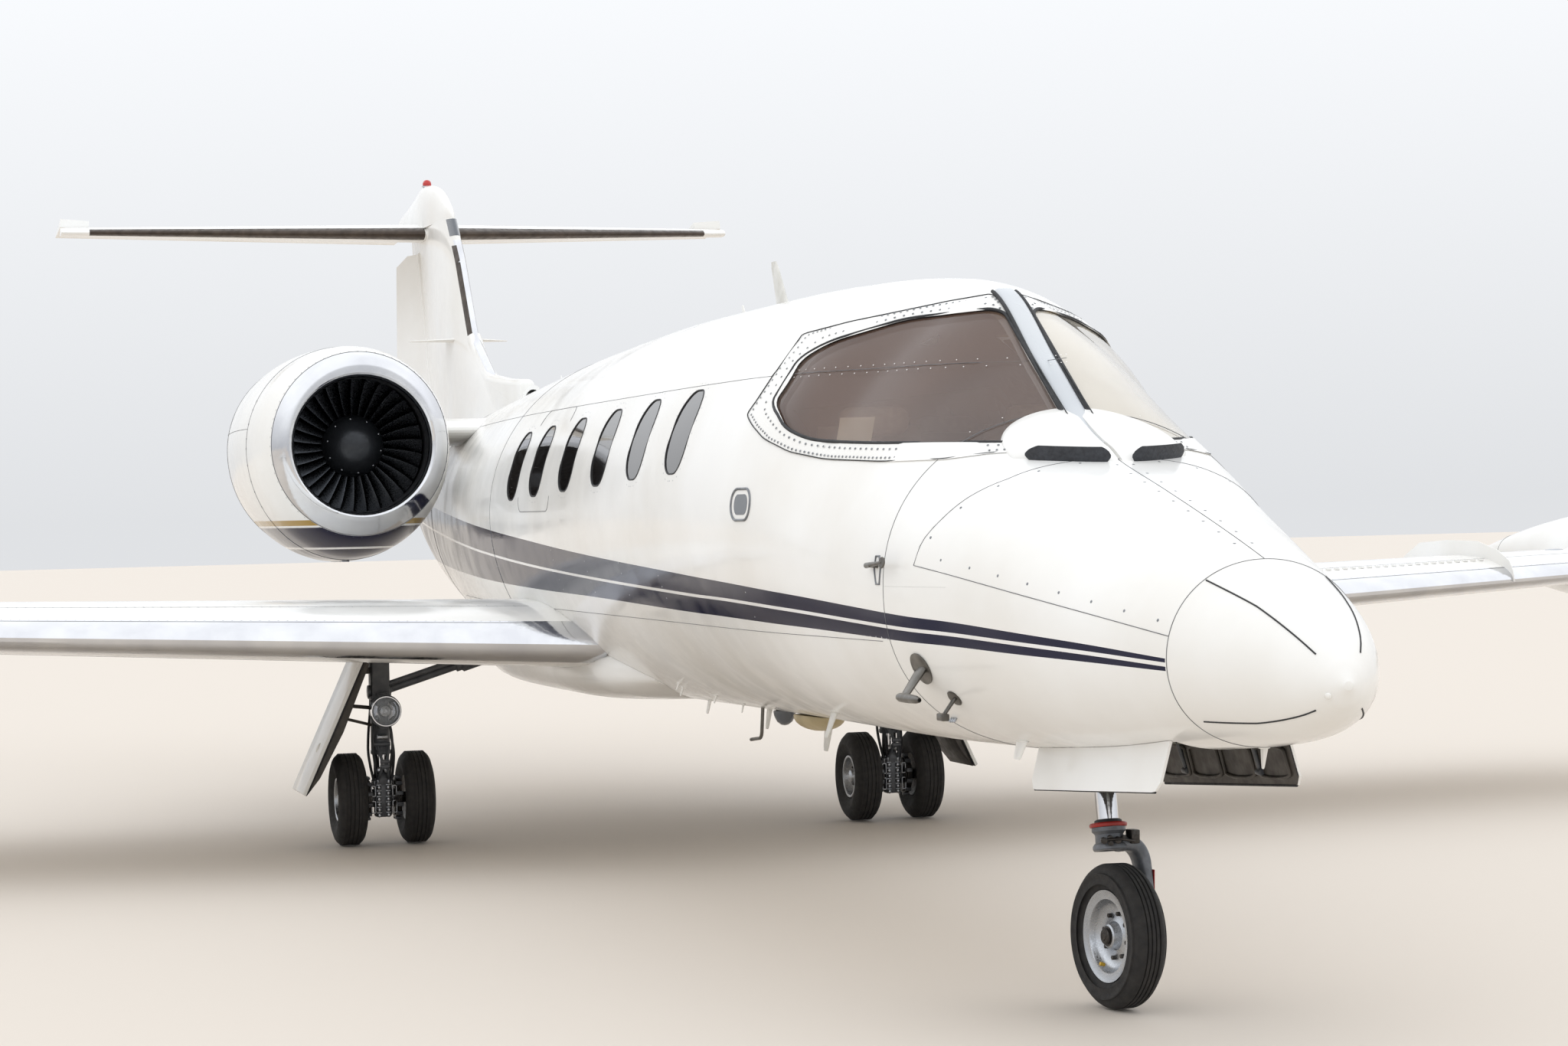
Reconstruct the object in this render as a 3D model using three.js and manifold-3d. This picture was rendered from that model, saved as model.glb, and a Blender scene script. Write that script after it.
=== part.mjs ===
// A light twin-engined business jet with tip tanks and a T-tail, parked on its landing gear.
// Millimetres, +Z up, nose towards -Y, starboard towards -X, ground at Z = 0.
import * as THREE from "three";
import { mergeVertices } from "three/addons/utils/BufferGeometryUtils.js";
import Module from "manifold-3d";

const wasm = await Module();
wasm.setup();

// Driving dimensions.
const LENGTH = 14830; // nose tip to the tips of the tailplane
const NOSE_Y = -LENGTH / 2; // stations are counted aft from the nose tip
const GAP = 0.3; // between pieces that touch
const PLAY = 6; // between pieces that move past each other

const CONE_END = 500; // radome joint
const NOSE_END = 1560; // joint ahead of the windshield
const BAY_END = 1900; // the same joint below SILL_Z, behind the nose gear
const SILL_Z = 1290;
const BAY = { s0: 745, s1: 1850, half: 166, top: 1150, wall: 6 };
const CABIN_END = 7300; // joint behind the cabin
const TAIL_END = 13450;
const NOSE_WALL = 30;
const CABIN_WALL = 55;
const TAIL_WALL = 12;
const FLOOR_Z = 970;

// The strut leans aft by rake, and the wheel is parked turned to port, in degrees.
const NOSE_AXLE = { s: 1630, z: 219, rake: 10.2, turn: 8 };
const NOSE_TYRE = { r: 219, w: 118, bore: 140 };
const MAIN_AXLE = { s: 7780, z: 215, x: 1255 };
const MAIN_TYRE = { r: 215, w: 142, bore: 104, spacing: 316 };

const JACK = { r: 34, h: 10, noseS: 2010, wingS: 7000, wingX: 1900 }; // jacking pads

const WING = {
  rootS: 5830, // leading edge at the centreline
  sweep: 0.286, // leading edge moves aft per unit of span
  z: 948,
  dihedral: 0.0356,
  rootChord: 2740,
  tipChord: 1550,
  rootX: 560, // the wing's inner end, in the belly fairing
  semi: 5460, // to the tip tank's inner side
  rootT: 0.115,
  tipT: 0.1,
  incidence: 1.0, // degrees
};
const FLAP = { x0: 960, x1: 3080, at: 0.75 };
const AILERON = { x0: 3146, x1: 5130, at: 0.76 };
const PIN = { r: 8, reach: 16 }; // hinge pins of the wing surfaces
const END_PLAY = 12; // at the ends of the flaps and ailerons, whose hinge lines are swept
const SPOILER = { x0: 1180, x1: 2640, from: 0.57, to: 0.68, t: 14 };
const FENCE = { x: 4290, t: 4 };
const TANK = { x: 5730, s0: 6000, s1: 10200, r: 290 };

const ENGINE = { x: 1215, z: 1890, lipS: 8360 };

const STAB = { z: 3432, semi: 2235, rootS: 13010, rootC: 1180, tipS: 14270, tipC: 563, t: 0.1 };
const SET = { degrees: 5.2, s: 14300 }; // the tailplane stands with its leading edge down
const FIN_TOP = 3360; // joint between the fin and the cap over the tailplane
const ELEVATOR = { at: 0.7, droop: 14 };

// Fuselage: station, half width, top, height of greatest width, bottom, upper and lower fullness.
const FUSELAGE = [
  // s, hw, top, mid, bottom, nTop, nBottom
  [0, 12, 1062, 1050, 1038, 2.0, 2.0],
  [30, 62, 1120, 1052, 988, 2.0, 2.0],
  [110, 135, 1205, 1060, 935, 2.0, 2.0],
  [260, 212, 1290, 1080, 892, 2.0, 2.0],
  [500, 292, 1370, 1105, 862, 2.05, 2.1],
  [800, 368, 1459, 1140, 836, 2.1, 2.2],
  [1190, 472, 1566, 1180, 808, 2.18, 2.3],
  [1560, 552, 1664, 1225, 785, 2.4, 2.3],
  [1760, 612, 1735, 1255, 775, 2.3, 2.3],
  [2140, 668, 1980, 1330, 762, 1.78, 2.25],
  [2520, 722, 2229, 1410, 752, 1.5, 2.2],
  [2900, 775, 2300, 1470, 746, 1.9, 2.15],
  [3400, 806, 2330, 1510, 742, 2.0, 2.1],
  [4200, 815, 2345, 1530, 735, 2.0, 2.05],
  [5400, 815, 2342, 1530, 718, 2.0, 2.0],
  [6800, 812, 2300, 1525, 702, 2.0, 2.0],
  [7600, 792, 2262, 1525, 706, 2.0, 2.0],
  [8500, 740, 2215, 1535, 740, 2.0, 2.0],
  [9500, 660, 2160, 1560, 835, 2.0, 2.0],
  [10400, 575, 2105, 1600, 960, 2.0, 2.0],
  [11400, 452, 2040, 1665, 1150, 2.0, 2.0],
  [12400, 300, 1965, 1730, 1385, 2.0, 2.0],
  [13100, 165, 1900, 1760, 1565, 2.0, 2.0],
  [13450, 60, 1850, 1780, 1690, 2.0, 2.0],
];

// Starboard windows: station of the centre, half width, half height, height of the centre.
const WINDOWS = [
  // s, hw, hh, z
  [3871, 130, 150, 1818],
  [4466, 130, 150, 1806],
  [5070, 130, 150, 1790],
  [5675, 130, 150, 1775],
  [6275, 130, 150, 1760],
  [6770, 122, 150, 1747],
];
const DOOR = { s0: 3180, s1: 3800, z0: 960, z1: 2140, split: 1500, r: 28, openR: 12 };
const DOOR_PIN = { in: 14, r: 6, room: 11, topX: 516, lowX: 588 }; // hinge pins inside the wall

// Small helpers.
const rad = THREE.MathUtils.degToRad;
const yOf = (s) => NOSE_Y + s;

function solid(geometry) {
  geometry.deleteAttribute("normal");
  geometry.deleteAttribute("uv");
  return new wasm.Manifold(meshOf(geometry));
}

function geometryOf(s) {
  const m = s.getMesh();
  const g = new THREE.BufferGeometry();
  g.setAttribute("position", new THREE.BufferAttribute(new Float32Array(m.vertProperties), 3));
  g.setIndex(new THREE.BufferAttribute(new Uint32Array(m.triVerts), 1));
  const flat = g.toNonIndexed();
  flat.computeVertexNormals();
  return flat;
}

const paint = (color, roughness = 0.3, metalness = 0) =>
  new THREE.MeshStandardMaterial({ color, roughness, metalness });

const WHITE = paint(0xf2f2f0, 0.25);
const METAL = paint(0xc9ccd0, 0.2, 1);
const GREY = paint(0x4a4c50, 0.5, 0.3);
const RUBBER = paint(0x1b1b1c, 0.85);
const GLASS = paint(0x2c2420, 0.08);
const TRIM = paint(0xb9a98f, 0.7);
const SEAT = paint(0xc8b89c, 0.8);
const BLACK = paint(0x202124, 0.6);

const jet = new THREE.Group();

function add(name, s, material) {
  const mesh = new THREE.Mesh(geometryOf(s), material);
  mesh.name = name;
  jet.add(mesh);
  return mesh;
}

// The same piece on the other side of the centreline.
function mirrored(s) {
  const m = s.getMesh();
  const v = new Float32Array(m.vertProperties);
  const t = new Uint32Array(m.triVerts);
  for (let i = 0; i < v.length; i += 3) v[i] = -v[i];
  for (let i = 0; i < t.length; i += 3) [t[i + 1], t[i + 2]] = [t[i + 2], t[i + 1]];
  return new wasm.Manifold(new wasm.Mesh({ numProp: 3, vertProperties: v, triVerts: t }));
}

// A body turned about a line through p.
function swung(s, p, axis, degrees) {
  const turn = new THREE.Matrix4()
    .makeTranslation(p.x, p.y, p.z)
    .multiply(new THREE.Matrix4().makeRotationAxis(axis.clone().normalize(), rad(degrees)))
    .multiply(new THREE.Matrix4().makeTranslation(-p.x, -p.y, -p.z));
  return s.transform([...turn.elements]);
}

// Joins rings of equal length into one closed body.
function loft(rings) {
  const n = rings[0].length;
  const pos = rings.flat().flatMap((p) => [p.x, p.y, p.z]);
  const idx = [];
  for (let i = 0; i < rings.length - 1; i++)
    for (let j = 0; j < n; j++) {
      const a = i * n + j;
      const b = i * n + ((j + 1) % n);
      idx.push(a, a + n, b, b, a + n, b + n);
    }
  for (const [ring, base, flip] of [
    [rings[0], 0, false],
    [rings.at(-1), (rings.length - 1) * n, true],
  ]) {
    const c = ring.reduce((s, p) => s.add(p), new THREE.Vector3()).divideScalar(n);
    const k = pos.length / 3;
    pos.push(c.x, c.y, c.z);
    for (let j = 0; j < n; j++) {
      const a = base + j;
      const b = base + ((j + 1) % n);
      idx.push(...(flip ? [k, b, a] : [k, a, b]));
    }
  }
  const build = (index) => {
    const g = new THREE.BufferGeometry();
    g.setAttribute("position", new THREE.BufferAttribute(new Float32Array(pos), 3));
    g.setIndex(index);
    return g;
  };
  const s = new wasm.Manifold(meshOf(build(idx)));
  if (s.volume() > 0) return s;
  for (let i = 0; i < idx.length; i += 3) [idx[i + 1], idx[i + 2]] = [idx[i + 2], idx[i + 1]];
  return new wasm.Manifold(meshOf(build(idx)));
}

function meshOf(geometry) {
  const m = mergeVertices(geometry, 1e-3);
  return new wasm.Mesh({
    numProp: 3,
    vertProperties: m.attributes.position.array,
    triVerts: new Uint32Array(m.index.array),
  });
}

// A flat outline of [a, b] points pushed along an axis, from c0 to c1.
// "x": a is Y and b is Z.  "y": a is X and b is Z.  "z": a is X and b is Y.
function prism(axis, outline, c0, c1) {
  const at = {
    x: (a, b, c) => new THREE.Vector3(c, a, b),
    y: (a, b, c) => new THREE.Vector3(a, c, b),
    z: (a, b, c) => new THREE.Vector3(a, b, c),
  }[axis];
  const shape = new THREE.Shape(outline.map(([a, b]) => new THREE.Vector2(a, b)));
  const g = new THREE.ExtrudeGeometry(shape, { depth: c1 - c0, bevelEnabled: false });
  g.deleteAttribute("normal");
  g.deleteAttribute("uv");
  const p = g.attributes.position;
  for (let i = 0; i < p.count; i++) {
    const v = at(p.getX(i), p.getY(i), p.getZ(i) + c0);
    p.setXYZ(i, v.x, v.y, v.z);
  }
  const mesh = meshOf(g);
  const s = new wasm.Manifold(mesh);
  if (s.volume() > 0) return s;
  const t = mesh.triVerts;
  for (let i = 0; i < t.length; i += 3) [t[i + 1], t[i + 2]] = [t[i + 2], t[i + 1]];
  return new wasm.Manifold(mesh);
}

const box = (x0, x1, y0, y1, z0, z1) =>
  solid(
    new THREE.BoxGeometry(x1 - x0, y1 - y0, z1 - z0).translate(
      (x0 + x1) / 2,
      (y0 + y1) / 2,
      (z0 + z1) / 2,
    ),
  );

function roundRect(a0, a1, b0, b1, r, steps = 3) {
  const out = [];
  for (const [ca, cb, start] of [
    [a1 - r, b0 + r, -90],
    [a1 - r, b1 - r, 0],
    [a0 + r, b1 - r, 90],
    [a0 + r, b0 + r, 180],
  ])
    for (let i = 0; i <= steps; i++) {
      const t = rad(start + (90 * i) / steps);
      out.push([ca + r * Math.cos(t), cb + r * Math.sin(t)]);
    }
  return out;
}

// A body of revolution: profile points are [radius, distance], the axis runs from p towards dir.
function turned(profile, p, dir, seg = 32) {
  const pts = profile.map(([r, h]) => new THREE.Vector2(r, h));
  const g = new THREE.LatheGeometry(pts, seg);
  const q = new THREE.Quaternion().setFromUnitVectors(
    new THREE.Vector3(0, 1, 0),
    dir.clone().normalize(),
  );
  const m = new THREE.Matrix4().compose(p, q, new THREE.Vector3(1, 1, 1));
  g.deleteAttribute("normal");
  g.deleteAttribute("uv");
  g.applyMatrix4(m);
  const mesh = meshOf(clean(g));
  const s = new wasm.Manifold(mesh);
  if (s.volume() > 0) return s;
  const t = mesh.triVerts;
  for (let i = 0; i < t.length; i += 3) [t[i + 1], t[i + 2]] = [t[i + 2], t[i + 1]];
  return new wasm.Manifold(mesh);
}

// Drops the triangles that have collapsed on the axis.
function clean(geometry) {
  const m = mergeVertices(geometry, 1e-3);
  const old = m.index.array;
  const idx = [];
  for (let i = 0; i < old.length; i += 3) {
    const [a, b, c] = [old[i], old[i + 1], old[i + 2]];
    if (a !== b && b !== c && a !== c) idx.push(a, b, c);
  }
  m.setIndex(idx);
  return m;
}

// A round bar between two points.
function rod(a, b, r, seg = 16) {
  const d = new THREE.Vector3().subVectors(b, a);
  return turned([[0, 0], [r, 0], [r, d.length()], [0, d.length()]], a, d, seg);
}

const V = (x, y, z) => new THREE.Vector3(x, y, z);

const largest = (s) => s.decompose().sort((a, b) => b.volume() - a.volume())[0];

// Fuselage.
// Value of one column of a table at station s, by a smooth curve through the rows.
function column(table, k, s) {
  const n = table.length;
  let i = 0;
  while (i < n - 2 && table[i + 1][0] <= s) i++;
  const [x0, x1] = [table[i][0], table[i + 1][0]];
  const [y0, y1] = [table[i][k], table[i + 1][k]];
  const slope = (j) => {
    if (j <= 0 || j >= n - 1) return (y1 - y0) / (x1 - x0);
    const a = (table[j][k] - table[j - 1][k]) / (table[j][0] - table[j - 1][0]);
    const b = (table[j + 1][k] - table[j][k]) / (table[j + 1][0] - table[j][0]);
    return a * b > 0 ? (2 * a * b) / (a + b) : 0;
  };
  const h = x1 - x0;
  const t = Math.min(1, Math.max(0, (s - x0) / h));
  const m0 = slope(i) * h;
  const m1 = slope(i + 1) * h;
  return (
    (2 * t ** 3 - 3 * t ** 2 + 1) * y0 +
    (t ** 3 - 2 * t ** 2 + t) * m0 +
    (-2 * t ** 3 + 3 * t ** 2) * y1 +
    (t ** 3 - t ** 2) * m1
  );
}

function section(s, inset = 0, n = 28) {
  const [hw, top, mid, bot, nt, nb] = [1, 2, 3, 4, 5, 6].map((k) => column(FUSELAGE, k, s));
  const ring = [];
  for (let i = 0; i < n; i++) {
    const t = (2 * Math.PI * i) / n;
    const c = Math.cos(t);
    const d = Math.sin(t);
    const e = 2 / (d >= 0 ? nt : nb);
    const h = (d >= 0 ? top - mid : mid - bot) - inset;
    ring.push(
      V(
        (hw - inset) * Math.sign(c) * Math.abs(c) ** e,
        yOf(s),
        mid + h * Math.sign(d) * Math.abs(d) ** e,
      ),
    );
  }
  return ring;
}

// Stations of the fuselage rings; every skin and lining uses the same ones, so they stay parallel.
const RINGS = [
  0, 30, 110, 260, 500, 800, 1190, 1560, 1760, 2140, 2330, 2520, 2710, 2900, 3400, 4200, 5400,
  6800, 7600, 8500, 9500, 10400, 11400, 12400, 13100, 13450,
];
const wholeHulls = new Map();

function wholeHull(inset) {
  if (!wholeHulls.has(inset)) {
    const rows = RINGS.filter((s) => column(FUSELAGE, 1, s) > inset + 40 || inset <= 0);
    wholeHulls.set(inset, loft(rows.map((s) => section(s, inset))));
  }
  return wholeHulls.get(inset);
}

// The fuselage shape between two stations, its surface moved inwards by inset.
const hull = (from, to, inset = 0) =>
  wholeHull(inset).intersect(box(-1500, 1500, yOf(from), yOf(to), 0, 4000));

add(
  "nose_cone",
  hull(-50, CONE_END - GAP).subtract(hull(110, CONE_END + 50, NOSE_WALL)),
  WHITE,
);

// The nose structure ends at NOSE_END above SILL_Z and at BAY_END below it.
const noseRegion = (d) =>
  box(-1500, 1500, yOf(CONE_END), yOf(NOSE_END) - d, 0, 4000).add(
    box(-1500, 1500, yOf(CONE_END), yOf(BAY_END) - d, 0, SILL_Z - d),
  );

function noseSection() {
  const skinPart = hull(CONE_END, 2500).subtract(hull(CONE_END - 20, 2600, NOSE_WALL));
  const { half, s0, s1, top, wall } = BAY;
  const well = box(-half - wall, half + wall, yOf(s0 - wall), yOf(s1 + wall), 600, top + wall);
  const room = box(-half, half, yOf(s0), yOf(s1), 500, top);
  return skinPart.add(well.intersect(hull(CONE_END, 2500))).intersect(noseRegion(GAP)).subtract(room);
}

// A flat round pad under the skin, its face h below the lowest point of the skin there.
const jackPad = (x, s, z) => rod(V(x, yOf(s), z - JACK.h), V(x, yOf(s), z + 30), JACK.r, 16);

const PANE_END = 3040; // the panes wrap round the sides of the nose to here

function paneOutline(side, grow) {
  // Front view of one windshield pane: [x, z], from the centre post outwards.
  const pts = [
    [48, 1740],
    [48, 2150],
    [80, 2166],
    [290, 2150],
    [490, 2089],
    [567, 2036],
    [672, 1885],
    [676, 1800],
    [636, 1758],
    [536, 1734],
    [284, 1722],
    [110, 1716],
  ];
  const c = pts.reduce((a, p) => [a[0] + p[0] / pts.length, a[1] + p[1] / pts.length], [0, 0]);
  return pts.map(([x, z]) => {
    const d = Math.hypot(x - c[0], z - c[1]);
    const k = (d + grow) / d;
    return [side * (c[0] + (x - c[0]) * k), c[1] + (z - c[1]) * k];
  });
}

const windowHole = ([s, hw, hh, z], side, grow = 0) =>
  prism(
    "x",
    roundRect(yOf(s - hw - grow), yOf(s + hw + grow), z - hh - grow, z + hh + grow, 105 + grow),
    side < 0 ? -1200 : 300,
    side < 0 ? -300 : 1200,
  );

const doorOutline = (z0, z1, side, ends, r) =>
  roundRect(yOf(DOOR.s0 - side), yOf(DOOR.s1 + side), z0 - ends, z1 + ends, r);

function doorPin(x, z, r, deeper) {
  const end = PLAY + 14 + deeper;
  return rod(V(x, yOf(DOOR.s0 - end), z), V(x, yOf(DOOR.s1 + end), z), r, 16);
}
const upperPin = (r, deeper = 0) => doorPin(DOOR_PIN.topX, DOOR.z1 - DOOR_PIN.in, r, deeper);
const lowerPin = (r, deeper = 0) => doorPin(DOOR_PIN.lowX, DOOR.z0 + DOOR_PIN.in, r, deeper);

function cabinShell() {
  let s = hull(NOSE_END, CABIN_END - GAP)
    .subtract(hull(NOSE_END - 20, CABIN_END + 20, CABIN_WALL))
    .subtract(noseRegion(0));
  for (const side of [-1, 1])
    s = s.subtract(prism("y", paneOutline(side, 0), yOf(1300), yOf(PANE_END)));
  for (const w of WINDOWS) s = s.subtract(windowHole(w, -1));
  for (const w of WINDOWS.slice(1)) s = s.subtract(windowHole(w, 1));
  s = s
    .subtract(prism("x", doorOutline(DOOR.z0, DOOR.z1, PLAY, DOOR_PIN.room, DOOR.openR), 200, 1200))
    .subtract(upperPin(DOOR_PIN.r + GAP, 1))
    .subtract(lowerPin(DOOR_PIN.r + GAP, 1));
  return s.add(jackPad(0, JACK.noseS, column(FUSELAGE, 4, JACK.noseS)));
}

const skin = (from, to, outer, inner) =>
  hull(from, to, outer).subtract(hull(from - 20, to + 20, inner));

const pane = (side) =>
  skin(NOSE_END + 10, PANE_END + 20, 4, 18).intersect(
    prism("y", paneOutline(side, -GAP), yOf(1300), yOf(PANE_END) - GAP),
  );

// Cabin glazing: one strip inside the wall, behind all the windows of a side.
function glazing(side, list) {
  const s0 = list[0][0] - 210;
  const s1 = list.at(-1)[0] + 190;
  const strip = skin(s0, s1, CABIN_WALL + GAP, CABIN_WALL + 8);
  return strip.intersect(box(Math.min(0, side * 1000), Math.max(0, side * 1000), -9000, 9000, 1580, 1985));
}

add("nose_section", noseSection(), WHITE);

// Avionics rack in the nose, standing on the wheel bay's roof.
const rackZ = BAY.top + BAY.wall + GAP;
add("avionics_rack", box(-250, 250, yOf(780), yOf(1520), rackZ, rackZ + 165), GREY);
add("cabin_shell", cabinShell(), WHITE);
add("windshield_right", pane(-1), GLASS);
add("windshield_left", pane(1), GLASS);
add("cabin_windows_right", glazing(-1, WINDOWS), GLASS);
add("cabin_windows_left", glazing(1, WINDOWS.slice(1)), GLASS);

function door(z0, z1, withWindow) {
  const outline = prism("x", doorOutline(z0, z1, 0, 0, DOOR.r), 200, 1200);
  let s = skin(3000, 4000, 0, CABIN_WALL).intersect(outline);
  if (withWindow) s = s.subtract(windowHole([3490, 130, 130, 1815], 1));
  return s;
}
add("door_upper", door(DOOR.split + PLAY / 2, DOOR.z1, true).add(upperPin(DOOR_PIN.r)), WHITE);
add("door_lower", door(DOOR.z0, DOOR.split - PLAY / 2, false).add(lowerPin(DOOR_PIN.r)), WHITE);

// Tail cone, fin and rudder.
const RUDDER_HINGE = { s0: 13010, z0: 1990, s1: 13540, z1: 3345, r: 42 };
const RUDDER = { top: 3222, corner: 75, turn: 18 }; // parked with its trailing edge to starboard

function finPlate() {
  // Leading and trailing edge stations at each height, for a streamlined section.
  const rows = [
    // z, leading edge s, trailing edge s, half thickness
    [1800, 10600, 13400, 66],
    [2060, 10700, 13600, 66],
    [2345, 11210, 13690, 66],
    [2593, 11730, 13745, 64],
    [3077, 12100, 13850, 58],
    [3362, 12395, 13900, 54],
    [3440, 12450, 13940, 50],
  ];
  return loft(rows.map(([z, a, b, h]) => foil(a, b - a, h).map(([s, x]) => V(x, yOf(s), z))));
}

// Symmetrical section: [distance aft, half width], round in front, sharp behind.
function foil(s0, chord, half, n = 11) {
  const up = [];
  for (let i = 0; i <= n; i++) {
    const u = 0.5 * (1 - Math.cos((Math.PI * i) / n));
    const y =
      5 * (0.2969 * Math.sqrt(u) - 0.126 * u - 0.3516 * u ** 2 + 0.2843 * u ** 3 - 0.1036 * u ** 4);
    up.push([s0 + u * chord, Math.max(2.2, y * 2 * half)]);
  }
  up[0][1] = 0;
  const low = up.slice(1).map(([s, x]) => [s, -x]).reverse();
  return [...up, ...low];
}

function dorsal() {
  const low = 1950;
  const pts = [
    [10240, 2277],
    [11210, 2345],
    [11560, 2480],
    [11760, 2620],
    [12100, 2620],
    [12100, low],
    [10240, low],
  ];
  return prism("x", pts.map(([s, z]) => [yOf(s), z]), -42, 42);
}

const hingeDir = V(0, RUDDER_HINGE.s1 - RUDDER_HINGE.s0, RUDDER_HINGE.z1 - RUDDER_HINGE.z0);
const hingeAt = V(0, yOf(RUDDER_HINGE.s0), RUDDER_HINGE.z0);

function tailSurfaces() {
  const whole = finPlate();
  const r = RUDDER_HINGE.r;
  const u = hingeDir.clone().normalize();
  const top = hingeAt.clone().addScaledVector(u, hingeDir.length());
  const low = hingeAt.clone();
  // Everything behind the hinge line, with a margin d ahead of it.
  const behind = (d, z0, z1) => {
    const s = (z) => RUDDER_HINGE.s0 + ((z - low.z) / (top.z - low.z)) * (RUDDER_HINGE.s1 - RUDDER_HINGE.s0);
    return prism(
      "x",
      [
        [yOf(s(z0) - d), z0],
        [yOf(14400), z0],
        [yOf(14400), z1],
        [yOf(s(z1) - d), z1],
      ],
      -200,
      200,
    );
  };
  const cut = behind(r + PLAY + 2, RUDDER_HINGE.z0 - PLAY, RUDDER.top + 10);
  const pin = (k, deeper = 0) =>
    rod(low.clone().addScaledVector(u, -30 - deeper), low.clone().addScaledVector(u, 60), k, 16);
  const fin = whole
    .subtract(cut)
    .add(dorsal())
    .subtract(hull(9800, TAIL_END, -GAP))
    .subtract(pin(10 + GAP, 1))
    .subtract(trimmed(stabWhole(2 * GAP)))
    .subtract(box(-300, 300, -9000, 9000, FIN_TOP - GAP, 4000));
  const nose = rod(low, top, r, 24);
  const corner = prism(
    "x",
    [
      [yOf(13690), RUDDER.top + 2],
      [yOf(13900), RUDDER.top - RUDDER.corner],
      [yOf(14400), RUDDER.top - RUDDER.corner],
      [yOf(14400), RUDDER.top + 2],
    ],
    -200,
    200,
  );
  const rudder = whole
    .intersect(behind(0, RUDDER_HINGE.z0, RUDDER.top))
    .add(nose)
    .intersect(box(-300, 300, -9000, 9000, RUDDER_HINGE.z0, RUDDER.top))
    .subtract(corner)
    .subtract(hull(9800, TAIL_END, -PLAY))
    .add(pin(10));
  return { fin: largest(fin), rudder: swung(rudder, low, u, RUDDER.turn) };
}

function aftFuselage() {
  const s = hull(CABIN_END, TAIL_END).subtract(hull(CABIN_END - 20, TAIL_END - 500, TAIL_WALL));
  // Ventral fin under the tail.
  const keel = prism(
    "x",
    [
      [12050, 1420],
      [12350, 1120],
      [13250, 1330],
      [13250, 1660],
      [12050, 1520],
    ].map(([a, z]) => [yOf(a), z]),
    -9,
    9,
  );
  return s.add(keel.subtract(hull(9800, TAIL_END, 8)));
}

add("aft_fuselage", aftFuselage(), WHITE);

// Wing.
const wingLe = (x) => WING.rootS + WING.sweep * x;
const wingChord = (x) =>
  WING.rootChord + ((WING.tipChord - WING.rootChord) * x) / (WING.semi + 100);
const wingZ = (x) => WING.z + WING.dihedral * x;
const wingT = (x) => WING.rootT + ((WING.tipT - WING.rootT) * x) / WING.semi;

// Upper and lower ordinates of a cambered section at fraction u of the chord.
function ordinates(u, t) {
  const y =
    5 * t * (0.2969 * Math.sqrt(u) - 0.126 * u - 0.3516 * u ** 2 + 0.2843 * u ** 3 - 0.1036 * u ** 4);
  const p = 0.4;
  const m = 0.02;
  const c = u < p ? (m / p ** 2) * (2 * p * u - u * u) : (m / (1 - p) ** 2) * (1 - 2 * p + 2 * p * u - u * u);
  return [c + y, c - y];
}

function wingPoint(x, u, v) {
  const c = wingChord(x);
  const a = rad(WING.incidence);
  return V(
    x,
    yOf(wingLe(x)) + c * (u * Math.cos(a) + v * Math.sin(a)),
    wingZ(x) + c * (v * Math.cos(a) - u * Math.sin(a)),
  );
}

function wingSection(x, grow, n = 12) {
  const t = wingT(x);
  const g = grow / wingChord(x);
  const up = [];
  const low = [];
  for (let i = 0; i <= n; i++) {
    const u = 0.5 * (1 - Math.cos((Math.PI * i) / n));
    const [a, b] = ordinates(u, t);
    const thick = Math.max(0, 0.0012 - (a - b) / 2) + g;
    const at = u + (i === 0 ? -2 * g : i === n ? 2 * g : 0);
    up.push(wingPoint(x, at, a + thick));
    if (i) low.push(wingPoint(x, at, b - thick));
  }
  return [...up, ...low.reverse()];
}

// The whole wing, its surface moved outwards by grow; pieces are cut from this one shape.
const SPAN_RINGS = [WING.rootX, 1500, 3000, 4300, WING.semi];
const wholeWing = (grow) => loft(SPAN_RINGS.map((x) => wingSection(x, grow)));
const wingShape = wholeWing(0);
const wingRoom = wholeWing(2 * GAP);

// A wing-shaped slab between two chord fractions and two span stations, cutting right through.
function chordBlock(x0, x1, u0, u1, z0 = 400, z1 = 1700) {
  const at = (x, u) => [x, wingPoint(x, u, 0).y];
  return prism("z", [at(x0, u0), at(x1, u0), at(x1, u1), at(x0, u1)], z0, z1);
}

const hingePoint = (x, at) => {
  const [a, b] = ordinates(at, wingT(x));
  return wingPoint(x, at, (a + b) / 2);
};
const hingeRadius = (x, at) => {
  const [a, b] = ordinates(at, wingT(x));
  return ((a - b) / 2) * wingChord(x);
};

// A hinged trailing-edge surface: a round nose about the hinge line and the wing's own tail.
function trailing({ x0, x1, at }) {
  const [a, b] = [x0 - 60, x1 + 60];
  const p0 = hingePoint(a, at);
  const p1 = hingePoint(b, at);
  const d = V(0, 0, 0).subVectors(p1, p0);
  const [r0, r1] = [hingeRadius(a, at) - 1, hingeRadius(b, at) - 1];
  const nose = turned([[0, 0], [r0, 0], [r1, d.length()], [0, d.length()]], p0, d, 24);
  const skinPart = wingShape.intersect(chordBlock(x0 - 10, x1 + 10, at, 1.2));
  const surface = skinPart.add(nose).intersect(box(x0, x1, -9000, 9000, 0, 3000));
  return surface.add(hingePin(x0, x1, at, PIN.r));
}

// The pin on the hinge line, long enough to reach into the wing at both ends.
function hingePin(x0, x1, at, r, deeper = 0) {
  const end = END_PLAY + PIN.reach + deeper;
  return rod(hingePoint(x0 - end, at), hingePoint(x1 + end, at), r, 16);
}

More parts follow.
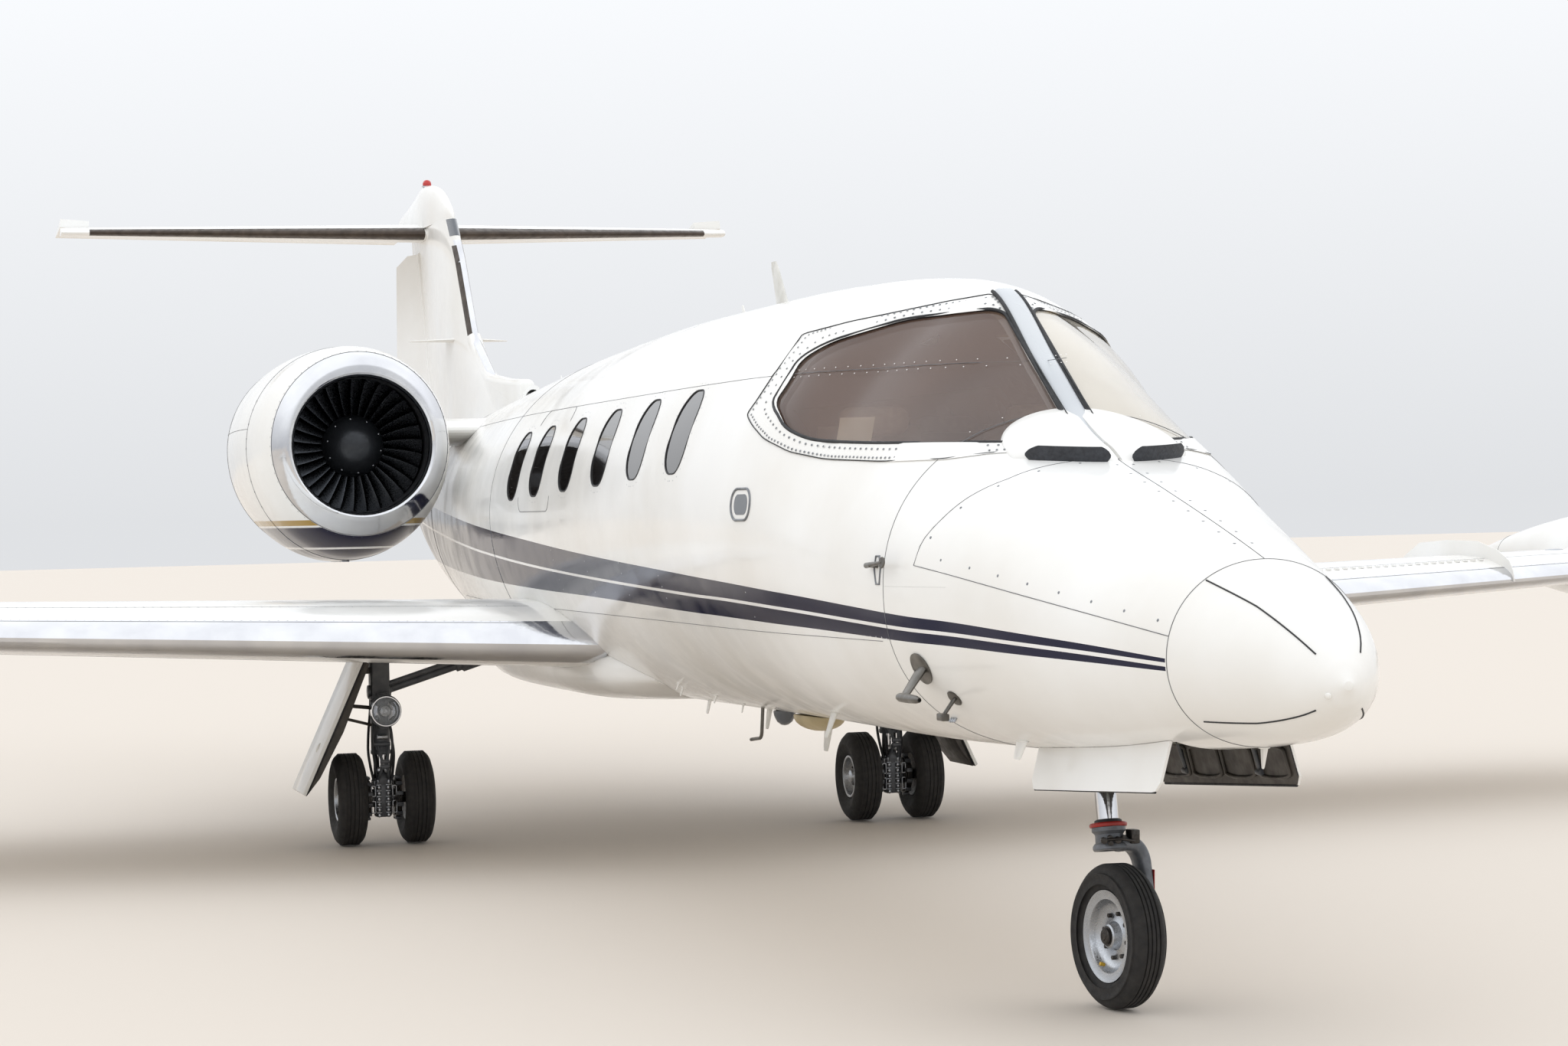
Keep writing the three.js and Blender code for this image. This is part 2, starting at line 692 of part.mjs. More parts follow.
function wing() {
  let s = wingShape;
  const cove = (f) => {
    const r = Math.max(hingeRadius(f.x0, f.at), hingeRadius(f.x1, f.at)) + PLAY + 2;
    const lead = (x) => f.at - r / wingChord(x);
    const at = (x, u) => [x, wingPoint(x, u, 0).y];
    const [a, b] = [f.x0 - END_PLAY, f.x1 + END_PLAY];
    return prism("z", [at(a, lead(a)), at(b, lead(b)), at(b, 1.2), at(a, 1.2)], 400, 1700);
  };
  for (const f of [FLAP, AILERON])
    s = s.subtract(cove(f)).subtract(hingePin(f.x0, f.x1, f.at, PIN.r + GAP, 1));
  const pocket = chordBlock(
    SPOILER.x0 - PLAY,
    SPOILER.x1 + PLAY,
    SPOILER.from - 0.004,
    SPOILER.to + 0.0025,
  ).subtract(wingShape.translate([0, 0, -SPOILER.t - GAP]));
  const under = wingPoint(JACK.wingX, 0, 0);
  const u = (yOf(JACK.wingS) - under.y) / wingChord(JACK.wingX);
  const low = wingPoint(JACK.wingX, u, ordinates(u, wingT(JACK.wingX))[1]).z;
  s = s.subtract(pocket).add(fence()).add(jackPad(JACK.wingX, JACK.wingS, low));
  // The root follows the fuselage side.
  return s.subtract(hull(4800, 9200, -GAP));
}

function fence() {
  const rows = [
    // chord fraction, height above the chord line
    [-0.008, -10],
    [0.02, 95],
    [0.2, 190],
    [0.55, 180],
    [0.7, 50],
    [0.7, 0],
  ];
  const { x, t } = FENCE;
  return prism("x", rows.map(([u, h]) => [wingPoint(x, u, 0).y, wingZ(x) + h]), x - t / 2, x + t / 2);
}

function spoiler() {
  const plate = chordBlock(SPOILER.x0, SPOILER.x1, SPOILER.from, SPOILER.to);
  return wingShape.intersect(plate).subtract(wingShape.translate([0, 0, -SPOILER.t]));
}

const wingLeft = wing();
const flapLeft = trailing(FLAP);
const aileronLeft = trailing(AILERON);
const spoilerLeft = spoiler();
add("wing_left", wingLeft, WHITE);
add("wing_right", mirrored(wingLeft), WHITE);
add("flap_left", flapLeft, WHITE);
add("flap_right", mirrored(flapLeft), WHITE);
add("aileron_left", aileronLeft, WHITE);
add("aileron_right", mirrored(aileronLeft), WHITE);
add("spoiler_left", spoilerLeft, WHITE);
add("spoiler_right", mirrored(spoilerLeft), WHITE);

// Tip tanks.
function tipTank() {
  const len = TANK.s1 - TANK.s0;
  const rows = [0, 0.012, 0.05, 0.12, 0.24, 0.4, 0.6, 0.78, 0.92, 1];
  const shape = (u) => (u < 0.4 ? Math.sqrt(Math.max(0, 1 - ((0.4 - u) / 0.4) ** 2)) : 1 - ((u - 0.4) / 0.6) ** 2.2);
  const profile = rows.map((u) => [Math.max(u === 0 || u === 1 ? 0 : 4, TANK.r * shape(u)), u * len]);
  const z = wingZ(TANK.x) + 20;
  return turned(profile, V(TANK.x, yOf(TANK.s0), z), V(0, 1, 0), 24).intersect(
    box(WING.semi + GAP, 7000, -9000, 9000, 0, 3000),
  );
}
const tankLeft = tipTank();
add("tip_tank_left", tankLeft, WHITE);
add("tip_tank_right", mirrored(tankLeft), WHITE);

// Belly fairing between the wings.
function bellySolid(inset) {
  const rows = [
    // s, half width, top, bottom
    [5700, 430, 900, 790],
    [6100, 600, 1000, 724],
    [6800, 650, 1040, 692],
    [7800, 650, 1040, 688],
    [8600, 560, 990, 706],
    [9300, 330, 900, 800],
  ];
  const ring = ([s, hw, top, bot]) => {
    const out = [];
    for (let i = 0; i < 28; i++) {
      const t = (2 * Math.PI * i) / 28;
      const [c, d] = [Math.cos(t), Math.sin(t)];
      const e = 0.7;
      out.push(
        V(
          (hw - inset) * Math.sign(c) * Math.abs(c) ** e,
          yOf(s),
          (top + bot) / 2 + ((top - bot) / 2 - inset) * Math.sign(d) * Math.abs(d) ** e,
        ),
      );
    }
    return out;
  };
  return loft(rows.map(ring));
}

function bellyFairing() {
  const s = bellySolid(0).subtract(hull(4800, 9800, -GAP));
  return largest(s.subtract(wingRoom).subtract(mirrored(wingRoom)));
}
add("belly_fairing", bellyFairing(), WHITE);

// Tailplane.
function stabRing(x, grow = 0) {
  const u = Math.abs(x) / STAB.semi;
  const s0 = STAB.rootS + (STAB.tipS - STAB.rootS) * u - grow;
  const c = STAB.rootC + (STAB.tipC - STAB.rootC) * u + 2 * grow;
  return foil(s0, c, (STAB.t * c) / 2 + grow, 9).map(([s, z]) => V(x, yOf(s), STAB.z + z));
}
function stabWhole(grow = 0) {
  return loft([-STAB.semi, -60, 60, STAB.semi].map((x) => stabRing(x, grow)));
}
const stabAt = (x, u) => {
  const k = Math.abs(x) / STAB.semi;
  const s0 = STAB.rootS + (STAB.tipS - STAB.rootS) * k;
  const c = STAB.rootC + (STAB.tipC - STAB.rootC) * k;
  return yOf(s0 + u * c);
};
// The pin at the inner end of each elevator, in the middle block of the tailplane.
const elevatorPin = (side, r, deeper = 0) => {
  const at = (x) => V(side * x, stabAt(x, ELEVATOR.at), STAB.z);
  return rod(at(36 - deeper), at(110), r, 16);
};

// Turned about the line across the aircraft where the tailplane's height was set.
const trimmed = (s) => swung(s, V(0, yOf(SET.s), STAB.z), V(1, 0, 0), SET.degrees);

// The streamlined cap over the fin and the middle of the tailplane.
function finCap() {
  const rows = [
    // s, half width, top, bottom
    [12400, 3, 3368, FIN_TOP],
    [12470, 24, 3425, FIN_TOP],
    [12615, 40, 3492, FIN_TOP],
    [12751, 50, 3556, FIN_TOP],
    [13000, 62, 3615, FIN_TOP],
    [13296, 66, 3645, FIN_TOP],
    [13602, 60, 3600, FIN_TOP],
    [13820, 56, 3565, 3372],
    [14032, 50, 3542, 3392],
    [14300, 28, 3506, 3430],
    [14420, 4, 3480, 3462],
  ];
  const ring = ([s, hw, top, bottom]) => {
    const out = [];
    for (let i = 0; i <= 12; i++) {
      const t = (Math.PI * i) / 12;
      const c = Math.cos(t);
      out.push(
        V(
          hw * Math.sign(c) * Math.abs(c) ** 0.8,
          yOf(s),
          bottom + (top - bottom) * Math.sin(t) ** 0.8,
        ),
      );
    }
    return out;
  };
  return loft(rows.map(ring));
}

function tailplane() {
  const inner = 60;
  const outer = STAB.semi - 190;
  const cutHalf = (side) => {
    const [a, b] = [side * inner, side * outer];
    const r = 30;
    return prism(
      "z",
      [
        [a, stabAt(a, ELEVATOR.at) - r],
        [b, stabAt(b, ELEVATOR.at) - r],
        [b, 8000],
        [a, 8000],
      ],
      3000,
      4000,
    );
  };
  const tipCut = (side) => {
    const [a, b] = [side * outer, side * 2400];
    return box(Math.min(a, b), Math.max(a, b), stabAt(STAB.semi, 0.22), 8000, 3000, 4000);
  };
  let s = stabWhole();
  for (const side of [-1, 1]) s = s.subtract(cutHalf(side)).subtract(tipCut(side));
  s = trimmed(s).add(finCap());
  for (const side of [-1, 1]) s = s.subtract(trimmed(elevatorPin(side, PIN.r + GAP, 1)));
  const beacon = [[0, 0], [28, 0], [28, 22], [20, 40], [0, 46]];
  return s.add(turned(beacon, V(0, yOf(13296), 3640), V(0, 0, 1), 16));
}
add("stabilizer", tailplane(), WHITE);
const tail = tailSurfaces();
add("fin", tail.fin, WHITE);
add("rudder", tail.rudder, WHITE);

function elevator(side) {
  const [x0, x1] = [side * (60 + PLAY), side * (STAB.semi - 190)];
  const xt = side * STAB.semi;
  const horn = stabAt(STAB.semi, 0.22) + PLAY;
  const area = [
    [x0, stabAt(x0, ELEVATOR.at)],
    [x1 + side * PLAY, stabAt(x1 + side * PLAY, ELEVATOR.at)],
    [x1 + side * PLAY, horn],
    [xt + side * 20, horn],
    [xt + side * 20, 8000],
    [x0, 8000],
  ];
  const p0 = V(x0 - side * 50, stabAt(x0 - side * 50, ELEVATOR.at), STAB.z);
  const p1 = V(x1 + side * 50, stabAt(x1 + side * 50, ELEVATOR.at), STAB.z);
  const d = V(0, 0, 0).subVectors(p1, p0);
  const nose = turned([[0, 0], [22, 0], [13, d.length()], [0, d.length()]], p0, d, 16).intersect(
    box(Math.min(x0, x1), Math.max(x0, x1), 0, 9000, 3000, 4000),
  );
  const flat = stabWhole()
    .intersect(prism("z", area, 3000, 4000))
    .add(nose)
    .add(elevatorPin(side, PIN.r));
  // Parked with the trailing edge hanging down.
  return trimmed(swung(flat, p0, d, -side * ELEVATOR.droop));
}
add("elevator_left", elevator(1), WHITE);
add("elevator_right", elevator(-1), WHITE);

// Engines.
// Cowl: distance aft of the lip, half width, height above and depth below the engine axis.
const COWL = [
  [0, 360, 385, 340],
  [30, 400, 428, 385],
  [140, 448, 470, 470],
  [420, 492, 502, 556],
  [900, 510, 512, 580],
  [1500, 486, 494, 536],
  [2080, 394, 405, 420],
  [2620, 285, 295, 295],
];
const COWL_WALL = 9;
const ROUND = 24; // facets round an engine

function cowl(inset) {
  const { x, z, lipS } = ENGINE;
  const ring = ([d, hw, up, down]) => {
    const out = [];
    for (let i = 0; i < ROUND; i++) {
      const t = (2 * Math.PI * i) / ROUND;
      const [c, q] = [Math.cos(t), Math.sin(t)];
      out.push(V(x + (hw - inset) * c, yOf(lipS + d), z + ((q > 0 ? up : down) - inset) * q));
    }
    return out;
  };
  return loft(COWL.map(ring));
}

function nacelle() {
  const { x, z, lipS } = ENGINE;
  const aft = V(0, 1, 0);
  const duct = turned(
    [[0, -20], [352, -20], [352, 2], [330, 45], [327, 130], [362, 320], [362, 560], [0, 560]],
    V(x, yOf(lipS), z),
    aft,
    ROUND,
  );
  const room = cowl(COWL_WALL).intersect(box(0, 3000, yOf(lipS + 480), 9000, 0, 4000));
  const exit = rod(V(x, yOf(lipS + 2400), z), V(x, yOf(lipS + 2700), z), 268, ROUND);
  return cowl(0).subtract(duct).subtract(room).subtract(exit);
}
const FAN_S = ENGINE.lipS + 330;
const engineAxis = (s) => V(ENGINE.x, yOf(s), ENGINE.z);

const FAN_TIP = 355;
const SHAFT = 40;

// Fan: a hub with thirty pitched blades, drawn face on and twisted towards the back.
function fan() {
  const count = 30;
  const pts = [];
  for (let i = 0; i < count; i++)
    for (const [r, d] of [[112, -0.052], [FAN_TIP, -0.016], [FAN_TIP, 0.016], [112, 0.052]]) {
      const t = (2 * Math.PI * i) / count + d;
      pts.push(new THREE.Vector2(r * Math.cos(t), r * Math.sin(t)));
    }
  const g = new THREE.ExtrudeGeometry(new THREE.Shape(pts), { depth: 62, bevelEnabled: false });
  const p = g.attributes.position;
  for (let i = 0; i < p.count; i++) {
    const a = (p.getZ(i) / 62) * 0.16;
    const [u, v] = [p.getX(i), p.getY(i)];
    p.setXY(i, u * Math.cos(a) - v * Math.sin(a), u * Math.sin(a) + v * Math.cos(a));
  }
  g.rotateX(rad(-90));
  g.deleteAttribute("uv");
  g.deleteAttribute("normal");
  const c = engineAxis(FAN_S + 12);
  const disc = solid(g.translate(c.x, c.y, c.z));
  const hub = turned(
    [[0, -130], [60, -105], [114, 0], [114, 90], [SHAFT, 90], [SHAFT, 170], [0, 170]],
    engineAxis(FAN_S),
    V(0, 1, 0),
    ROUND,
  );
  return disc.add(hub);
}

// The engine behind the fan: a frame ring that meets the cowl, the core and the exhaust cone.
function engineCore() {
  const core = turned(
    [[SHAFT + 0.5, 130], [150, 130], [300, 420], [300, 1150], [90, 2050], [0, 2200], [0, 190],
      [SHAFT + 0.5, 190], [SHAFT + 0.5, 130]],
    engineAxis(FAN_S),
    V(0, 1, 0),
    ROUND,
  );
  const ring = rod(engineAxis(FAN_S + 420), engineAxis(FAN_S + 470), 620, 8).intersect(
    cowl(COWL_WALL + GAP),
  );
  return core.add(ring);
}

function pylon() {
  const { x, z } = ENGINE;
  const p = box(x - 900, x - 150, yOf(9000), yOf(10400), z + 10, z + 150);
  return largest(p.subtract(hull(8000, 11500, -GAP)).subtract(cowl(-GAP)));
}

const nacelleLeft = nacelle();
const pylonLeft = pylon();
const coreLeft = engineCore();
const fanLeft = fan();
for (const [name, s, m] of [
  ["nacelle", nacelleLeft, WHITE],
  ["pylon", pylonLeft, WHITE],
  ["engine_core", coreLeft, GREY],
  ["fan", fanLeft, GREY],
]) {
  add(name + "_left", s, m);
  add(name + "_right", mirrored(s), m);
}

// Landing gear.
const WHEEL_SEG = 24;

function tyre(t, p) {
  const h = t.w / 2;
  const profile = [
    [t.bore, -h * 0.72],
    [t.r - 54, -h],
    [t.r - 20, -h * 0.88],
    [t.r - 3, -h * 0.56],
    [t.r, -h * 0.3],
    [t.r, h * 0.3],
    [t.r - 3, h * 0.56],
    [t.r - 20, h * 0.88],
    [t.r - 54, h],
    [t.bore, h * 0.72],
    [t.bore, -h * 0.72],
  ];
  return turned(profile, p, V(1, 0, 0), WHEEL_SEG);
}

const noseAxle = V(0, yOf(NOSE_AXLE.s), NOSE_AXLE.z);
const strutDir = V(0, Math.sin(rad(NOSE_AXLE.rake)), Math.cos(rad(NOSE_AXLE.rake)));
const onStrut = (d) => noseAxle.clone().addScaledVector(strutDir, d);

// What the steering turns is parked at an angle.
const steered = (s) => swung(s, noseAxle, strutDir, NOSE_AXLE.turn);

function noseGear() {
  add("nose_tyre", steered(tyre(NOSE_TYRE, noseAxle)), RUBBER);
  const b = NOSE_TYRE.bore - GAP;
  const wheel = turned(
    [[22, -40], [b - 14, -40], [b, -40.2], [b, 40.2], [b - 14, 40], [22, 40], [22, -40]],
    noseAxle,
    V(1, 0, 0),
    WHEEL_SEG,
  );
  add("nose_wheel", steered(wheel), METAL);
  // One-sided fork on the port side, carrying a stub axle.
  const collar = rod(onStrut(262), onStrut(330), 52, 24);
  const stub = rod(V(-40, noseAxle.y, noseAxle.z), V(100, noseAxle.y, noseAxle.z), 21.5, WHEEL_SEG);
  const arm = prism(
    "y",
    [
      [-30, 470],
      [-30, 515],
      [55, 525],
      [105, 492],
      [120, 430],
      [122, 180],
      [80, 180],
      [80, 400],
      [70, 455],
      [38, 470],
    ],
    -45,
    45,
  ).translate([0, noseAxle.y + 30, 0]);
  const wheelRoom = rod(V(-90, noseAxle.y, noseAxle.z), V(80, noseAxle.y, noseAxle.z), 238, 32);
  const piston = rod(onStrut(300), onStrut(560), 33, 24);
  add("nose_fork", steered(arm.subtract(wheelRoom).add(collar).add(stub).add(piston)), GREY);
  const barrel = rod(onStrut(440), onStrut(740), 50, 24);
  const bore = rod(onStrut(400), onStrut(570), 33.5, 24);
  const y = onStrut(680).y;
  const head = box(-BAY.half + GAP, BAY.half - GAP, y - 45, y + 45, 850, 930);
  add("nose_leg", barrel.add(head).subtract(bore), GREY);
}

function mainLeg() {
  const { x, s, z } = MAIN_AXLE;
  const y = yOf(s);
  const top = wingZ(x) - 40;
  let g = box(x - 44, x + 44, y - 50, y + 50, 690, top);
  g = g.add(rod(V(x, y, 300), V(x, y, 700), 46, 20));
  g = g.add(box(x - 60, x + 60, y - 60, y + 60, 158, 300));
  g = g.add(rod(V(x - 30, y, 720), V(x - 370, y, 825), 18, 12));
  g = g.add(rod(V(x - 360, y, 822), V(x - 545, y, 880), 34, 12));
  g = g.add(rod(V(x - 8, y - 140, 628), V(x - 8, y - 40, 628), 70, 24));
  const bore = rod(V(x - 90, y, z), V(x + 90, y, z), 25.5, WHEEL_SEG);
  g = g.subtract(bore).subtract(wingRoom).subtract(hull(4800, 9800, -GAP));
  return largest(g.subtract(bellySolid(-GAP)));
}

function mainWheels() {
  const { x, s, z } = MAIN_AXLE;
  const y = yOf(s);
  const h = MAIN_TYRE.spacing / 2;
  const b = MAIN_TYRE.bore - GAP;
  const rim = (c) =>
    turned(
      [[0, -36], [b - 12, -42], [b, -50], [b, 50], [0, 50]],
      V(c, y, z),
      V(1, 0, 0),
      WHEEL_SEG,
    );
  const axle = rod(V(x - h, y, z), V(x + h, y, z), 25, WHEEL_SEG);
  return rim(x - h).add(rim(x + h)).add(axle);
}

function legDoor() {
  const { x, s } = MAIN_AXLE;
  return prism(
    "y",
    [
      [x + 98, 868],
      [x + 112, 880],
      [x + 395, 262],
      [x + 380, 252],
    ],
    yOf(s) - 190,
    yOf(s) + 190,
  ).add(box(x + 40, x + 125, yOf(s) - 20, yOf(s) + 20, 800, 830).subtract(box(0, x + 44.3, -9000, 9000, 0, 2000)));
}

noseGear();
const legLeft = mainLeg();
const doorLeft = legDoor();
const hubLeft = mainWheels();
add("main_leg_left", legLeft, GREY);
add("main_leg_right", mirrored(legLeft), GREY);
add("main_door_left", doorLeft, WHITE);
add("main_door_right", mirrored(doorLeft), WHITE);
add("main_wheels_left", hubLeft, METAL);
add("main_wheels_right", mirrored(hubLeft), METAL);
for (const [side, k] of [["left", 1], ["right", -1]])
  for (const [place, d] of [["inner", -1], ["outer", 1]]) {
    const x = k * (MAIN_AXLE.x + (d * MAIN_TYRE.spacing) / 2);
    add(`main_tyre_${side}_${place}`, tyre(MAIN_TYRE, V(x, yOf(MAIN_AXLE.s), MAIN_AXLE.z)), RUBBER);
  }

// Nose gear door: it hangs from the edge of the bay and follows its slope.
function noseDoor() {
  const ring = (s, top, low) =>
    [
      [BAY.half + 4, top],
      [BAY.half + 12, top + 1],
      [BAY.half + 54, low + 3],
      [BAY.half + 46, low],
    ].map(([x, z]) => V(x, yOf(s), z));
  return loft([ring(755, 880, 729), ring(1775, 828, 661)]).subtract(hull(0, 2500, -1));
}
const noseDoorLeft = noseDoor();
add("nose_door_left", noseDoorLeft, WHITE);
add("nose_door_right", mirrored(noseDoorLeft), WHITE);

// Cabin.
function cabinFloor() {
  const room = hull(NOSE_END + 60, CABIN_END - 60, CABIN_WALL + GAP);
  return box(-900, 900, yOf(BAY_END + 10), yOf(7200), FLOOR_Z - 40, FLOOR_Z).intersect(room);
}
add("cabin_floor", cabinFloor(), TRIM);

function seat(x, s, facing) {
  const z = FLOOR_Z + GAP;
  const y = yOf(s);
  const base = box(x - 100, x + 100, y - 180, y + 180, z, z + 200);
  const cushion = box(x - 220, x + 220, y - 250, y + 250, z + 200, z + 400);
  const b = facing > 0 ? [y - 300, y - 160] : [y + 160, y + 300];
  const back = box(x - 200, x + 200, b[0], b[1], z + 300, z + 920);
  return base.add(cushion).add(back);
}
add("crew_seat_left", seat(300, 2780, -1), SEAT);
add("crew_seat_right", seat(-300, 2780, -1), SEAT);
add("cabin_seat_left", seat(390, 4500, 1), SEAT);
add("cabin_seat_right", seat(-390, 4500, 1), SEAT);

function divan() {
  const z = FLOOR_Z + GAP;
  const room = hull(NOSE_END + 60, CABIN_END - 10, CABIN_WALL + 12);
  const lowPart = box(-640, 640, yOf(6350), yOf(6900), z, z + 400);
  const back = box(-600, 600, yOf(6760), yOf(6920), z + 300, z + 900);
  return lowPart.add(back).intersect(room);
}
add("aft_divan", divan(), SEAT);

function panel() {
  const room = hull(NOSE_END + 20, CABIN_END, CABIN_WALL + GAP);
  const board = box(-900, 900, yOf(2060), yOf(2130), 1250, 1700);
  const hood = box(-900, 900, yOf(1900), yOf(2200), 1640, 1690);
  const pedestal = box(-130, 130, yOf(2080), yOf(2500), FLOOR_Z + GAP, 1400);
  return board.add(hood).add(pedestal).intersect(room);
}
add("instrument_panel", panel(), BLACK);

export default jet;
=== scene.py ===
"""Looks of a light twin-engined business jet, parked on its landing gear.

Metres, nose towards -Y, starboard towards -X, ground at Z = 0. Tables are in millimetres,
with stations counted aft from the nose tip, as in the part's own source.
"""
from math import copysign, cos, exp, hypot, pi, radians, sin, sqrt

import bpy
import numpy as np
from mathutils import Matrix, Vector


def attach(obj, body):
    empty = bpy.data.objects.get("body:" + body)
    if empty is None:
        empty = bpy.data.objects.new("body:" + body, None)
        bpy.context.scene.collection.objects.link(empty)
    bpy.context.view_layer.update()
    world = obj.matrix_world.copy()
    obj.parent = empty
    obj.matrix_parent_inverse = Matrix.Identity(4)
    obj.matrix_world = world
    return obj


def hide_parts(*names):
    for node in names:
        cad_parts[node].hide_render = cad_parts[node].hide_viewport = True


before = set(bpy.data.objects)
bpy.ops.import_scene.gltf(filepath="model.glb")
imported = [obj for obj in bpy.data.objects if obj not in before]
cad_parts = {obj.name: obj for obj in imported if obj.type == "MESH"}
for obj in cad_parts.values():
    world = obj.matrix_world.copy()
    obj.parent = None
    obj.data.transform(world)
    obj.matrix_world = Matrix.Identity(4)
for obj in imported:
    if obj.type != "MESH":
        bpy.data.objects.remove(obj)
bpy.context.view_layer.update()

MM = 0.001
NOSE = -7.415  # Y of the nose tip
SIDES = ((1, "left"), (-1, "right"))
X, Y, Z = (Vector(row) for row in ((1, 0, 0), (0, 1, 0), (0, 0, 1)))
MIRROR = Matrix.Scale(-1, 4, X)


def y_at(station):
    return NOSE + station * MM


def spot(x, s, z):
    """A point from millimetres across, a station and a height."""
    return Vector((x * MM, y_at(s), z * MM))


def metres(rows):
    """A side view in (station, height) pairs, turned to metres."""
    return [(y_at(s), z * MM) for s, z in rows]


def turns(count, shift=0):
    """Angles at even steps all round."""
    return [2 * pi * (k + shift) / count for k in range(count)]


def even(start, end, count):
    """Values at even steps from start to end, both included."""
    return [start + (end - start) * k / count for k in range(count + 1)]


def boxy(c, power=0.7):
    """A cosine or sine drawn towards a square corner."""
    return copysign(abs(c) ** power, c)


# Working with objects.
def take(*chosen):
    """Selects these objects alone; the first is the active one."""
    for obj in bpy.context.selected_objects:
        obj.select_set(False)
    for obj in chosen:
        obj.select_set(True)
    if chosen:
        bpy.context.view_layer.objects.active = chosen[0]


def modify(obj, kind, **settings):
    take(obj)
    mod = obj.modifiers.new(kind.title(), kind)
    for key, value in settings.items():
        setattr(mod, key, value)
    bpy.ops.object.modifier_apply(modifier=mod.name)
    return obj


def edit_all(obj, *steps):
    """Runs edit-mode operators, each (operator, settings), on the whole mesh, and turns its faces outwards."""
    take(obj)
    every = (bpy.ops.mesh.select_all, {"action": "SELECT"})
    bpy.ops.object.mode_set(mode="EDIT")
    for step, settings in (every, *steps, every, (bpy.ops.mesh.normals_make_consistent, {"inside": False})):
        step(**settings)
    bpy.ops.object.mode_set(mode="OBJECT")
    return obj


def named(obj, name):
    obj.name = obj.data.name = name
    return obj


def join(name, parts):
    take(*parts)
    bpy.ops.object.join()
    return named(bpy.context.object, name)


def add(name, data):
    obj = bpy.data.objects.new(name, data)
    bpy.context.scene.collection.objects.link(obj)
    return obj


def copy_of(obj, name, matrix):
    """A copy with its own mesh, moved by a matrix; a mirror image is turned right side out."""
    new = add(name, obj.data.copy())
    new.data.transform(matrix)
    if matrix.determinant() < 0:
        new.data.flip_normals()
    return new


def smooth(obj, angle=32):
    take(obj)
    bpy.ops.object.shade_smooth_by_angle(angle=radians(angle))
    return obj


def read(items, key, wide=3, kind=float):
    """One property of all the items of a mesh, as an array."""
    out = np.empty(len(items) * wide, kind)
    items.foreach_get(key, out)
    return out.reshape(-1, wide) if wide > 1 else out


# Making shapes.
def primitive(name, kind, **settings):
    take()
    getattr(bpy.ops.mesh, "primitive_" + kind + "_add")(**settings)
    return named(bpy.context.object, name)


def lattice(name, rows, ring_way=False, capped=False):
    """A skin over closed rows of points; ring_way joins the last row to the first."""
    across, along = len(rows[0]), len(rows) - (not ring_way)
    obj = primitive(name, "grid", x_subdivisions=across, y_subdivisions=along, size=2)
    start = (read(obj.data.vertices, "co") + 1) / 2
    i = np.rint(start[:, 0] * across).astype(int) % len(rows[0])
    j = np.rint(start[:, 1] * along).astype(int) % len(rows)
    points = np.array([[tuple(p) for p in row] for row in rows])
    obj.data.vertices.foreach_set("co", points[j, i].ravel())
    obj.data.update()
    caps = [(bpy.ops.mesh.fill_holes, {"sides": 0})] if capped else []
    return edit_all(obj, (bpy.ops.mesh.remove_doubles, {"threshold": 1e-6}), *caps)


def solid(name, rows):
    return lattice(name, rows, capped=True)


def turned(name, profile, centre, axis, steps=64, closed=False, capped=False, angle=35):
    """Turns (radius, distance along the axis) pairs, in millimetres, about an axis."""
    axis = Vector(axis).normalized()
    side = axis.orthogonal().normalized()
    other = axis.cross(side)
    rows = [
        [Vector(centre) + axis * (d * MM) + (side * cos(t) + other * sin(t)) * (r * MM) for t in turns(steps)]
        for r, d in profile
    ]
    return smooth(lattice(name, rows, closed, capped), angle)


def prism(name, outline, axis, low, high):
    """A flat outline, in the two other axes in order, drawn out along one axis."""
    obj = primitive(name, "circle", vertices=len(outline), fill_type="NGON")
    k = "xyz".index(axis)
    for vertex, point in zip(obj.data.vertices, outline):
        vertex.co = (*point[:k], low, *point[k:])
    way = tuple((high - low) * (i == k) for i in range(3))
    return edit_all(obj, (bpy.ops.mesh.extrude_region_move, {"TRANSFORM_OT_translate": {"value": way}}))


def block(name, low, high, bevel=0.002, at=(0, 0, 0)):
    """A box between two corners, counted from at."""
    low, high = Vector(low) + Vector(at), Vector(high) + Vector(at)
    obj = primitive(name, "cube", size=1)
    obj.data.transform(Matrix.Translation((low + high) / 2) @ Matrix.Diagonal((*(high - low), 1)))
    if bevel:
        modify(obj, "BEVEL", width=bevel, segments=2)
    return smooth(obj)


def rod(name, start, end, radius, steps=24, bevel=0.0015, end_radius=None, at=(0, 0, 0)):
    """A round bar between two points, counted from at; tapered if its end has a radius of its own."""
    start, end = Vector(start) + Vector(at), Vector(end) + Vector(at)
    wide = radius if end_radius is None else end_radius
    obj = primitive(name, "cone", vertices=steps, radius1=radius, radius2=wide, depth=(end - start).length)
    turn = Z.rotation_difference(end - start).to_matrix().to_4x4()
    obj.data.transform(Matrix.Translation((start + end) / 2) @ turn)
    if bevel:
        modify(obj, "BEVEL", width=bevel, segments=2, angle_limit=radians(50))
    return smooth(obj)


def tube(name, paths, radius, closed=False, sides=3):
    """Round wires along paths of points, as one mesh."""
    curve = bpy.data.curves.new(name, "CURVE")
    curve.dimensions = "3D"
    curve.bevel_depth = radius
    curve.bevel_resolution = sides
    curve.use_fill_caps = True
    for path in paths:
        line = curve.splines.new("POLY")
        line.points.add(len(path) - 1)
        for point, place in zip(line.points, path):
            point.co = (*place, 1)
        line.use_cyclic_u = closed
    take(add(name, curve))
    bpy.ops.object.convert(target="MESH")
    bpy.ops.object.shade_smooth()
    return named(bpy.context.object, name)


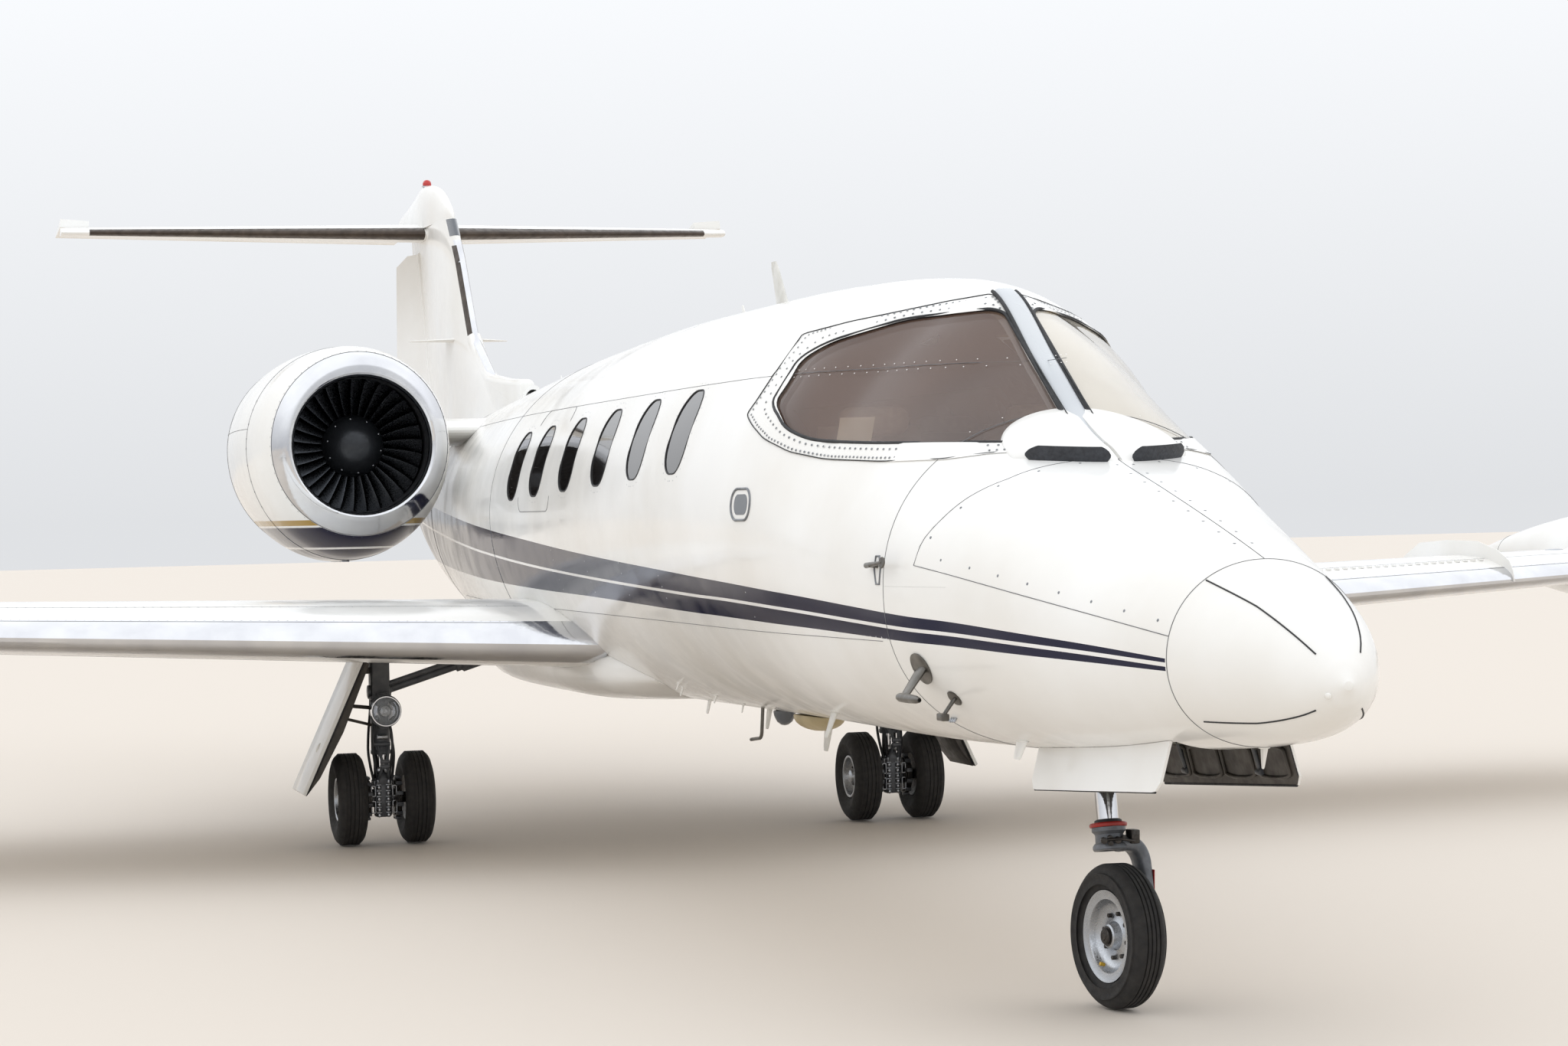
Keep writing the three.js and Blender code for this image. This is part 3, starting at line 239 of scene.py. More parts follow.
def corner(a, b, c, radius, steps):
    """Points round the corner at b, between the ways to a and to c."""
    reach = min(radius, (a - b).length * 0.45, (c - b).length * 0.45)
    p, q = b + (a - b).normalized() * reach, b + (c - b).normalized() * reach
    return [p * (1 - t) ** 2 + b * 2 * t * (1 - t) + q * t * t for t in even(0, 1, steps)]


def bent(points, radius, steps=8):
    """A path with its corners rounded off."""
    points = [Vector(p) for p in points]
    path = [points[0]]
    for abc in zip(points, points[1:], points[2:]):
        path += corner(*abc, radius, steps)
    return [*path, points[-1]]


def softened(points, radius):
    """A polygon with its corners rounded off, as (a, b) pairs."""
    flat = [Vector((*p, 0)) for p in points]
    rings = (corner(a, b, c, radius, 5) for a, b, c in zip(flat[-1:] + flat, flat, flat[1:] + flat[:1]))
    return [(p.x, p.y) for ring in rings for p in ring]


def studs(name, spots, radius, height):
    """Small domed heads of seven sides, each at a (point, outward direction) spot."""
    verts, faces = [], []
    for point, way in spots:
        way = Vector(way).normalized()
        side = way.orthogonal().normalized()
        other = way.cross(side)
        first = len(verts)
        for size, lift in ((1.0, -0.3), (0.95, 0.45), (0.5, 1.0)):
            for t in turns(7):
                out = (side * cos(t) + other * sin(t)) * radius * size
                verts.append(tuple(Vector(point) + out + way * height * lift))
        for level in (first, first + 7):
            for k in range(7):
                n = (k + 1) % 7
                faces.append((level + k, level + n, level + 7 + n, level + 7 + k))
        faces.append(tuple(first + 14 + k for k in range(7)))
        faces.append(tuple(first + 6 - k for k in range(7)))
    mesh = bpy.data.meshes.new(name)
    mesh.from_pydata(verts, [], faces)
    return smooth(add(name, mesh), 50)


def carve(obj, tools, how="DIFFERENCE", use_self=False):
    """Cuts an object with closed tools, which are used up; use_self where its own parts overlap."""
    tool = join("tool", tools) if len(tools) > 1 else tools[0]
    modify(obj, "BOOLEAN", object=tool, operation=how, solver="EXACT", use_self=use_self)
    bpy.data.objects.remove(tool)
    return obj


def kept(obj, *tools):
    """Keeps only what lies within a closed tool."""
    return carve(obj, tools, "INTERSECT")


def joined(obj, *tools):
    """Grows a closed tool onto an object."""
    return carve(obj, tools, "UNION")


# Materials.
def linear(code):
    out = []
    for k in (1, 3, 5):
        c = int(code[k : k + 2], 16) / 255
        out.append(c / 12.92 if c <= 0.04045 else ((c + 0.055) / 1.055) ** 2.4)
    return (*out, 1.0)


def node(tree, kind, inputs=(), **settings):
    """Adds one node with its settings; inputs maps a socket to a value, a colour code or a socket to link."""
    new = tree.nodes.new("ShaderNode" + kind)
    for key, value in settings.items():
        setattr(new, key, value)
    for key, value in dict(inputs).items():
        if isinstance(value, bpy.types.NodeSocket):
            tree.links.new(value, new.inputs[key])
        else:
            new.inputs[key].default_value = linear(value) if isinstance(value, str) else value
    return new


def material(name, colour, rough, metallic=0.0, **sockets):
    """A new material; sockets are settings of the shader, with spaces as underscores."""
    made = bpy.data.materials.new(name)
    made.use_nodes = True
    tree = made.node_tree
    shader = tree.nodes["Principled BSDF"]
    settings = {"Base_Color": linear(colour), "Roughness": rough, "Metallic": metallic, **sockets}
    for key, value in settings.items():
        shader.inputs[key.replace("_", " ")].default_value = value
    return made, tree, shader, node(tree, "TexCoord").outputs["Object"]


def mottle(tree, where, scale, low, high, detail=3.0):
    """Two values mixed by soft noise of the given scale, in features per metre."""
    noise = node(tree, "TexNoise", {"Vector": where, "Scale": scale, "Detail": detail}).outputs["Fac"]
    span = {"Value": noise, "From Min": 0.35, "From Max": 0.65, "To Min": low, "To Max": high}
    return node(tree, "MapRange", span).outputs["Result"]


def tint(tree, factor, first, second):
    """A colour between two others, each a hex code or a socket."""
    return node(tree, "Mix", {"Factor": factor, 6: first, 7: second}, data_type="RGBA").outputs[2]


def bump(tree, shader, height, distance, strength=1.0):
    made = node(tree, "Bump", {"Height": height, "Distance": distance, "Strength": strength})
    tree.links.new(made.outputs["Normal"], shader.inputs["Normal"])


def maths(tree, operation, a, b=0.0):
    return node(tree, "Math", {0: a, 1: b}, operation=operation).outputs[0]


def ramp_of(tree, value, rows):
    """A smooth curve of one value against another, from (at, value) rows in metres."""
    first, last = rows[0][0], rows[-1][0]
    share = maths(tree, "DIVIDE", maths(tree, "SUBTRACT", value, first), last - first)
    curve = node(tree, "FloatCurve", {"Value": share})
    line = curve.mapping.curves[0]
    while len(line.points) > 2:
        line.points.remove(line.points[0])
    line.points[0].location = (0, rows[0][1])
    line.points[1].location = (1, rows[-1][1])
    for at, out in rows[1:-1]:
        line.points.new((at - first) / (last - first), out)
    curve.mapping.extend = "EXTRAPOLATED"
    curve.mapping.use_clip = False
    curve.mapping.update()
    return curve.outputs[0]


# The fuselage: station, half width, top, height of greatest width, bottom, fullness above and below.
FUSELAGE = [
    (0, 12, 1062, 1050, 1038, 2.0, 2.0),
    (30, 62, 1120, 1052, 988, 2.0, 2.0),
    (110, 135, 1205, 1060, 935, 2.0, 2.0),
    (260, 212, 1290, 1080, 892, 2.0, 2.0),
    (500, 292, 1370, 1105, 862, 2.05, 2.1),
    (800, 368, 1459, 1140, 836, 2.1, 2.2),
    (1190, 472, 1566, 1180, 808, 2.18, 2.3),
    (1560, 552, 1664, 1225, 785, 2.4, 2.3),
    (1760, 612, 1735, 1255, 775, 2.3, 2.3),
    (2140, 668, 1980, 1330, 762, 1.78, 2.25),
    (2520, 722, 2229, 1410, 752, 1.5, 2.2),
    (2900, 775, 2300, 1470, 746, 1.9, 2.15),
    (3400, 806, 2330, 1510, 742, 2.0, 2.1),
    (4200, 815, 2345, 1530, 735, 2.0, 2.05),
    (5400, 815, 2342, 1530, 718, 2.0, 2.0),
    (6800, 812, 2300, 1525, 702, 2.0, 2.0),
    (7600, 792, 2262, 1525, 706, 2.0, 2.0),
    (8500, 740, 2215, 1535, 740, 2.0, 2.0),
    (9500, 660, 2160, 1560, 835, 2.0, 2.0),
    (10400, 575, 2105, 1600, 960, 2.0, 2.0),
    (11400, 452, 2040, 1665, 1150, 2.0, 2.0),
    (12400, 300, 1965, 1730, 1385, 2.0, 2.0),
    (13100, 165, 1900, 1760, 1565, 2.0, 2.0),
    (13450, 60, 1850, 1780, 1690, 2.0, 2.0),
]
CONE_END, NOSE_END, BAY_END, SILL, CABIN_END, TAIL_END = 500, 1560, 1900, 1290, 7300, 13450


def column(table, k, s):
    """One column of a table at s, by a smooth curve through its rows."""
    i = 0
    while i < len(table) - 2 and table[i + 1][0] <= s:
        i += 1

    def rise(j):
        return (table[j + 1][k] - table[j][k]) / (table[j + 1][0] - table[j][0])

    def slope(j):
        if j <= 0 or j >= len(table) - 1:
            return rise(i)
        a, b = rise(j - 1), rise(j)
        return 2 * a * b / (a + b) if a * b > 0 else 0.0

    h = table[i + 1][0] - table[i][0]
    t = min(1.0, max(0.0, (s - table[i][0]) / h))
    ease = 3 * t**2 - 2 * t**3
    ends = (1 - ease) * table[i][k] + ease * table[i + 1][k]
    return ends + (t**3 - 2 * t**2 + t) * slope(i) * h + (t**3 - t**2) * slope(i + 1) * h


GRID = np.arange(0, TAIL_END + 1, 10.0)
SIZES = np.array([[column(FUSELAGE, k, s) for s in GRID] for k in range(1, 7)])
SIZE_ROWS = [tuple(row) for row in SIZES.T.tolist()]


def hull_sizes(s):
    """Half width, top, height of greatest width, bottom and the two fullnesses at a station."""
    at = min(max(s, 0.0), TAIL_END) / 10
    i = min(int(at), len(SIZE_ROWS) - 2)
    return [a + (b - a) * (at - i) for a, b in zip(SIZE_ROWS[i], SIZE_ROWS[i + 1])]


def hull_ring(s, inset=0.0, around=160):
    """Points round the fuselage at a station, moved inwards by inset millimetres."""
    hw, top, mid, bottom, n_top, n_bottom = hull_sizes(s)
    ring = []
    for t in turns(around):
        c, d = cos(t), sin(t)
        half, n = (top - mid, n_top) if d >= 0 else (mid - bottom, n_bottom)
        ring.append(spot((hw - inset) * boxy(c, 2 / n), s, mid + (half - inset) * boxy(d, 2 / n)))
    return ring


def level_of(s, z):
    """Half width at a station, how far a height lies from the widest one, as a share, and the fullness."""
    hw, top, mid, bottom, n_top, n_bottom = hull_sizes(s)
    return (hw, (z - mid) / (top - mid), n_top) if z >= mid else (hw, (mid - z) / (mid - bottom), n_bottom)


def half_width(s, z):
    """Half width of the fuselage at a height, in millimetres; 0 above or below it."""
    hw, share, n = level_of(s, z)
    return 0.0 if share >= 1 else hw * (1 - share**n) ** (1 / n)


def roof(s, x, under=False):
    """Height of the upper or lower surface above a point of the half width."""
    hw, top, mid, bottom, n_top, n_bottom = hull_sizes(s)
    end, n = (bottom, n_bottom) if under else (top, n_top)
    return mid + (end - mid) * (1 - min(1.0, abs(x) / hw) ** n) ** (1 / n)


def depth_of(points):
    """1 on the fuselage surface, less inside, for an array of points in metres."""
    s, z = (points[:, 1] - NOSE) / MM, points[:, 2] / MM
    hw, top, mid, bottom, n_top, n_bottom = (np.interp(s, GRID, row) for row in SIZES)
    upper = z >= mid
    n = np.where(upper, n_top, n_bottom)
    share = np.where(upper, (z - mid) / (top - mid), (mid - z) / (mid - bottom))
    return (np.abs(points[:, 0] / MM) / hw) ** n + np.abs(share) ** n


def skin_normals(points):
    """Outward directions of the fuselage surface, by small steps."""
    here = depth_of(points)
    away = np.stack([depth_of(points + step) - here for step in np.eye(3) * 0.002], axis=1)
    return away / np.linalg.norm(away, axis=1, keepdims=True)


def skin_normal(p):
    """Outward direction of the fuselage surface at one point."""

    def depth(x=0.0, y=0.0, z=0.0):
        hw, share, n = level_of((p.y + y - NOSE) / MM, (p.z + z) / MM)
        return (abs(p.x + x) / MM / hw) ** n + abs(share) ** n

    here = depth()
    return Vector([depth(**{k: 0.002}) - here for k in "xyz"]).normalized()


def raised(x, s, z, lift=0.0):
    """A point of the fuselage surface, raised by lift millimetres."""
    p = spot(x, s, z)
    return p + skin_normal(p) * lift * MM


def flank(s, z, side=-1, lift=0.0):
    """A point on the side of the fuselage."""
    return raised(side * half_width(s, z), s, z, lift)


def crown(s, x, lift=0.0, under=False):
    """A point on its top or its belly."""
    return raised(x, s, roof(s, x, under), lift)


def front(x, z, lift=0.0):
    """The point of the upper nose that shows at x, z from straight ahead."""
    low, high = 300.0, 3600.0
    for _ in range(22):
        s = (low + high) / 2
        low, high = (low, s) if half_width(s, z) > abs(x) else (s, high)
    return raised(x, low, z, lift)


def shade_as_skin(obj):
    """Faces on the fuselage surface are shaded as its smooth curve; cut edges stay crisp."""
    mesh = smooth(obj).data
    centres = read(mesh.polygons, "center")
    facing = (read(mesh.polygons, "normal") * skin_normals(centres)).sum(axis=1)
    on_skin = (depth_of(centres) > 0.95) & (facing > 0.9)
    own = skin_normals(read(mesh.vertices, "co"))[read(mesh.loops, "vertex_index", 1, int)]
    face_of = np.repeat(np.arange(len(mesh.polygons)), read(mesh.polygons, "loop_total", 1, int))
    corners = np.where(on_skin[face_of][:, None], own, read(mesh.corner_normals, "vector"))
    mesh.normals_split_custom_set(corners.tolist())
    return obj


def stations(start, end, gap):
    """Stations from start to end, closer together where the nose curves most."""
    out, s = [], start
    while s < end - 1:
        out.append(s)
        s += max(6, min(gap, 0.12 * s)) if s < 600 else gap
    return [*out, end]


def hull_wall(name, start, end, thick, outer=0.0, gap=70):
    """A closed wall of the fuselage between two stations."""
    along = stations(start, end, gap)
    rows = [hull_ring(s, outer) for s in along] + [hull_ring(s, outer + thick) for s in reversed(along)]
    return lattice(name, rows, ring_way=True)


def solid_hull(start=0, end=TAIL_END, outer=0.0):
    return solid("hull", [hull_ring(s, outer) for s in stations(start, end, 90)])


def plate(name, start, end, lift, thick, tools, gap=40):
    """A piece of sheet that follows the fuselage, raised by lift, within closed tools."""
    return shade_as_skin(carve(hull_wall(name, start, end, thick, -lift, gap), tools, "INTERSECT"))


def sweep(name, frames, section):
    """Carries a section of (across, up) pairs in millimetres along (point, across, up) frames."""
    return smooth(solid(name, [[p + a * (u * MM) + b * (v * MM) for u, v in section] for p, a, b in frames]), 40)


def grown(points, by):
    """An outline moved outwards from its middle."""
    cx, cz = sum(p[0] for p in points) / len(points), sum(p[1] for p in points) / len(points)
    sizes = [1 + by / hypot(x - cx, z - cz) for x, z in points]
    return [(cx + (x - cx) * k, cz + (z - cz) * k) for (x, z), k in zip(points, sizes)]


def scaled(points, side=1):
    """Millimetres to metres, on the port side (1) or mirrored to starboard (-1)."""
    return [(side * x * MM, z * MM) for x, z in points]


def rounded(low, high, radius, steps=10):
    """A rectangle with round corners, from two opposite corners, as (a, b) pairs."""
    out = []
    for a, b, start in ((1, 0, -90), (1, 1, 0), (0, 1, 90), (0, 0, 180)):
        ca = high[0] - radius if a else low[0] + radius
        cb = high[1] - radius if b else low[1] + radius
        out += [(ca + radius * cos(t), cb + radius * sin(t)) for t in map(radians, even(start, start + 90, steps))]
    return out


def spaced(points, gap, closed=True):
    """Points at an even distance along a path."""
    points = [Vector(p) for p in points]
    if closed:
        points.append(points[0])
    out, left = [], 0.0
    for a, b in zip(points, points[1:]):
        length = (b - a).length
        while left <= length and length > 0:
            out.append(a.lerp(b, left / length))
            left += gap
        left -= length
    return out


WINDOWS = [
    # station, half width, half height, height of the centre
    (3871, 130, 150, 1818),
    (4466, 130, 150, 1806),
    (5070, 130, 150, 1790),
    (5675, 130, 150, 1775),
    (6275, 130, 150, 1760),
    (6770, 122, 150, 1747),
]
WINDSHIELD = [
    # x, z of the port pane from straight ahead, from the bottom of the centre post
    (48, 1740), (48, 2150), (80, 2166), (290, 2150), (490, 2089), (567, 2036),
    (672, 1885), (676, 1800), (636, 1758), (536, 1734), (284, 1722), (110, 1716),
]
SURROUND = [
    # the outer edge of the raised frame round a pane, in the same way
    (42, 1700), (42, 2221), (157, 2204), (301, 2176), (415, 2154), (504, 2128), (625, 1988), (693, 1885),
    (711, 1854), (717, 1815), (717, 1762), (686, 1720), (620, 1689), (547, 1674), (442, 1674), (330, 1688),
]
DOOR = {"s0": 3180, "s1": 3800, "z0": 960, "z1": 2140, "split": 1500, "r": 28}

# The camera of the photograph: a long lens at standing height, ahead of the starboard wing.
camera = add("camera", bpy.data.cameras.new("camera"))
bpy.context.scene.camera = camera
camera.data.sensor_width = 36
camera.data.lens = 76.17
camera.data.clip_start, camera.data.clip_end = 0.1, 500
yaw, pitch, roll = map(radians, (16.03, -0.26, -1.26))
ahead = Vector((sin(yaw) * cos(pitch), cos(yaw) * cos(pitch), sin(pitch)))
level = Vector((cos(yaw), -sin(yaw), 0))
upright = level.cross(ahead)
right = level * cos(roll) + upright * sin(roll)
up = upright * cos(roll) - level * sin(roll)
eye = (-3.718, -15.164, 1.536)
camera.matrix_world = Matrix([[right[k], up[k], -ahead[k], eye[k]] for k in range(3)] + [[0, 0, 0, 1]])

# A pale floor and an overcast, soft light, shown without a film curve so that white stays white.
bpy.context.scene.view_settings.view_transform = "Standard"
floor = primitive("floor", "plane", size=160)
floor.location = (0, 20, -0.004)
floor.data.materials.append(material("pale_floor", "#d3cabf", 0.8)[0])

world = bpy.data.worlds.new("sky")
bpy.context.scene.world = world
world.use_nodes = True
sky = world.node_tree
height = node(sky, "SeparateXYZ", {0: node(sky, "TexCoord").outputs["Generated"]}).outputs["Z"]
rise = {"Value": height, "From Min": 0.0, "From Max": 0.5, "To Min": 0.85, "To Max": 1.6}
sky.nodes["Background"].inputs["Color"].default_value = linear("#f1f3f6")
sky.links.new(node(sky, "MapRange", rise).outputs["Result"], sky.nodes["Background"].inputs["Strength"])


# Finishes. Colours are sRGB; patterns are scaled in features per metre.
def gloss_paint(name):
    """White polyurethane enamel sprayed on skin: hard wet gloss, slight waves, a film of road grime."""
    rough = 0.14
    coat = {"Specular_IOR_Level": 0.22, "Coat_Weight": 0.04, "Coat_Roughness": 0.05}
    made, tree, shader, where = material(name, "#f0f0ee", rough, **coat)
    film = tint(tree, mottle(tree, where, 1.4, 0.0, 1.0, 5), "#f0f0ee", "#e7e5e0")
    tree.links.new(film, shader.inputs["Base Color"])
    tree.links.new(mottle(tree, where, 6.0, rough - 0.05, rough + 0.08), shader.inputs["Roughness"])
    bump(tree, shader, mottle(tree, where, 2.4, 0.0, 1.0, 1), 0.0012, 0.5)
    return made, tree, shader, node(tree, "SeparateXYZ", {"Vector": where}).outputs, film


def between(tree, value, low, high):
    """1 where a value lies between two others, else 0."""
    above = maths(tree, "GREATER_THAN", value, low)
    return maths(tree, "MULTIPLY", above, maths(tree, "LESS_THAN", value, high))


NAVY, GOLD_BAND = "#0b1030", "#a98b4a"
# Heights of the navy stripe's edges and of the thin white line in it, by station.
STRIPE_TOP = [
    (488, 1109), (1195, 1165), (1960, 1213), (3138, 1280), (3703, 1302), (5462, 1371), (6672, 1431), (9360, 1565)
]
STRIPE_LINE = [
    (488, 1093), (1195, 1134), (1969, 1170), (3202, 1221), (3800, 1232), (5964, 1290), (7280, 1344), (9360, 1440)
]
STRIPE_LOW = [
    (488, 1076), (1203, 1103), (1988, 1130), (3295, 1160), (3916, 1167), (5469, 1192), (6530, 1205), (9360, 1264)
]

white = gloss_paint("white_enamel")[0]

hull_white, tree, shader, place, film = gloss_paint("white_enamel_with_navy_stripe")
line, low, top = (ramp_of(tree, place["Y"], metres(rows)) for rows in (STRIPE_LINE, STRIPE_LOW, STRIPE_TOP))
stripe = between(tree, place["Z"], low, top)
off_line = maths(tree, "ABSOLUTE", maths(tree, "SUBTRACT", place["Z"], line))
stripe = maths(tree, "MULTIPLY", stripe, maths(tree, "GREATER_THAN", off_line, 0.0055))
start = maths(tree, "GREATER_THAN", place["Y"], y_at(506))
tree.links.new(tint(tree, maths(tree, "MULTIPLY", stripe, start), film, NAVY), shader.inputs["Base Color"])

cowl_white, tree, shader, place, film = gloss_paint("white_enamel_with_engine_bands")
navy = maths(tree, "ADD", between(tree, place["Z"], 1.39, 1.49), maths(tree, "LESS_THAN", place["Z"], 1.38))
bands = tint(tree, between(tree, place["Z"], 1.50, 1.527), tint(tree, navy, film, NAVY), GOLD_BAND)
tree.links.new(bands, shader.inputs["Base Color"])


def bare_metal(name, colour, rough, grain, stain):
    """Worked metal: the grain of polishing or machining shows as fine marks in the gloss."""
    made, tree, shader, where = material(name, colour, rough, 1.0)
    tree.links.new(mottle(tree, where, grain, rough * 0.7, rough * 1.5), shader.inputs["Roughness"])
    tree.links.new(tint(tree, mottle(tree, where, 5.0, 0.0, 1.0), colour, stain), shader.inputs["Base Color"])
    bump(tree, shader, mottle(tree, where, grain, 0.0, 1.0), 0.0002, 0.4)
    return made


# Polished aluminium sheet: mirror-like, clouded where bugs and rain have dulled it.
polished = bare_metal("polished_aluminium", "#d9dadc", 0.12, 60, "#cbccd0")
# Hard chrome on the sliding tubes of the struts.
chrome = bare_metal("hard_chrome", "#dcdde0", 0.07, 40, "#cfd0d4")
# Cast aluminium wheel halves, machined and clear-coated.
alloy = bare_metal("machined_aluminium", "#bcbfc3", 0.3, 220, "#a4a7ac")
# Titanium fan blades, dark against the duct.
titanium = bare_metal("forged_titanium", "#53565b", 0.3, 160, "#46494e")
# Stainless sheet round the hot exhaust, browned by heat.
hot_steel = bare_metal("heat_browned_stainless", "#8a7a6a", 0.32, 120, "#6e6154")
# Carbon and steel of the brake discs.
brake_steel = bare_metal("brake_disc_steel", "#55524f", 0.42, 180, "#423f3d")


def dull(name, colour, other, rough, grain, depth=0.0004, **sockets):
    """Moulded or painted surfaces with a fine texture of their own."""
    made, tree, shader, where = material(name, colour, rough, **sockets)
    tree.links.new(tint(tree, mottle(tree, where, grain * 0.15, 0.0, 1.0), colour, other), shader.inputs["Base Color"])
    tree.links.new(mottle(tree, where, grain * 0.3, rough - 0.08, rough + 0.08), shader.inputs["Roughness"])
    bump(tree, shader, mottle(tree, where, grain, 0.0, 1.0), depth, 0.5)
    return made


# Grey chip-resistant paint on the steel legs.
gear_paint = dull("grey_gear_enamel", "#55585c", "#45474b", 0.38, 120)
# Grey anodised casting of the nose fork.
fork_grey = dull("grey_anodised_casting", "#6d7075", "#5a5d61", 0.4, 160, Metallic=0.35)
# Carbon-filled tyre rubber, scuffed by the runway; drawn coarser than the real grain so that it shows.
rubber = dull("tyre_rubber", "#1d1c1c", "#2b2927", 0.82, 260, 0.0008)
# Polysulphide and moulded rubber of gaskets and seals.
seal = dull("black_rubber_seal", "#1b1c1e", "#26272a", 0.6, 200)
# Silicone fabric over a wire helix: hoses and conduits.
hose_black = dull("black_sleeved_hose", "#202123", "#303134", 0.55, 300)
# Textured moulded plastic of air outlets and the glare shield.
charcoal = dull("charcoal_moulded_plastic", "#35383e", "#2a2c31", 0.62, 380)
# Wrinkle-finish enamel of the instrument panel.
panel_enamel = dull("black_wrinkle_enamel", "#232427", "#1a1b1d", 0.55, 500)
# Tufted wool carpet: the tufts stand close together, 4 mm apart.
carpet = dull("wool_carpet", "#8d8069", "#6f644f", 0.95, 250, 0.003, Sheen_Weight=0.4)
# Upholstery hide: soft grain about 3 mm across; the darker one is on piping and shells.
hide = dull("cream_hide", "#b9a688", "#a59175", 0.5, 330, 0.0006)
hide_dark = dull("brown_hide", "#7d6a52", "#6b5a45", 0.55, 330, 0.0006)
# Woven wall and ceiling lining.
lining = dull("beige_trim_cloth", "#cdbfa6", "#bfb094", 0.8, 400)
# Zinc chromate primer in the wheel bays.
primer = dull("grey_green_primer", "#a9ab9f", "#94968b", 0.55, 60)
# Enamelled rings, plates and caps in signal colours.
red = dull("red_enamel", "#a3221c", "#84180f", 0.35, 90)
gold = dull("yellow_valve_cap", "#c9a227", "#a8841c", 0.4, 90)
# Bronze-brown erosion strip on leading edges.
brass = dull("bronze_exhaust_edge", "#4a4038", "#3b322b", 0.4, 90, Metallic=0.6)
# Near black inside the inlet duct and the dorsal inlet's bore: painted shade of these deep recesses, not a lining of
# that colour.
duct_painted_shade = dull("duct_interior_painted_shade", "#17181a", "#222326", 0.5, 200)
# Dark hard-anodised spinner.
spinner_grey = dull("grey_anodised_spinner", "#34373b", "#2b2d31", 0.36, 120, Metallic=0.5)
# Dark brown-grey enamel inside the gear doors.
door_brown = dull("brown_grey_enamel", "#4b4640", "#3c3834", 0.5, 90)
# Dials behind glass: dark, with a gloss.
dial_glass = dull("instrument_glass", "#101417", "#171d22", 0.12, 40, 0.0)
# Uncoated board.
tan_card = dull("tan_card", "#f3e2c2", "#e6d3b0", 0.8, 120)
# Enamelled and stainless screw heads, dulled by washing.
screw_grey = dull("weathered_screw_head", "#8b8e92", "#6f7276", 0.45, 150, Metallic=0.5)
# Sealant in the joints of the skin, grey with dirt.
seam_grey = dull("grey_seam_sealant", "#77787a", "#5f6062", 0.7, 200)
# The post between the windshields: alloy in light grey enamel.
post_grey = dull("light_grey_enamel", "#ccd0d3", "#bfc3c7", 0.32, 12, 0.0003, Coat_Weight=0.2)
# Heated masts and probes of nickel-plated brass, stained by heat.
mast_grey = dull("nickel_plated_mast", "#77746f", "#5b5853", 0.36, 60, Metallic=0.8)
# Moulded aerials and glass-fibre fairings, chalked by weather.
aerial_white = dull("off_white_polyurethane", "#dcdbd6", "#cdcbc4", 0.4, 60)
beige_fairing = dull("beige_glass_fibre", "#b5a57f", "#a29370", 0.45, 60)


def clear(name, colour, other, alpha, rough=0.04):
    """Stretched acrylic or glass, seen as a gloss over what lies behind it."""
    gloss = {"IOR": 1.49, "Alpha": alpha, "Coat_Weight": 0.6, "Coat_Roughness": 0.03}
    made, tree, shader, where = material(name, colour, rough, **gloss)
    tree.links.new(tint(tree, mottle(tree, where, 1.1, 0.0, 1.0), colour, other), shader.inputs["Base Color"])
    return made


# Acrylic of the starboard and the port pane, the cabin's darker windows, and the lamps' lenses; the port pane's pale
# cream is a painted reflection of the sky, not a tint.
brown_glass = clear("bronze_tinted_acrylic", "#7b6357", "#5f4c43", 0.42)
painted_sky_reflection_glass = clear("acrylic_with_painted_sky_reflection", "#ece6da", "#cfc6b6", 0.74)
window_glass = clear("dark_tinted_acrylic", "#1e1c1c", "#2b2724", 0.9)
lens_glass = clear("clear_lens_glass", "#cfd6dc", "#b4bbc2", 0.16)
lens_dark = clear("smoked_lens", "#5a5f66", "#43474d", 0.93)
red_lens = clear("red_lens", "#e0301f", "#b8190f", 0.93, 0.08)


def fit(piece, finish, stands_for=(), body="airframe"):
    """Gives a piece its finish, the body it rides on and the nodes it stands for."""
    piece.data.materials.clear()
    piece.data.materials.append(finish)
    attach(piece, body)
    if stands_for:
        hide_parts(*stands_for)
    return piece


def second_finish(piece, finish, chosen):
    """Gives the faces that chosen(centre, normal) picks a second finish."""
    piece.data.materials.append(finish)
    last = len(piece.data.materials) - 1
    for face in piece.data.polygons:
        if chosen(face.center, face.normal):
            face.material_index = last


def both_sides(piece, finish, stands_for=(), body="airframe", second=None):
    """Fits a port piece and its mirror image, on bodies and for nodes whose names take a side."""
    base = piece.name
    for _, side in SIDES:
        here = piece if side == "left" else copy_of(piece, base, MIRROR)
        fit(named(here, base + "_" + side), finish, [n.format(side) for n in stands_for], body.format(side))
        if second:
            second_finish(here, *second)


# Fuselage.
def far_box(x, s, z):
    """A closed cutting block; each argument is a (low, high) pair in millimetres."""
    return block("cutter", spot(x[0], s[0], z[0]), spot(x[1], s[1], z[1]), 0)


def window_outline(window, grow=0.0):
    s, hw, hh, z = window
    return rounded((s - hw - grow, z - hh - grow), (s + hw + grow, z + hh + grow), 105 + grow)


def side_tool(outline, side):
    """A cutter through one side of the fuselage, from an outline of (station, height)."""
    return prism("cutter", metres(outline), "x", *((-1.2, -0.3) if side < 0 else (0.3, 1.2)))


def window_tool(window, side, grow=0.0):
    return side_tool(window_outline(window, grow), side)


def pane_tool(side, grow=0.0, end=3040):
    outline = scaled(softened(grown(WINDSHIELD, grow), 45), side)
    return prism("cutter", outline, "y", y_at(1300), y_at(end))


def door_tool(z0, z1, side=0, ends=0, radius=DOOR["r"]):
    outline = rounded((DOOR["s0"] - side, z0 - ends), (DOOR["s1"] + side, z1 + ends), radius)
    return prism("cutter", metres(outline), "x", 0.2, 1.2)


def inner_face(c, n):
    """Faces of a wall that look towards the cabin's axis, 1.53 m up."""
    return n.x * c.x + n.z * (c.z - 1.53) < 0 and abs(n.y) < 0.9


DOOR_WINDOW = (3490, 130, 130, 1815)
WIDE = (-900, 900)

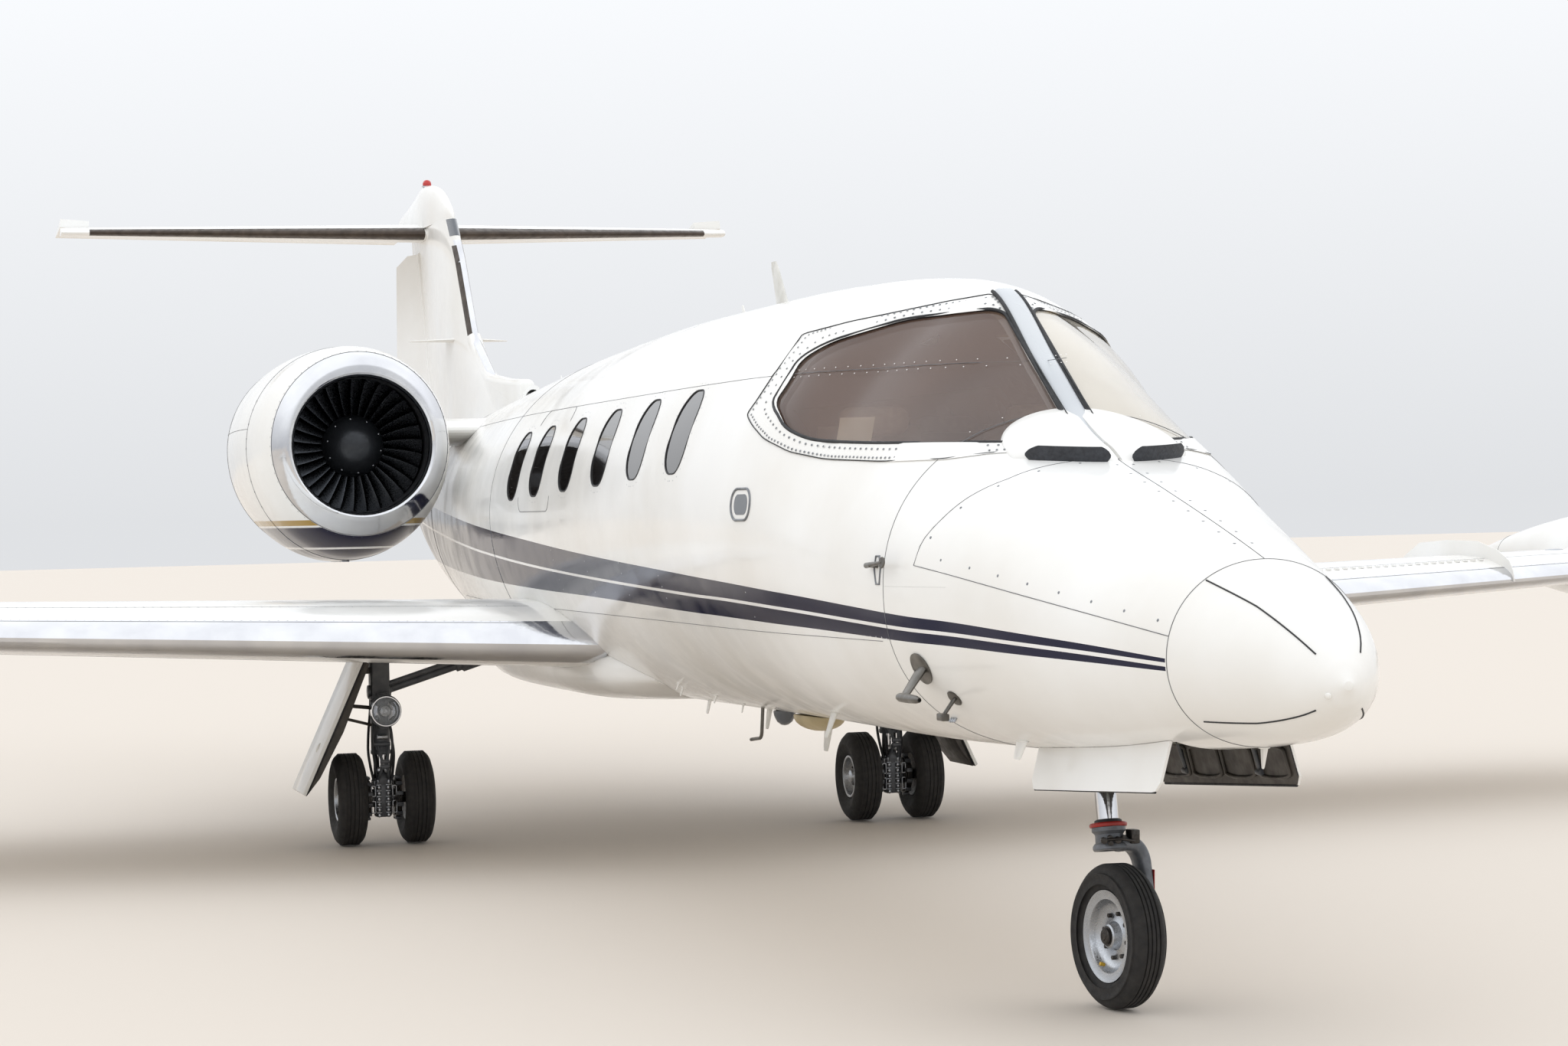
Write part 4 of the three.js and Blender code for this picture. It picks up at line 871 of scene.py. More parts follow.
rows = [hull_ring(s) for s in stations(0, CONE_END - 0.4, 30)]
rows += [hull_ring(s, 30) for s in reversed(stations(110, CONE_END - 0.4, 60))]
fit(shade_as_skin(solid("radome", rows)), white, ["nose_cone"])

nose = hull_wall("nose_skin", CONE_END + 0.4, BAY_END, 30)
joined(nose, kept(far_box((-172, 172), (739, 1856), (600, 1156)), solid_hull(400, 2200)))
carve(nose, [far_box(WIDE, (NOSE_END, 2400), (SILL, 2600)), far_box((-166, 166), (745, 1850), (400, 1150))])
fit(shade_as_skin(nose), hull_white, ["nose_section"])


def in_wheel_bay(c, n):
    inside = abs(c.x) < 0.17 and y_at(744) < c.y < y_at(1851) and c.z < 1.151
    return inside and max(abs(n.x), abs(n.y), abs(n.z)) > 0.99


second_finish(nose, primer, in_wheel_bay)

cabin = hull_wall("cabin_skin", NOSE_END + 0.4, CABIN_END - 0.3, 55)
tools = [far_box(WIDE, (1400, BAY_END + 0.4), (500, SILL + 0.4))]
tools += [window_tool(w, -1) for w in WINDOWS] + [window_tool(w, 1) for w in WINDOWS[1:]]
carve(cabin, [*tools, door_tool(DOOR["z0"], DOOR["z1"], 6, 16, 12)])
carve(cabin, [pane_tool(-1), pane_tool(1)])
second_finish(fit(shade_as_skin(cabin), hull_white, ["cabin_shell"]), lining, inner_face)

for leaf, low, high in (("upper", DOOR["split"] + 3, DOOR["z1"] - 4), ("lower", DOOR["z0"], DOOR["split"] - 3)):
    skin = kept(hull_wall("door_skin_" + leaf, 3100, 3900, 55), door_tool(low, high))
    if leaf == "upper":
        carve(skin, [window_tool(DOOR_WINDOW, 1)])
    fit(shade_as_skin(skin), hull_white, ["door_" + leaf], "door_" + leaf)
    second_finish(skin, lining, inner_face)

rows = [hull_ring(s, 12) for s in reversed(stations(CABIN_END + 0.3, 12950, 120))]
rows += [hull_ring(s) for s in stations(CABIN_END + 0.3, TAIL_END, 70)]
fit(shade_as_skin(solid("aft_skin", rows)), hull_white, ["aft_fuselage"])
keel = metres([(12050, 1420), (12350, 1120), (13250, 1330), (13250, 1660), (12050, 1520)])
keel = modify(prism("ventral_fin", keel, "x", -0.009, 0.009), "BEVEL", width=0.004, segments=2)
fit(smooth(keel), white)

# Glass: panes lie in their openings, a little below the skin.
for side, word in SIDES:
    pane = plate("windshield_pane_" + word, 1570, 3060, -4, 14, [pane_tool(side, -0.8, 3039)], 30)
    # The port pane is painted pale cream as a reflection of the sky; the starboard pane carries the bronze tint.
    fit(pane, brown_glass if side < 0 else painted_sky_reflection_glass, ["windshield_" + word])
    holes = [window_tool(w, side, -1) for w in (WINDOWS if side < 0 else WINDOWS[1:])]
    fit(plate("window_panes_" + word, 3500, 7100, -1.5, 6, holes, 60), window_glass)
door_pane = plate("door_window_pane", 3200, 3800, -1.5, 6, [window_tool(DOOR_WINDOW, 1, -1)], 60)
fit(door_pane, window_glass, body="door_upper")


def on_flank(outline, side, lift=0.0):
    """An outline of (station, height) laid on the side of the fuselage."""
    return [flank(s, z, side, lift) for s, z in outline]


def studded(points):
    """The spots of studs that stand on the fuselage at these points."""
    return [(p, skin_normal(p)) for p in points]


# Gaskets in the joints round the windows, and the screws of their frames.
paths, heads = [], []
for side in (-1, 1):
    for window in WINDOWS if side < 0 else WINDOWS[1:]:
        paths.append(on_flank(window_outline(window, 0.5), side, -0.5))
        ring = spaced([(y, z, 0) for y, z in metres(window_outline(window, 26))], 0.045)
        heads += studded(flank((p.x - NOSE) / MM, p.y / MM, side) for p in ring)
fit(tube("window_gaskets", paths, 0.0032, closed=True), seal)
fit(studs("window_frame_screws", heads, 0.0026, 0.0007), alloy)
door_ring = on_flank(window_outline(DOOR_WINDOW, 0.5), 1, -0.5)
fit(tube("door_window_gasket", [door_ring], 0.0032, closed=True), seal, body="door_upper")

# Windshield surrounds: a raised white frame, screwed on in two rows.
for side, word in SIDES:
    outline = scaled(softened(SURROUND, 14), side)
    surround = hull_wall("windshield_frame_" + word, 1500, 3300, 5.5, -3.5, 30)
    kept(surround, prism("cutter", outline, "y", y_at(1300), y_at(3200)))
    fit(shade_as_skin(carve(surround, [pane_tool(side, 0.5)])), white)

# Wings.
WING = {"root_s": 5830, "sweep": 0.286, "z": 948, "rise": 0.0356, "root": 2740, "tip": 1550, "in": 560, "out": 5460}
FLAP = {"x0": 960, "x1": 3080, "at": 0.75}
AILERON = {"x0": 3146, "x1": 5130, "at": 0.76}
SPOILER = {"x0": 1180, "x1": 2640, "from": 0.57, "to": 0.68, "t": 14}
FENCE_X = 4290
TANK = {"x": 5730, "s0": 6000, "length": 4200, "r": 290}
END_PLAY = 12
PORT_HALF = (9, 3)  # how far blocks that trim wing pieces reach aft and up


def foil_half(u):
    """Half thickness of a streamlined section of unit thickness at a chord fraction."""
    return 5 * (0.2969 * sqrt(u) - 0.126 * u - 0.3516 * u**2 + 0.2843 * u**3 - 0.1036 * u**4)


def round_ended(n):
    """Chord fractions from 0 to 1, close together at both ends."""
    return [0.5 * (1 - cos(pi * i / n)) for i in range(n + 1)]


def wing_chord(x):
    return WING["root"] + (WING["tip"] - WING["root"]) * x / (WING["out"] + 100)


def wing_z(x):
    return WING["z"] + WING["rise"] * x


def ordinates(x, u):
    """Upper and lower surface at a chord fraction, in parts of the chord."""
    half = (0.115 - 0.015 * x / WING["out"]) * foil_half(u)
    camber = 0.125 * (0.8 * u - u * u) if u < 0.4 else 0.02 / 0.36 * (0.2 + 0.8 * u - u * u)
    return camber + half, camber - half


def wing_point(x, u, v=0.0, lift=0.0):
    """A point at a chord fraction u and height v in parts of the chord, raised by lift millimetres."""
    c, a = wing_chord(x), radians(1.0)
    aft, up = c * (u * cos(a) + v * sin(a)), c * (v * cos(a) - u * sin(a))
    return spot(x, WING["root_s"] + WING["sweep"] * x + aft, wing_z(x) + up + lift)


def wing_skin(x, u, upper=True):
    return wing_point(x, u, ordinates(x, u)[0 if upper else 1])


def wing_section(x, drop, grow, n):
    top, low = [], []
    grow /= wing_chord(x)
    for i, u in enumerate(round_ended(n)):
        a, b = ordinates(x, u)
        thick = max(0.0, 0.0012 - (a - b) / 2) + grow
        at = u + (-2 if i == 0 else 2 if i == n else 0) * grow
        top.append(wing_point(x, at, a + thick, -drop))
        if i:
            low.append(wing_point(x, at, b - thick, -drop))
    return top + low[::-1]


def wing_solid(drop=0.0, grow=0.0, n=34):
    return solid("wing", [wing_section(x, drop, grow, n) for x in even(WING["in"], WING["out"], 34)])


def chord_block(corners):
    """A block through the wing, over corners of (x, chord fraction)."""
    return prism("slab", [wing_point(x, u).to_tuple()[:2] for x, u in corners], "z", 0.4, 1.7)


def wing_box(x0, x1, u0, u1):
    return chord_block([(x0, u0), (x1, u0), (x1, u1), (x0, u1)])


def hinge_point(x, at):
    return wing_point(x, at, sum(ordinates(x, at)) / 2)


def hinge_radius(x, at):
    a, b = ordinates(x, at)
    return (a - b) / 2 * wing_chord(x)


def hinge_pin(x0, x1, at, beyond, radius):
    return rod("pin", hinge_point(x0 - beyond, at), hinge_point(x1 + beyond, at), radius, 20, 0)


def moving_edge(name, x0, x1, at):
    """A flap or an aileron: a round nose about its hinge line, and the wing's own tail."""
    p, q = hinge_point(x0 - 60, at), hinge_point(x1 + 60, at)
    ends = [(hinge_radius(x0 - 60, at) - 1, 0), (hinge_radius(x1 + 60, at) - 1, (q - p).length / MM)]
    piece = kept(wing_solid(), wing_box(x0 - 10, x1 + 10, at, 1.2))
    joined(piece, turned("nose", ends, p, q - p, 48, capped=True))
    kept(piece, block("span", (x0 * MM, -9, 0), (x1 * MM, *PORT_HALF), 0))
    joined(piece, hinge_pin(x0, x1, at, END_PLAY + 16, 0.008))
    return smooth(named(piece, name), 30)


def cove(x0, x1, at):
    """The room that a moving edge turns in."""
    r = max(hinge_radius(x0, at), hinge_radius(x1, at)) + 8
    a, b = x0 - END_PLAY, x1 + END_PLAY
    return chord_block([(a, at - r / wing_chord(a)), (b, at - r / wing_chord(b)), (b, 1.2), (a, 1.2)])


wing = wing_solid()
slot_cut = wing_box(SPOILER["x0"] - 6, SPOILER["x1"] + 6, SPOILER["from"] - 0.004, SPOILER["to"] + 0.0025)
carve(slot_cut, [wing_solid(SPOILER["t"] + 0.3)])
tools = [slot_cut, cove(**FLAP), cove(**AILERON)]
tools += [hinge_pin(**edge, beyond=END_PLAY + 17, radius=0.0083) for edge in (FLAP, AILERON)]
for tool in (*tools, solid_hull(4800, 9400, -0.4)):
    carve(wing, [tool])
smooth(named(wing, "wing_skin"), 30)


def chord_share(p):
    """Chord fraction at a point of either wing."""
    x = abs(p.x) / MM
    return ((p.y - NOSE) / MM - WING["root_s"] - WING["sweep"] * x) / wing_chord(x)


both_sides(wing, white, ["wing_{}"], second=(polished, lambda c, n: chord_share(c) < 0.045))
both_sides(moving_edge("flap_skin", **FLAP), white, ["flap_{}"], "flap_{}")
both_sides(moving_edge("aileron_skin", **AILERON), white, ["aileron_{}"], "aileron_{}")
lid = kept(wing_solid(), wing_box(SPOILER["x0"], SPOILER["x1"], SPOILER["from"], SPOILER["to"]))
carve(lid, [wing_solid(SPOILER["t"])])
both_sides(smooth(named(lid, "spoiler_skin"), 30), white, ["spoiler_{}"], "spoiler_{}")

# Fences, stall strips, seams, rivets, airflow tabs and fuel caps.
rows = [
    (-0.008, -10), (0.0, 45), (0.02, 95), (0.09, 150), (0.2, 190), (0.38, 195), (0.55, 180), (0.64, 115), (0.7, 50),
    (0.7, 0),
]
outline = [(wing_point(FENCE_X, u).y, (wing_z(FENCE_X) + h) * MM) for u, h in rows]
fence = prism("wing_fence", outline, "x", (FENCE_X - 2) * MM, (FENCE_X + 2) * MM)
both_sides(smooth(modify(fence, "BEVEL", width=0.0018, segments=2)), white)


def lay_strip(name, spans, u, width, height, upper=True):
    """A low strip laid along the span, from one x to another."""
    frames = []
    for x in even(*spans, 24):
        a = wing_skin(x, u, upper)
        aft = (wing_skin(x, u + 0.004, upper) - a).normalized()
        lift = X.cross(aft).normalized()
        frames.append((a, aft, lift if (lift.z > 0) == upper else -lift))
    w = width / 2
    return sweep(name, frames, [(-w, -0.6), (w, -0.6), (w, height * 0.4), (0, height), (-w, height * 0.4)])


both_sides(lay_strip("stall_strip", (4700, 4950), 0.012, 12, 7), polished)
for name, u, width, upper in (
    ("spar_seam", 0.16, 2.6, True),
    ("edge_seam", 0.046, 2.4, True),
    ("under_seam", 0.16, 2.6, False),
):
    both_sides(lay_strip(name, (800, 5440), u, width, 0.5, upper), seal)
heads = []
for u, pitch in ((0.052, 38), (0.155, 38), (0.166, 38), (0.5, 55), (0.545, 55)):
    for x in range(860, 5440, pitch):
        p = wing_skin(x, u)
        heads.append((p, X.cross((wing_skin(x, u + 0.01) - p).normalized())))
both_sides(studs("wing_rivets", heads, 0.0028, 0.0006), alloy)

tabs = [
    block("tab", (-0.012, -0.011, -0.001), (0.012, 0.011, 0.009), at=wing_skin(3080 + 50 * k, 0.13)) for k in range(24)
]
both_sides(join("airflow_tabs", tabs), white)
rows = [(0, 4), (30, 4), (34, 1), (46, 1.2), (48, -4), (0, -4)]
both_sides(turned("fuel_cap", rows, wing_skin(4900, 0.3), Z, 40, angle=32), alloy)


# Tip tanks: turned bodies, round in front and fine behind, with their seams.
def tank_radius(u):
    return TANK["r"] * (sqrt(max(0, 1 - ((0.4 - u) / 0.4) ** 2)) if u < 0.4 else 1 - ((u - 0.4) / 0.6) ** 2.2)


tank_nose = spot(TANK["x"], TANK["s0"], wing_z(TANK["x"]) + 20)
tank = turned("tip_tank_skin", [(tank_radius(u), u * TANK["length"]) for u in round_ended(80)], tank_nose, Y, 96, angle=32)
carve(tank, [block("inner_side", (5.4, -9, 0), ((WING["out"] + 0.5) * MM, *PORT_HALF), 0)])
both_sides(smooth(tank, 30), white, ["tip_tank_{}"])
rings = [
    [tank_nose + Vector((tank_radius(u) * cos(t), u * TANK["length"], tank_radius(u) * sin(t))) * MM for t in turns(96)]
    for u in (0.11, 0.34, 0.62, 0.88)
]
seams = carve(tube("tank_seams", rings, 0.0014, closed=True), [block("inner_side", (5.0, -9, 0), (5.466, *PORT_HALF), 0)])
both_sides(seams, seal)
# Each tank carries a clear-glass position lamp on its outer side.
rows = [(0, -1), (18, 4), (26, 16), (29, 34), (22, 50), (0, 55)]
both_sides(turned("position_lamp", rows, tank_nose + Vector((0.258, 0.62, 0.0)), Y, 32, angle=32), lens_glass)

BELLY = [
    # station, half width, top, bottom of the fairing under the wing
    (5700, 430, 900, 790),
    (6100, 600, 1000, 724),
    (6800, 650, 1040, 692),
    (7800, 650, 1040, 688),
    (8600, 560, 990, 706),
    (9300, 330, 900, 800),
]


def belly_ring(s):
    hw, top, low = (column(BELLY, k, s) for k in (1, 2, 3))
    return [spot(hw * boxy(cos(t)), s, (top + low) / 2 + (top - low) / 2 * boxy(sin(t))) for t in turns(120)]


belly = solid("belly_skin", [belly_ring(5700 + 60 * k) for k in range(61)])
rest = wing_solid(0, 0.6, 24)
for tool in (solid_hull(4800, 9800, -0.4), rest, copy_of(rest, "rest_right", MIRROR)):
    carve(belly, [tool])
fit(smooth(belly, 30), white, ["belly_fairing"])

# Tail.
HINGE = {"s0": 13010, "z0": 1990, "s1": 13540, "z1": 3345, "r": 42}
RUDDER_TOP, FIN_TOP = 3222, 3360
STAB = {"z": 3432, "semi": 2235, "root_s": 13010, "root": 1180, "tip_s": 14270, "tip": 563, "t": 0.1}
FIN = [
    # height, leading edge, trailing edge, half thickness
    (1800, 10600, 13400, 66),
    (2060, 10700, 13600, 66),
    (2345, 11210, 13690, 66),
    (2593, 11730, 13745, 64),
    (3077, 12100, 13850, 58),
    (3362, 12395, 13900, 54),
    (3440, 12450, 13940, 50),
]
CAP = [
    # station, half width, top, bottom of the cap over the fin
    (12400, 3, 3368, 3360),
    (12470, 24, 3425, 3360),
    (12615, 40, 3492, 3360),
    (12751, 50, 3556, 3360),
    (13000, 62, 3615, 3360),
    (13296, 66, 3645, 3360),
    (13602, 60, 3600, 3360),
    (13820, 56, 3565, 3372),
    (14032, 50, 3542, 3392),
    (14300, 28, 3506, 3430),
    (14420, 4, 3480, 3462),
]
ELEVATOR_AT, TIP_IN = 0.7, STAB["semi"] - 190


def foil(s0, chord, half, n=30):
    """A streamlined section: (station, half width) pairs all round."""
    up = [(s0 + u * chord, max(2.2, foil_half(u) * 2 * half) if u else 0.0) for u in round_ended(n)]
    return up + [(s, -x) for s, x in up[:0:-1]]


def interpolated(rows, at, *columns):
    return [float(np.interp(at, [r[0] for r in rows], [r[k] for r in rows])) for k in columns]


def fin_solid():
    rows = []
    for z in sorted({r[0] for r in FIN} | set(range(1800, 3440, 60))):
        le, te, half = interpolated(FIN, z, 1, 2, 3)
        rows.append([spot(x, s, z) for s, x in foil(le, te - le, half)])
    return solid("fin", rows)


def stab_lead(x):
    """Station of the tailplane's leading edge, and its chord."""
    k = abs(x) / STAB["semi"]
    return STAB["root_s"] + (STAB["tip_s"] - STAB["root_s"]) * k, STAB["root"] + (STAB["tip"] - STAB["root"]) * k


def stab_solid(grow=0.0):
    semi, rows = STAB["semi"], []
    outer = [semi - 87 * k for k in range(25)]
    for x in [-x for x in outer] + [-60, 60] + outer[::-1]:
        s0, c = stab_lead(x)
        c += 2 * grow
        rows.append([spot(x, s, STAB["z"] + z) for s, z in foil(s0 - grow, c, STAB["t"] * c / 2 + grow)])
    return solid("stabiliser", rows)


def stab_at(x, u):
    s0, c = stab_lead(x)
    return y_at(s0 + u * c)


def turn_about(point, axis, degrees):
    point = Vector(point)
    spin = Matrix.Rotation(radians(degrees), 4, Vector(axis).normalized())
    return Matrix.Translation(point) @ spin @ Matrix.Translation(-point)


TRIMMED = turn_about(spot(0, 14300, STAB["z"]), X, 5.2)
UNTRIMMED = TRIMMED.inverted()
hinge_low = spot(0, HINGE["s0"], HINGE["z0"])
hinge_top = spot(0, HINGE["s1"], HINGE["z1"])
hinge_way = (hinge_top - hinge_low).normalized()


def behind_hinge(margin, z0, z1):
    def s(z):
        return HINGE["s0"] + (z - HINGE["z0"]) / (HINGE["z1"] - HINGE["z0"]) * (HINGE["s1"] - HINGE["s0"]) - margin

    return prism("behind", metres([(s(z0), z0), (14400, z0), (14400, z1), (s(z1), z1)]), "x", -0.2, 0.2)


def hinge_rod(below, radius):
    return rod("pin", hinge_low - hinge_way * below, hinge_low + hinge_way * 0.06, radius, 20, 0)


fin = carve(fin_solid(), [behind_hinge(HINGE["r"] + 8, HINGE["z0"] - 6, RUDDER_TOP + 10)])
ridge = [
    (10240, 2277), (10700, 2300), (11210, 2345), (11400, 2404), (11560, 2480), (11680, 2556), (11760, 2620),
    (12100, 2620), (12100, 1950), (10240, 1950),
]
dorsal = prism("dorsal", metres(ridge), "x", -0.042, 0.042)
joined(fin, modify(dorsal, "BEVEL", width=0.036, segments=6, limit_method="ANGLE", angle_limit=radians(60)))
room = stab_solid(0.6)
room.data.transform(TRIMMED)
above = block("above", (-0.3, -9, (FIN_TOP - 0.4) * MM), (0.3, 9, 4), 0)
for tool in (solid_hull(9800, TAIL_END, -0.4), hinge_rod(0.031, 0.0103), room, above):
    carve(fin, [tool])
fit(smooth(named(fin, "fin_skin"), 30), white, ["fin"])

rudder = kept(fin_solid(), behind_hinge(0, HINGE["z0"], RUDDER_TOP))
joined(rudder, rod("nose", hinge_low, hinge_top, HINGE["r"] * MM, 40, 0))
kept(rudder, block("heights", (-0.3, -9, HINGE["z0"] * MM), (0.3, 9, RUDDER_TOP * MM), 0))
cut = [(13690, RUDDER_TOP + 2), (13900, RUDDER_TOP - 75), (14400, RUDDER_TOP - 75), (14400, RUDDER_TOP + 2)]
carve(rudder, [prism("corner", metres(cut), "x", -0.2, 0.2)])
carve(rudder, [solid_hull(9800, TAIL_END, -6)])
joined(rudder, hinge_rod(0.03, 0.010))
rudder.data.transform(turn_about(hinge_low, hinge_way, 18))
fit(smooth(named(rudder, "rudder_skin"), 30), white, ["rudder"], "rudder")


# Tailplane with its dark erosion-proof leading edges, and the cap over the fin.
def cap_ring(s):
    hw, top, low = (column(CAP, k, s) for k in (1, 2, 3))
    return [spot(hw * boxy(cos(t), 0.8), s, low + (top - low) * sin(t) ** 0.8) for t in even(0, pi, 28)]


def elevator_pin(side, start, radius):
    at = STAB["z"] * MM
    ends = (side * start * MM, stab_at(36, 0.7), at), (side * 0.11, stab_at(110, 0.7), at)
    return rod("pin", *ends, radius, 20, 0)


tailplane = stab_solid()
for side in (-1, 1):
    cut = [(side * x * MM, stab_at(x, ELEVATOR_AT) - 0.03) for x in (60, TIP_IN)]
    cut += [(side * TIP_IN * MM, 8), (side * 60 * MM, 8)]
    carve(tailplane, [prism("elevator_cut", cut, "z", 3, 4)])
    ends = sorted((side * TIP_IN * MM, side * 2.4))
    carve(tailplane, [block("tip_cut", (ends[0], stab_at(STAB["semi"], 0.22), 3), (ends[1], 8, 4), 0)])
tailplane.data.transform(TRIMMED)
cap_rows = [cap_ring(s) for s in [12400, 12410, 12425, 12445, *range(12470, 14420, 60), 14420]]
joined(tailplane, solid("cap", cap_rows))
for side in (-1, 1):
    pin = elevator_pin(side, 35, 0.0083)
    pin.data.transform(TRIMMED)
    carve(tailplane, [pin])


def on_boot(centre, normal):
    """Faces of the tailplane's leading edge, off its root and its tips."""
    flat = UNTRIMMED @ centre
    s0, c = stab_lead(flat.x / MM)
    return ((flat.y - NOSE) / MM - s0) / c < 0.075 and 0.075 < abs(centre.x) < 2.045


fit(smooth(named(tailplane, "tailplane_skin"), 30), white, ["stabilizer"])
second_finish(tailplane, brass, on_boot)

for side, word in SIDES:
    x0, x1, tip = side * 66, side * TIP_IN, side * 2255
    horn, edge = stab_at(STAB["semi"], 0.22) + 0.006, x1 + side * 6
    area = [(x0, stab_at(x0, 0.7)), (edge, stab_at(edge, 0.7)), (edge, horn), (tip, horn), (tip, 8), (x0, 8)]
    piece = kept(stab_solid(), prism("area", [(x * MM, y) for x, y in area], "z", 3, 4))
    p, q = (Vector((x * MM, stab_at(x, 0.7), STAB["z"] * MM)) for x in (x0 - side * 50, x1 + side * 50))
    ends = sorted((x0 * MM, x1 * MM))
    rows = [(22, 0), (13, (q - p).length / MM)]
    bar = kept(turned("nose", rows, p, q - p, 32, capped=True), block("span", (ends[0], 0, 3), (ends[1], 9, 4), 0))
    joined(joined(piece, bar), elevator_pin(side, 36, 0.008))
    piece.data.transform(TRIMMED @ turn_about(p, q - p, -side * 14))
    word = "elevator_" + word
    fit(smooth(named(piece, word.replace("_", "_skin_")), 30), white, [word], word)

rows = [(0, 0), (28, 0), (28, 20), (25.5, 31), (18, 40.5), (9, 45), (0, 46)]
fit(turned("beacon", rows, spot(0, 13296, 3640), Z, 40, angle=32), red_lens)
rows = [(0, -3), (34, -3), (34, 4), (28.5, 6.5), (0, 6.5)]
fit(turned("beacon_foot", rows, spot(0, 13296, 3641), Z, 40, angle=32), polished)

# Engines.
ENGINE = {"x": 1215, "z": 1890, "lip": 8360}
FAN_S = ENGINE["lip"] + 330
COWL = [
    # distance aft of the lip, half width, height above the axis, depth below it
    (0, 360, 385, 340),
    (30, 400, 428, 385),
    (140, 448, 470, 470),
    (420, 492, 502, 556),
    (900, 510, 512, 580),
    (1500, 486, 494, 536),
    (2080, 394, 405, 420),
    (2620, 285, 295, 295),
]
AROUND = 128  # points round a cowl


def engine_point(r, d, t):
    """A point at a radius and angle about the port engine's axis, d aft of its lip."""
    return spot(ENGINE["x"] + r * cos(t), ENGINE["lip"] + d, ENGINE["z"] + r * sin(t))


def cowl_ring(d, lift=0.0):
    hw, up, down = (column(COWL, k, d) for k in (1, 2, 3))
    if d < 30:
        hw, up, down = (COWL[0][k] + (COWL[1][k] - COWL[0][k]) * sqrt(d / 30) for k in (1, 2, 3))
    ring = []
    for t in turns(AROUND):
        a, b = (hw + lift) * cos(t), ((up if sin(t) > 0 else down) + lift) * sin(t)
        size = max(1.0, 354 / hypot(a, b)) if d < 30 else 1.0
        ring.append(spot(ENGINE["x"] + a * size, ENGINE["lip"] + d, ENGINE["z"] + b * size))
    return ring


outside = [0, 0.4, 1.5, 3.5, 7, 12, 19, 30, 45, 70, 100, 140, 200, 280, 360, 420, 520, 660, 800, 940]
rows = [cowl_ring(d) for d in (*outside, *range(1060, 2621, 120))]
rows += [[engine_point(268, d, t) for t in turns(AROUND)] for d in (2620, 2520, 2401)]
rows += [cowl_ring(d, -9) for d in (2400, 2200, 2000, 1700, 1400, 1100, 800, 600, 560.5)]
duct = [
    (362, 560), (362, 320), (356, 290), (345, 240), (336, 190), (327, 130), (327, 90), (330, 45), (333, 30), (338, 17),
    (344, 8), (350, 3), (353, 0.6),
]
rows += [[engine_point(r, d, t) for t in turns(AROUND)] for r, d in duct]
both_sides(smooth(lattice("nacelle_skin", rows, ring_way=True), 35), cowl_white, ["nacelle_{}"])


def from_lip(p):
    return (p.y - NOSE) / MM - ENGINE["lip"]


def off_axis(p):
    return hypot(abs(p.x) / MM - ENGINE["x"], p.z / MM - ENGINE["z"])


for _, word in SIDES:
    here = bpy.data.objects["nacelle_skin_" + word]
    second_finish(here, polished, lambda c, n: from_lip(c) < 95 and off_axis(c) > 330 or from_lip(c) < 60)
    # The inlet duct's inner faces are painted near black as shade.
    second_finish(here, duct_painted_shade, lambda c, n: 60 <= from_lip(c) < 562 and off_axis(c) < 364)
    second_finish(here, hot_steel, lambda c, n: from_lip(c) > 2380 and off_axis(c) < 270 or from_lip(c) > 2540)


# Fan: thirty twisted blades on a hub, with a spinner held by a ring of bolts.
def blade():
    rows = []
    for share in even(0, 1, 8):
        r, chord, thick, stagger = 146 + 205 * share, 78 + 28 * share, 8 - 5 * share, radians(28 + 34 * share)
        row = []
        for a in turns(12):
            along, off = chord / 2 * cos(a), thick / 2 * sin(a) + 5 * (1 - cos(a) ** 2)
            aft, across = along * cos(stagger) - off * sin(stagger), along * sin(stagger) + off * cos(stagger)
            lean = 0.05 * share * share + across / r
            row.append(engine_point(r, FAN_S - ENGINE["lip"] + 42 + aft * 0.78, lean))
        rows.append(row)
    return solid("blade", rows)


hub_at = spot(ENGINE["x"], FAN_S, ENGINE["z"])
first = blade()
blades = [first] + [copy_of(first, "blade", turn_about(hub_at, Y, 12 * k)) for k in range(1, 30)]
both_sides(smooth(join("fan_blades", blades), 40), titanium, ["fan_{}"], "fan_{}")

rows = [
    (0, -130), (34, -127), (64, -118), (88, -104), (108, -84), (128, -58), (143, -29), (151, -3), (153, 3), (150, 6),
    (150, 88), (40, 90), (40, 169), (0, 170),
]
both_sides(turned("fan_spinner", rows, hub_at, Y, 72, angle=40), spinner_grey, body="fan_{}")
heads = []
for t in turns(10, 0.3):
    heads.append((engine_point(135, FAN_S - ENGINE["lip"] - 45, t), (cos(t) * 0.84, -0.54, sin(t) * 0.84)))
both_sides(studs("spinner_bolts", heads, 0.006, 0.004), alloy, body="fan_{}")

# Behind the fan: the core and the hot tail cone.
rows = [
    (40.5, 131), (120, 131), (150, 138), (190, 200), (262, 330), (300, 420), (304, 700), (300, 1150), (270, 1350),
    (190, 1700), (90, 2050), (40, 2160), (0, 2200), (0, 190), (40.5, 190),
]
both_sides(turned("engine_body", rows, hub_at, Y, 72, True, angle=40), hot_steel, ["engine_core_{}"])

# Landing gear. Nose leg: axle, and the way that the strut leans.
NOSE_AXLE = Vector((0, y_at(1630), 0.219))
STRUT = Vector((0, sin(radians(10.2)), cos(radians(10.2))))
STEERED = turn_about(NOSE_AXLE, STRUT, 8)
MAIN = Vector((1.255, y_at(7780), 0.215))


def on_strut(d, x=0.0, y=0.0, z=0.0):
    return NOSE_AXLE + STRUT * d * MM + Vector((x, y, z))


def limb(name, path, sides=20):
    """A cast arm: its section follows (point, half thickness, half depth) rows in the x-z plane."""
    rows = []
    for k, (p, thick, deep) in enumerate(path):
        a, b = path[max(0, k - 1)][0], path[min(len(path) - 1, k + 1)][0]
        across = (b - a).normalized().cross(Y).normalized()
        rows.append([p + across * thick * boxy(cos(t)) * MM + Y * (deep * boxy(sin(t)) * MM) for t in turns(sides)])
    return solid(name, rows)


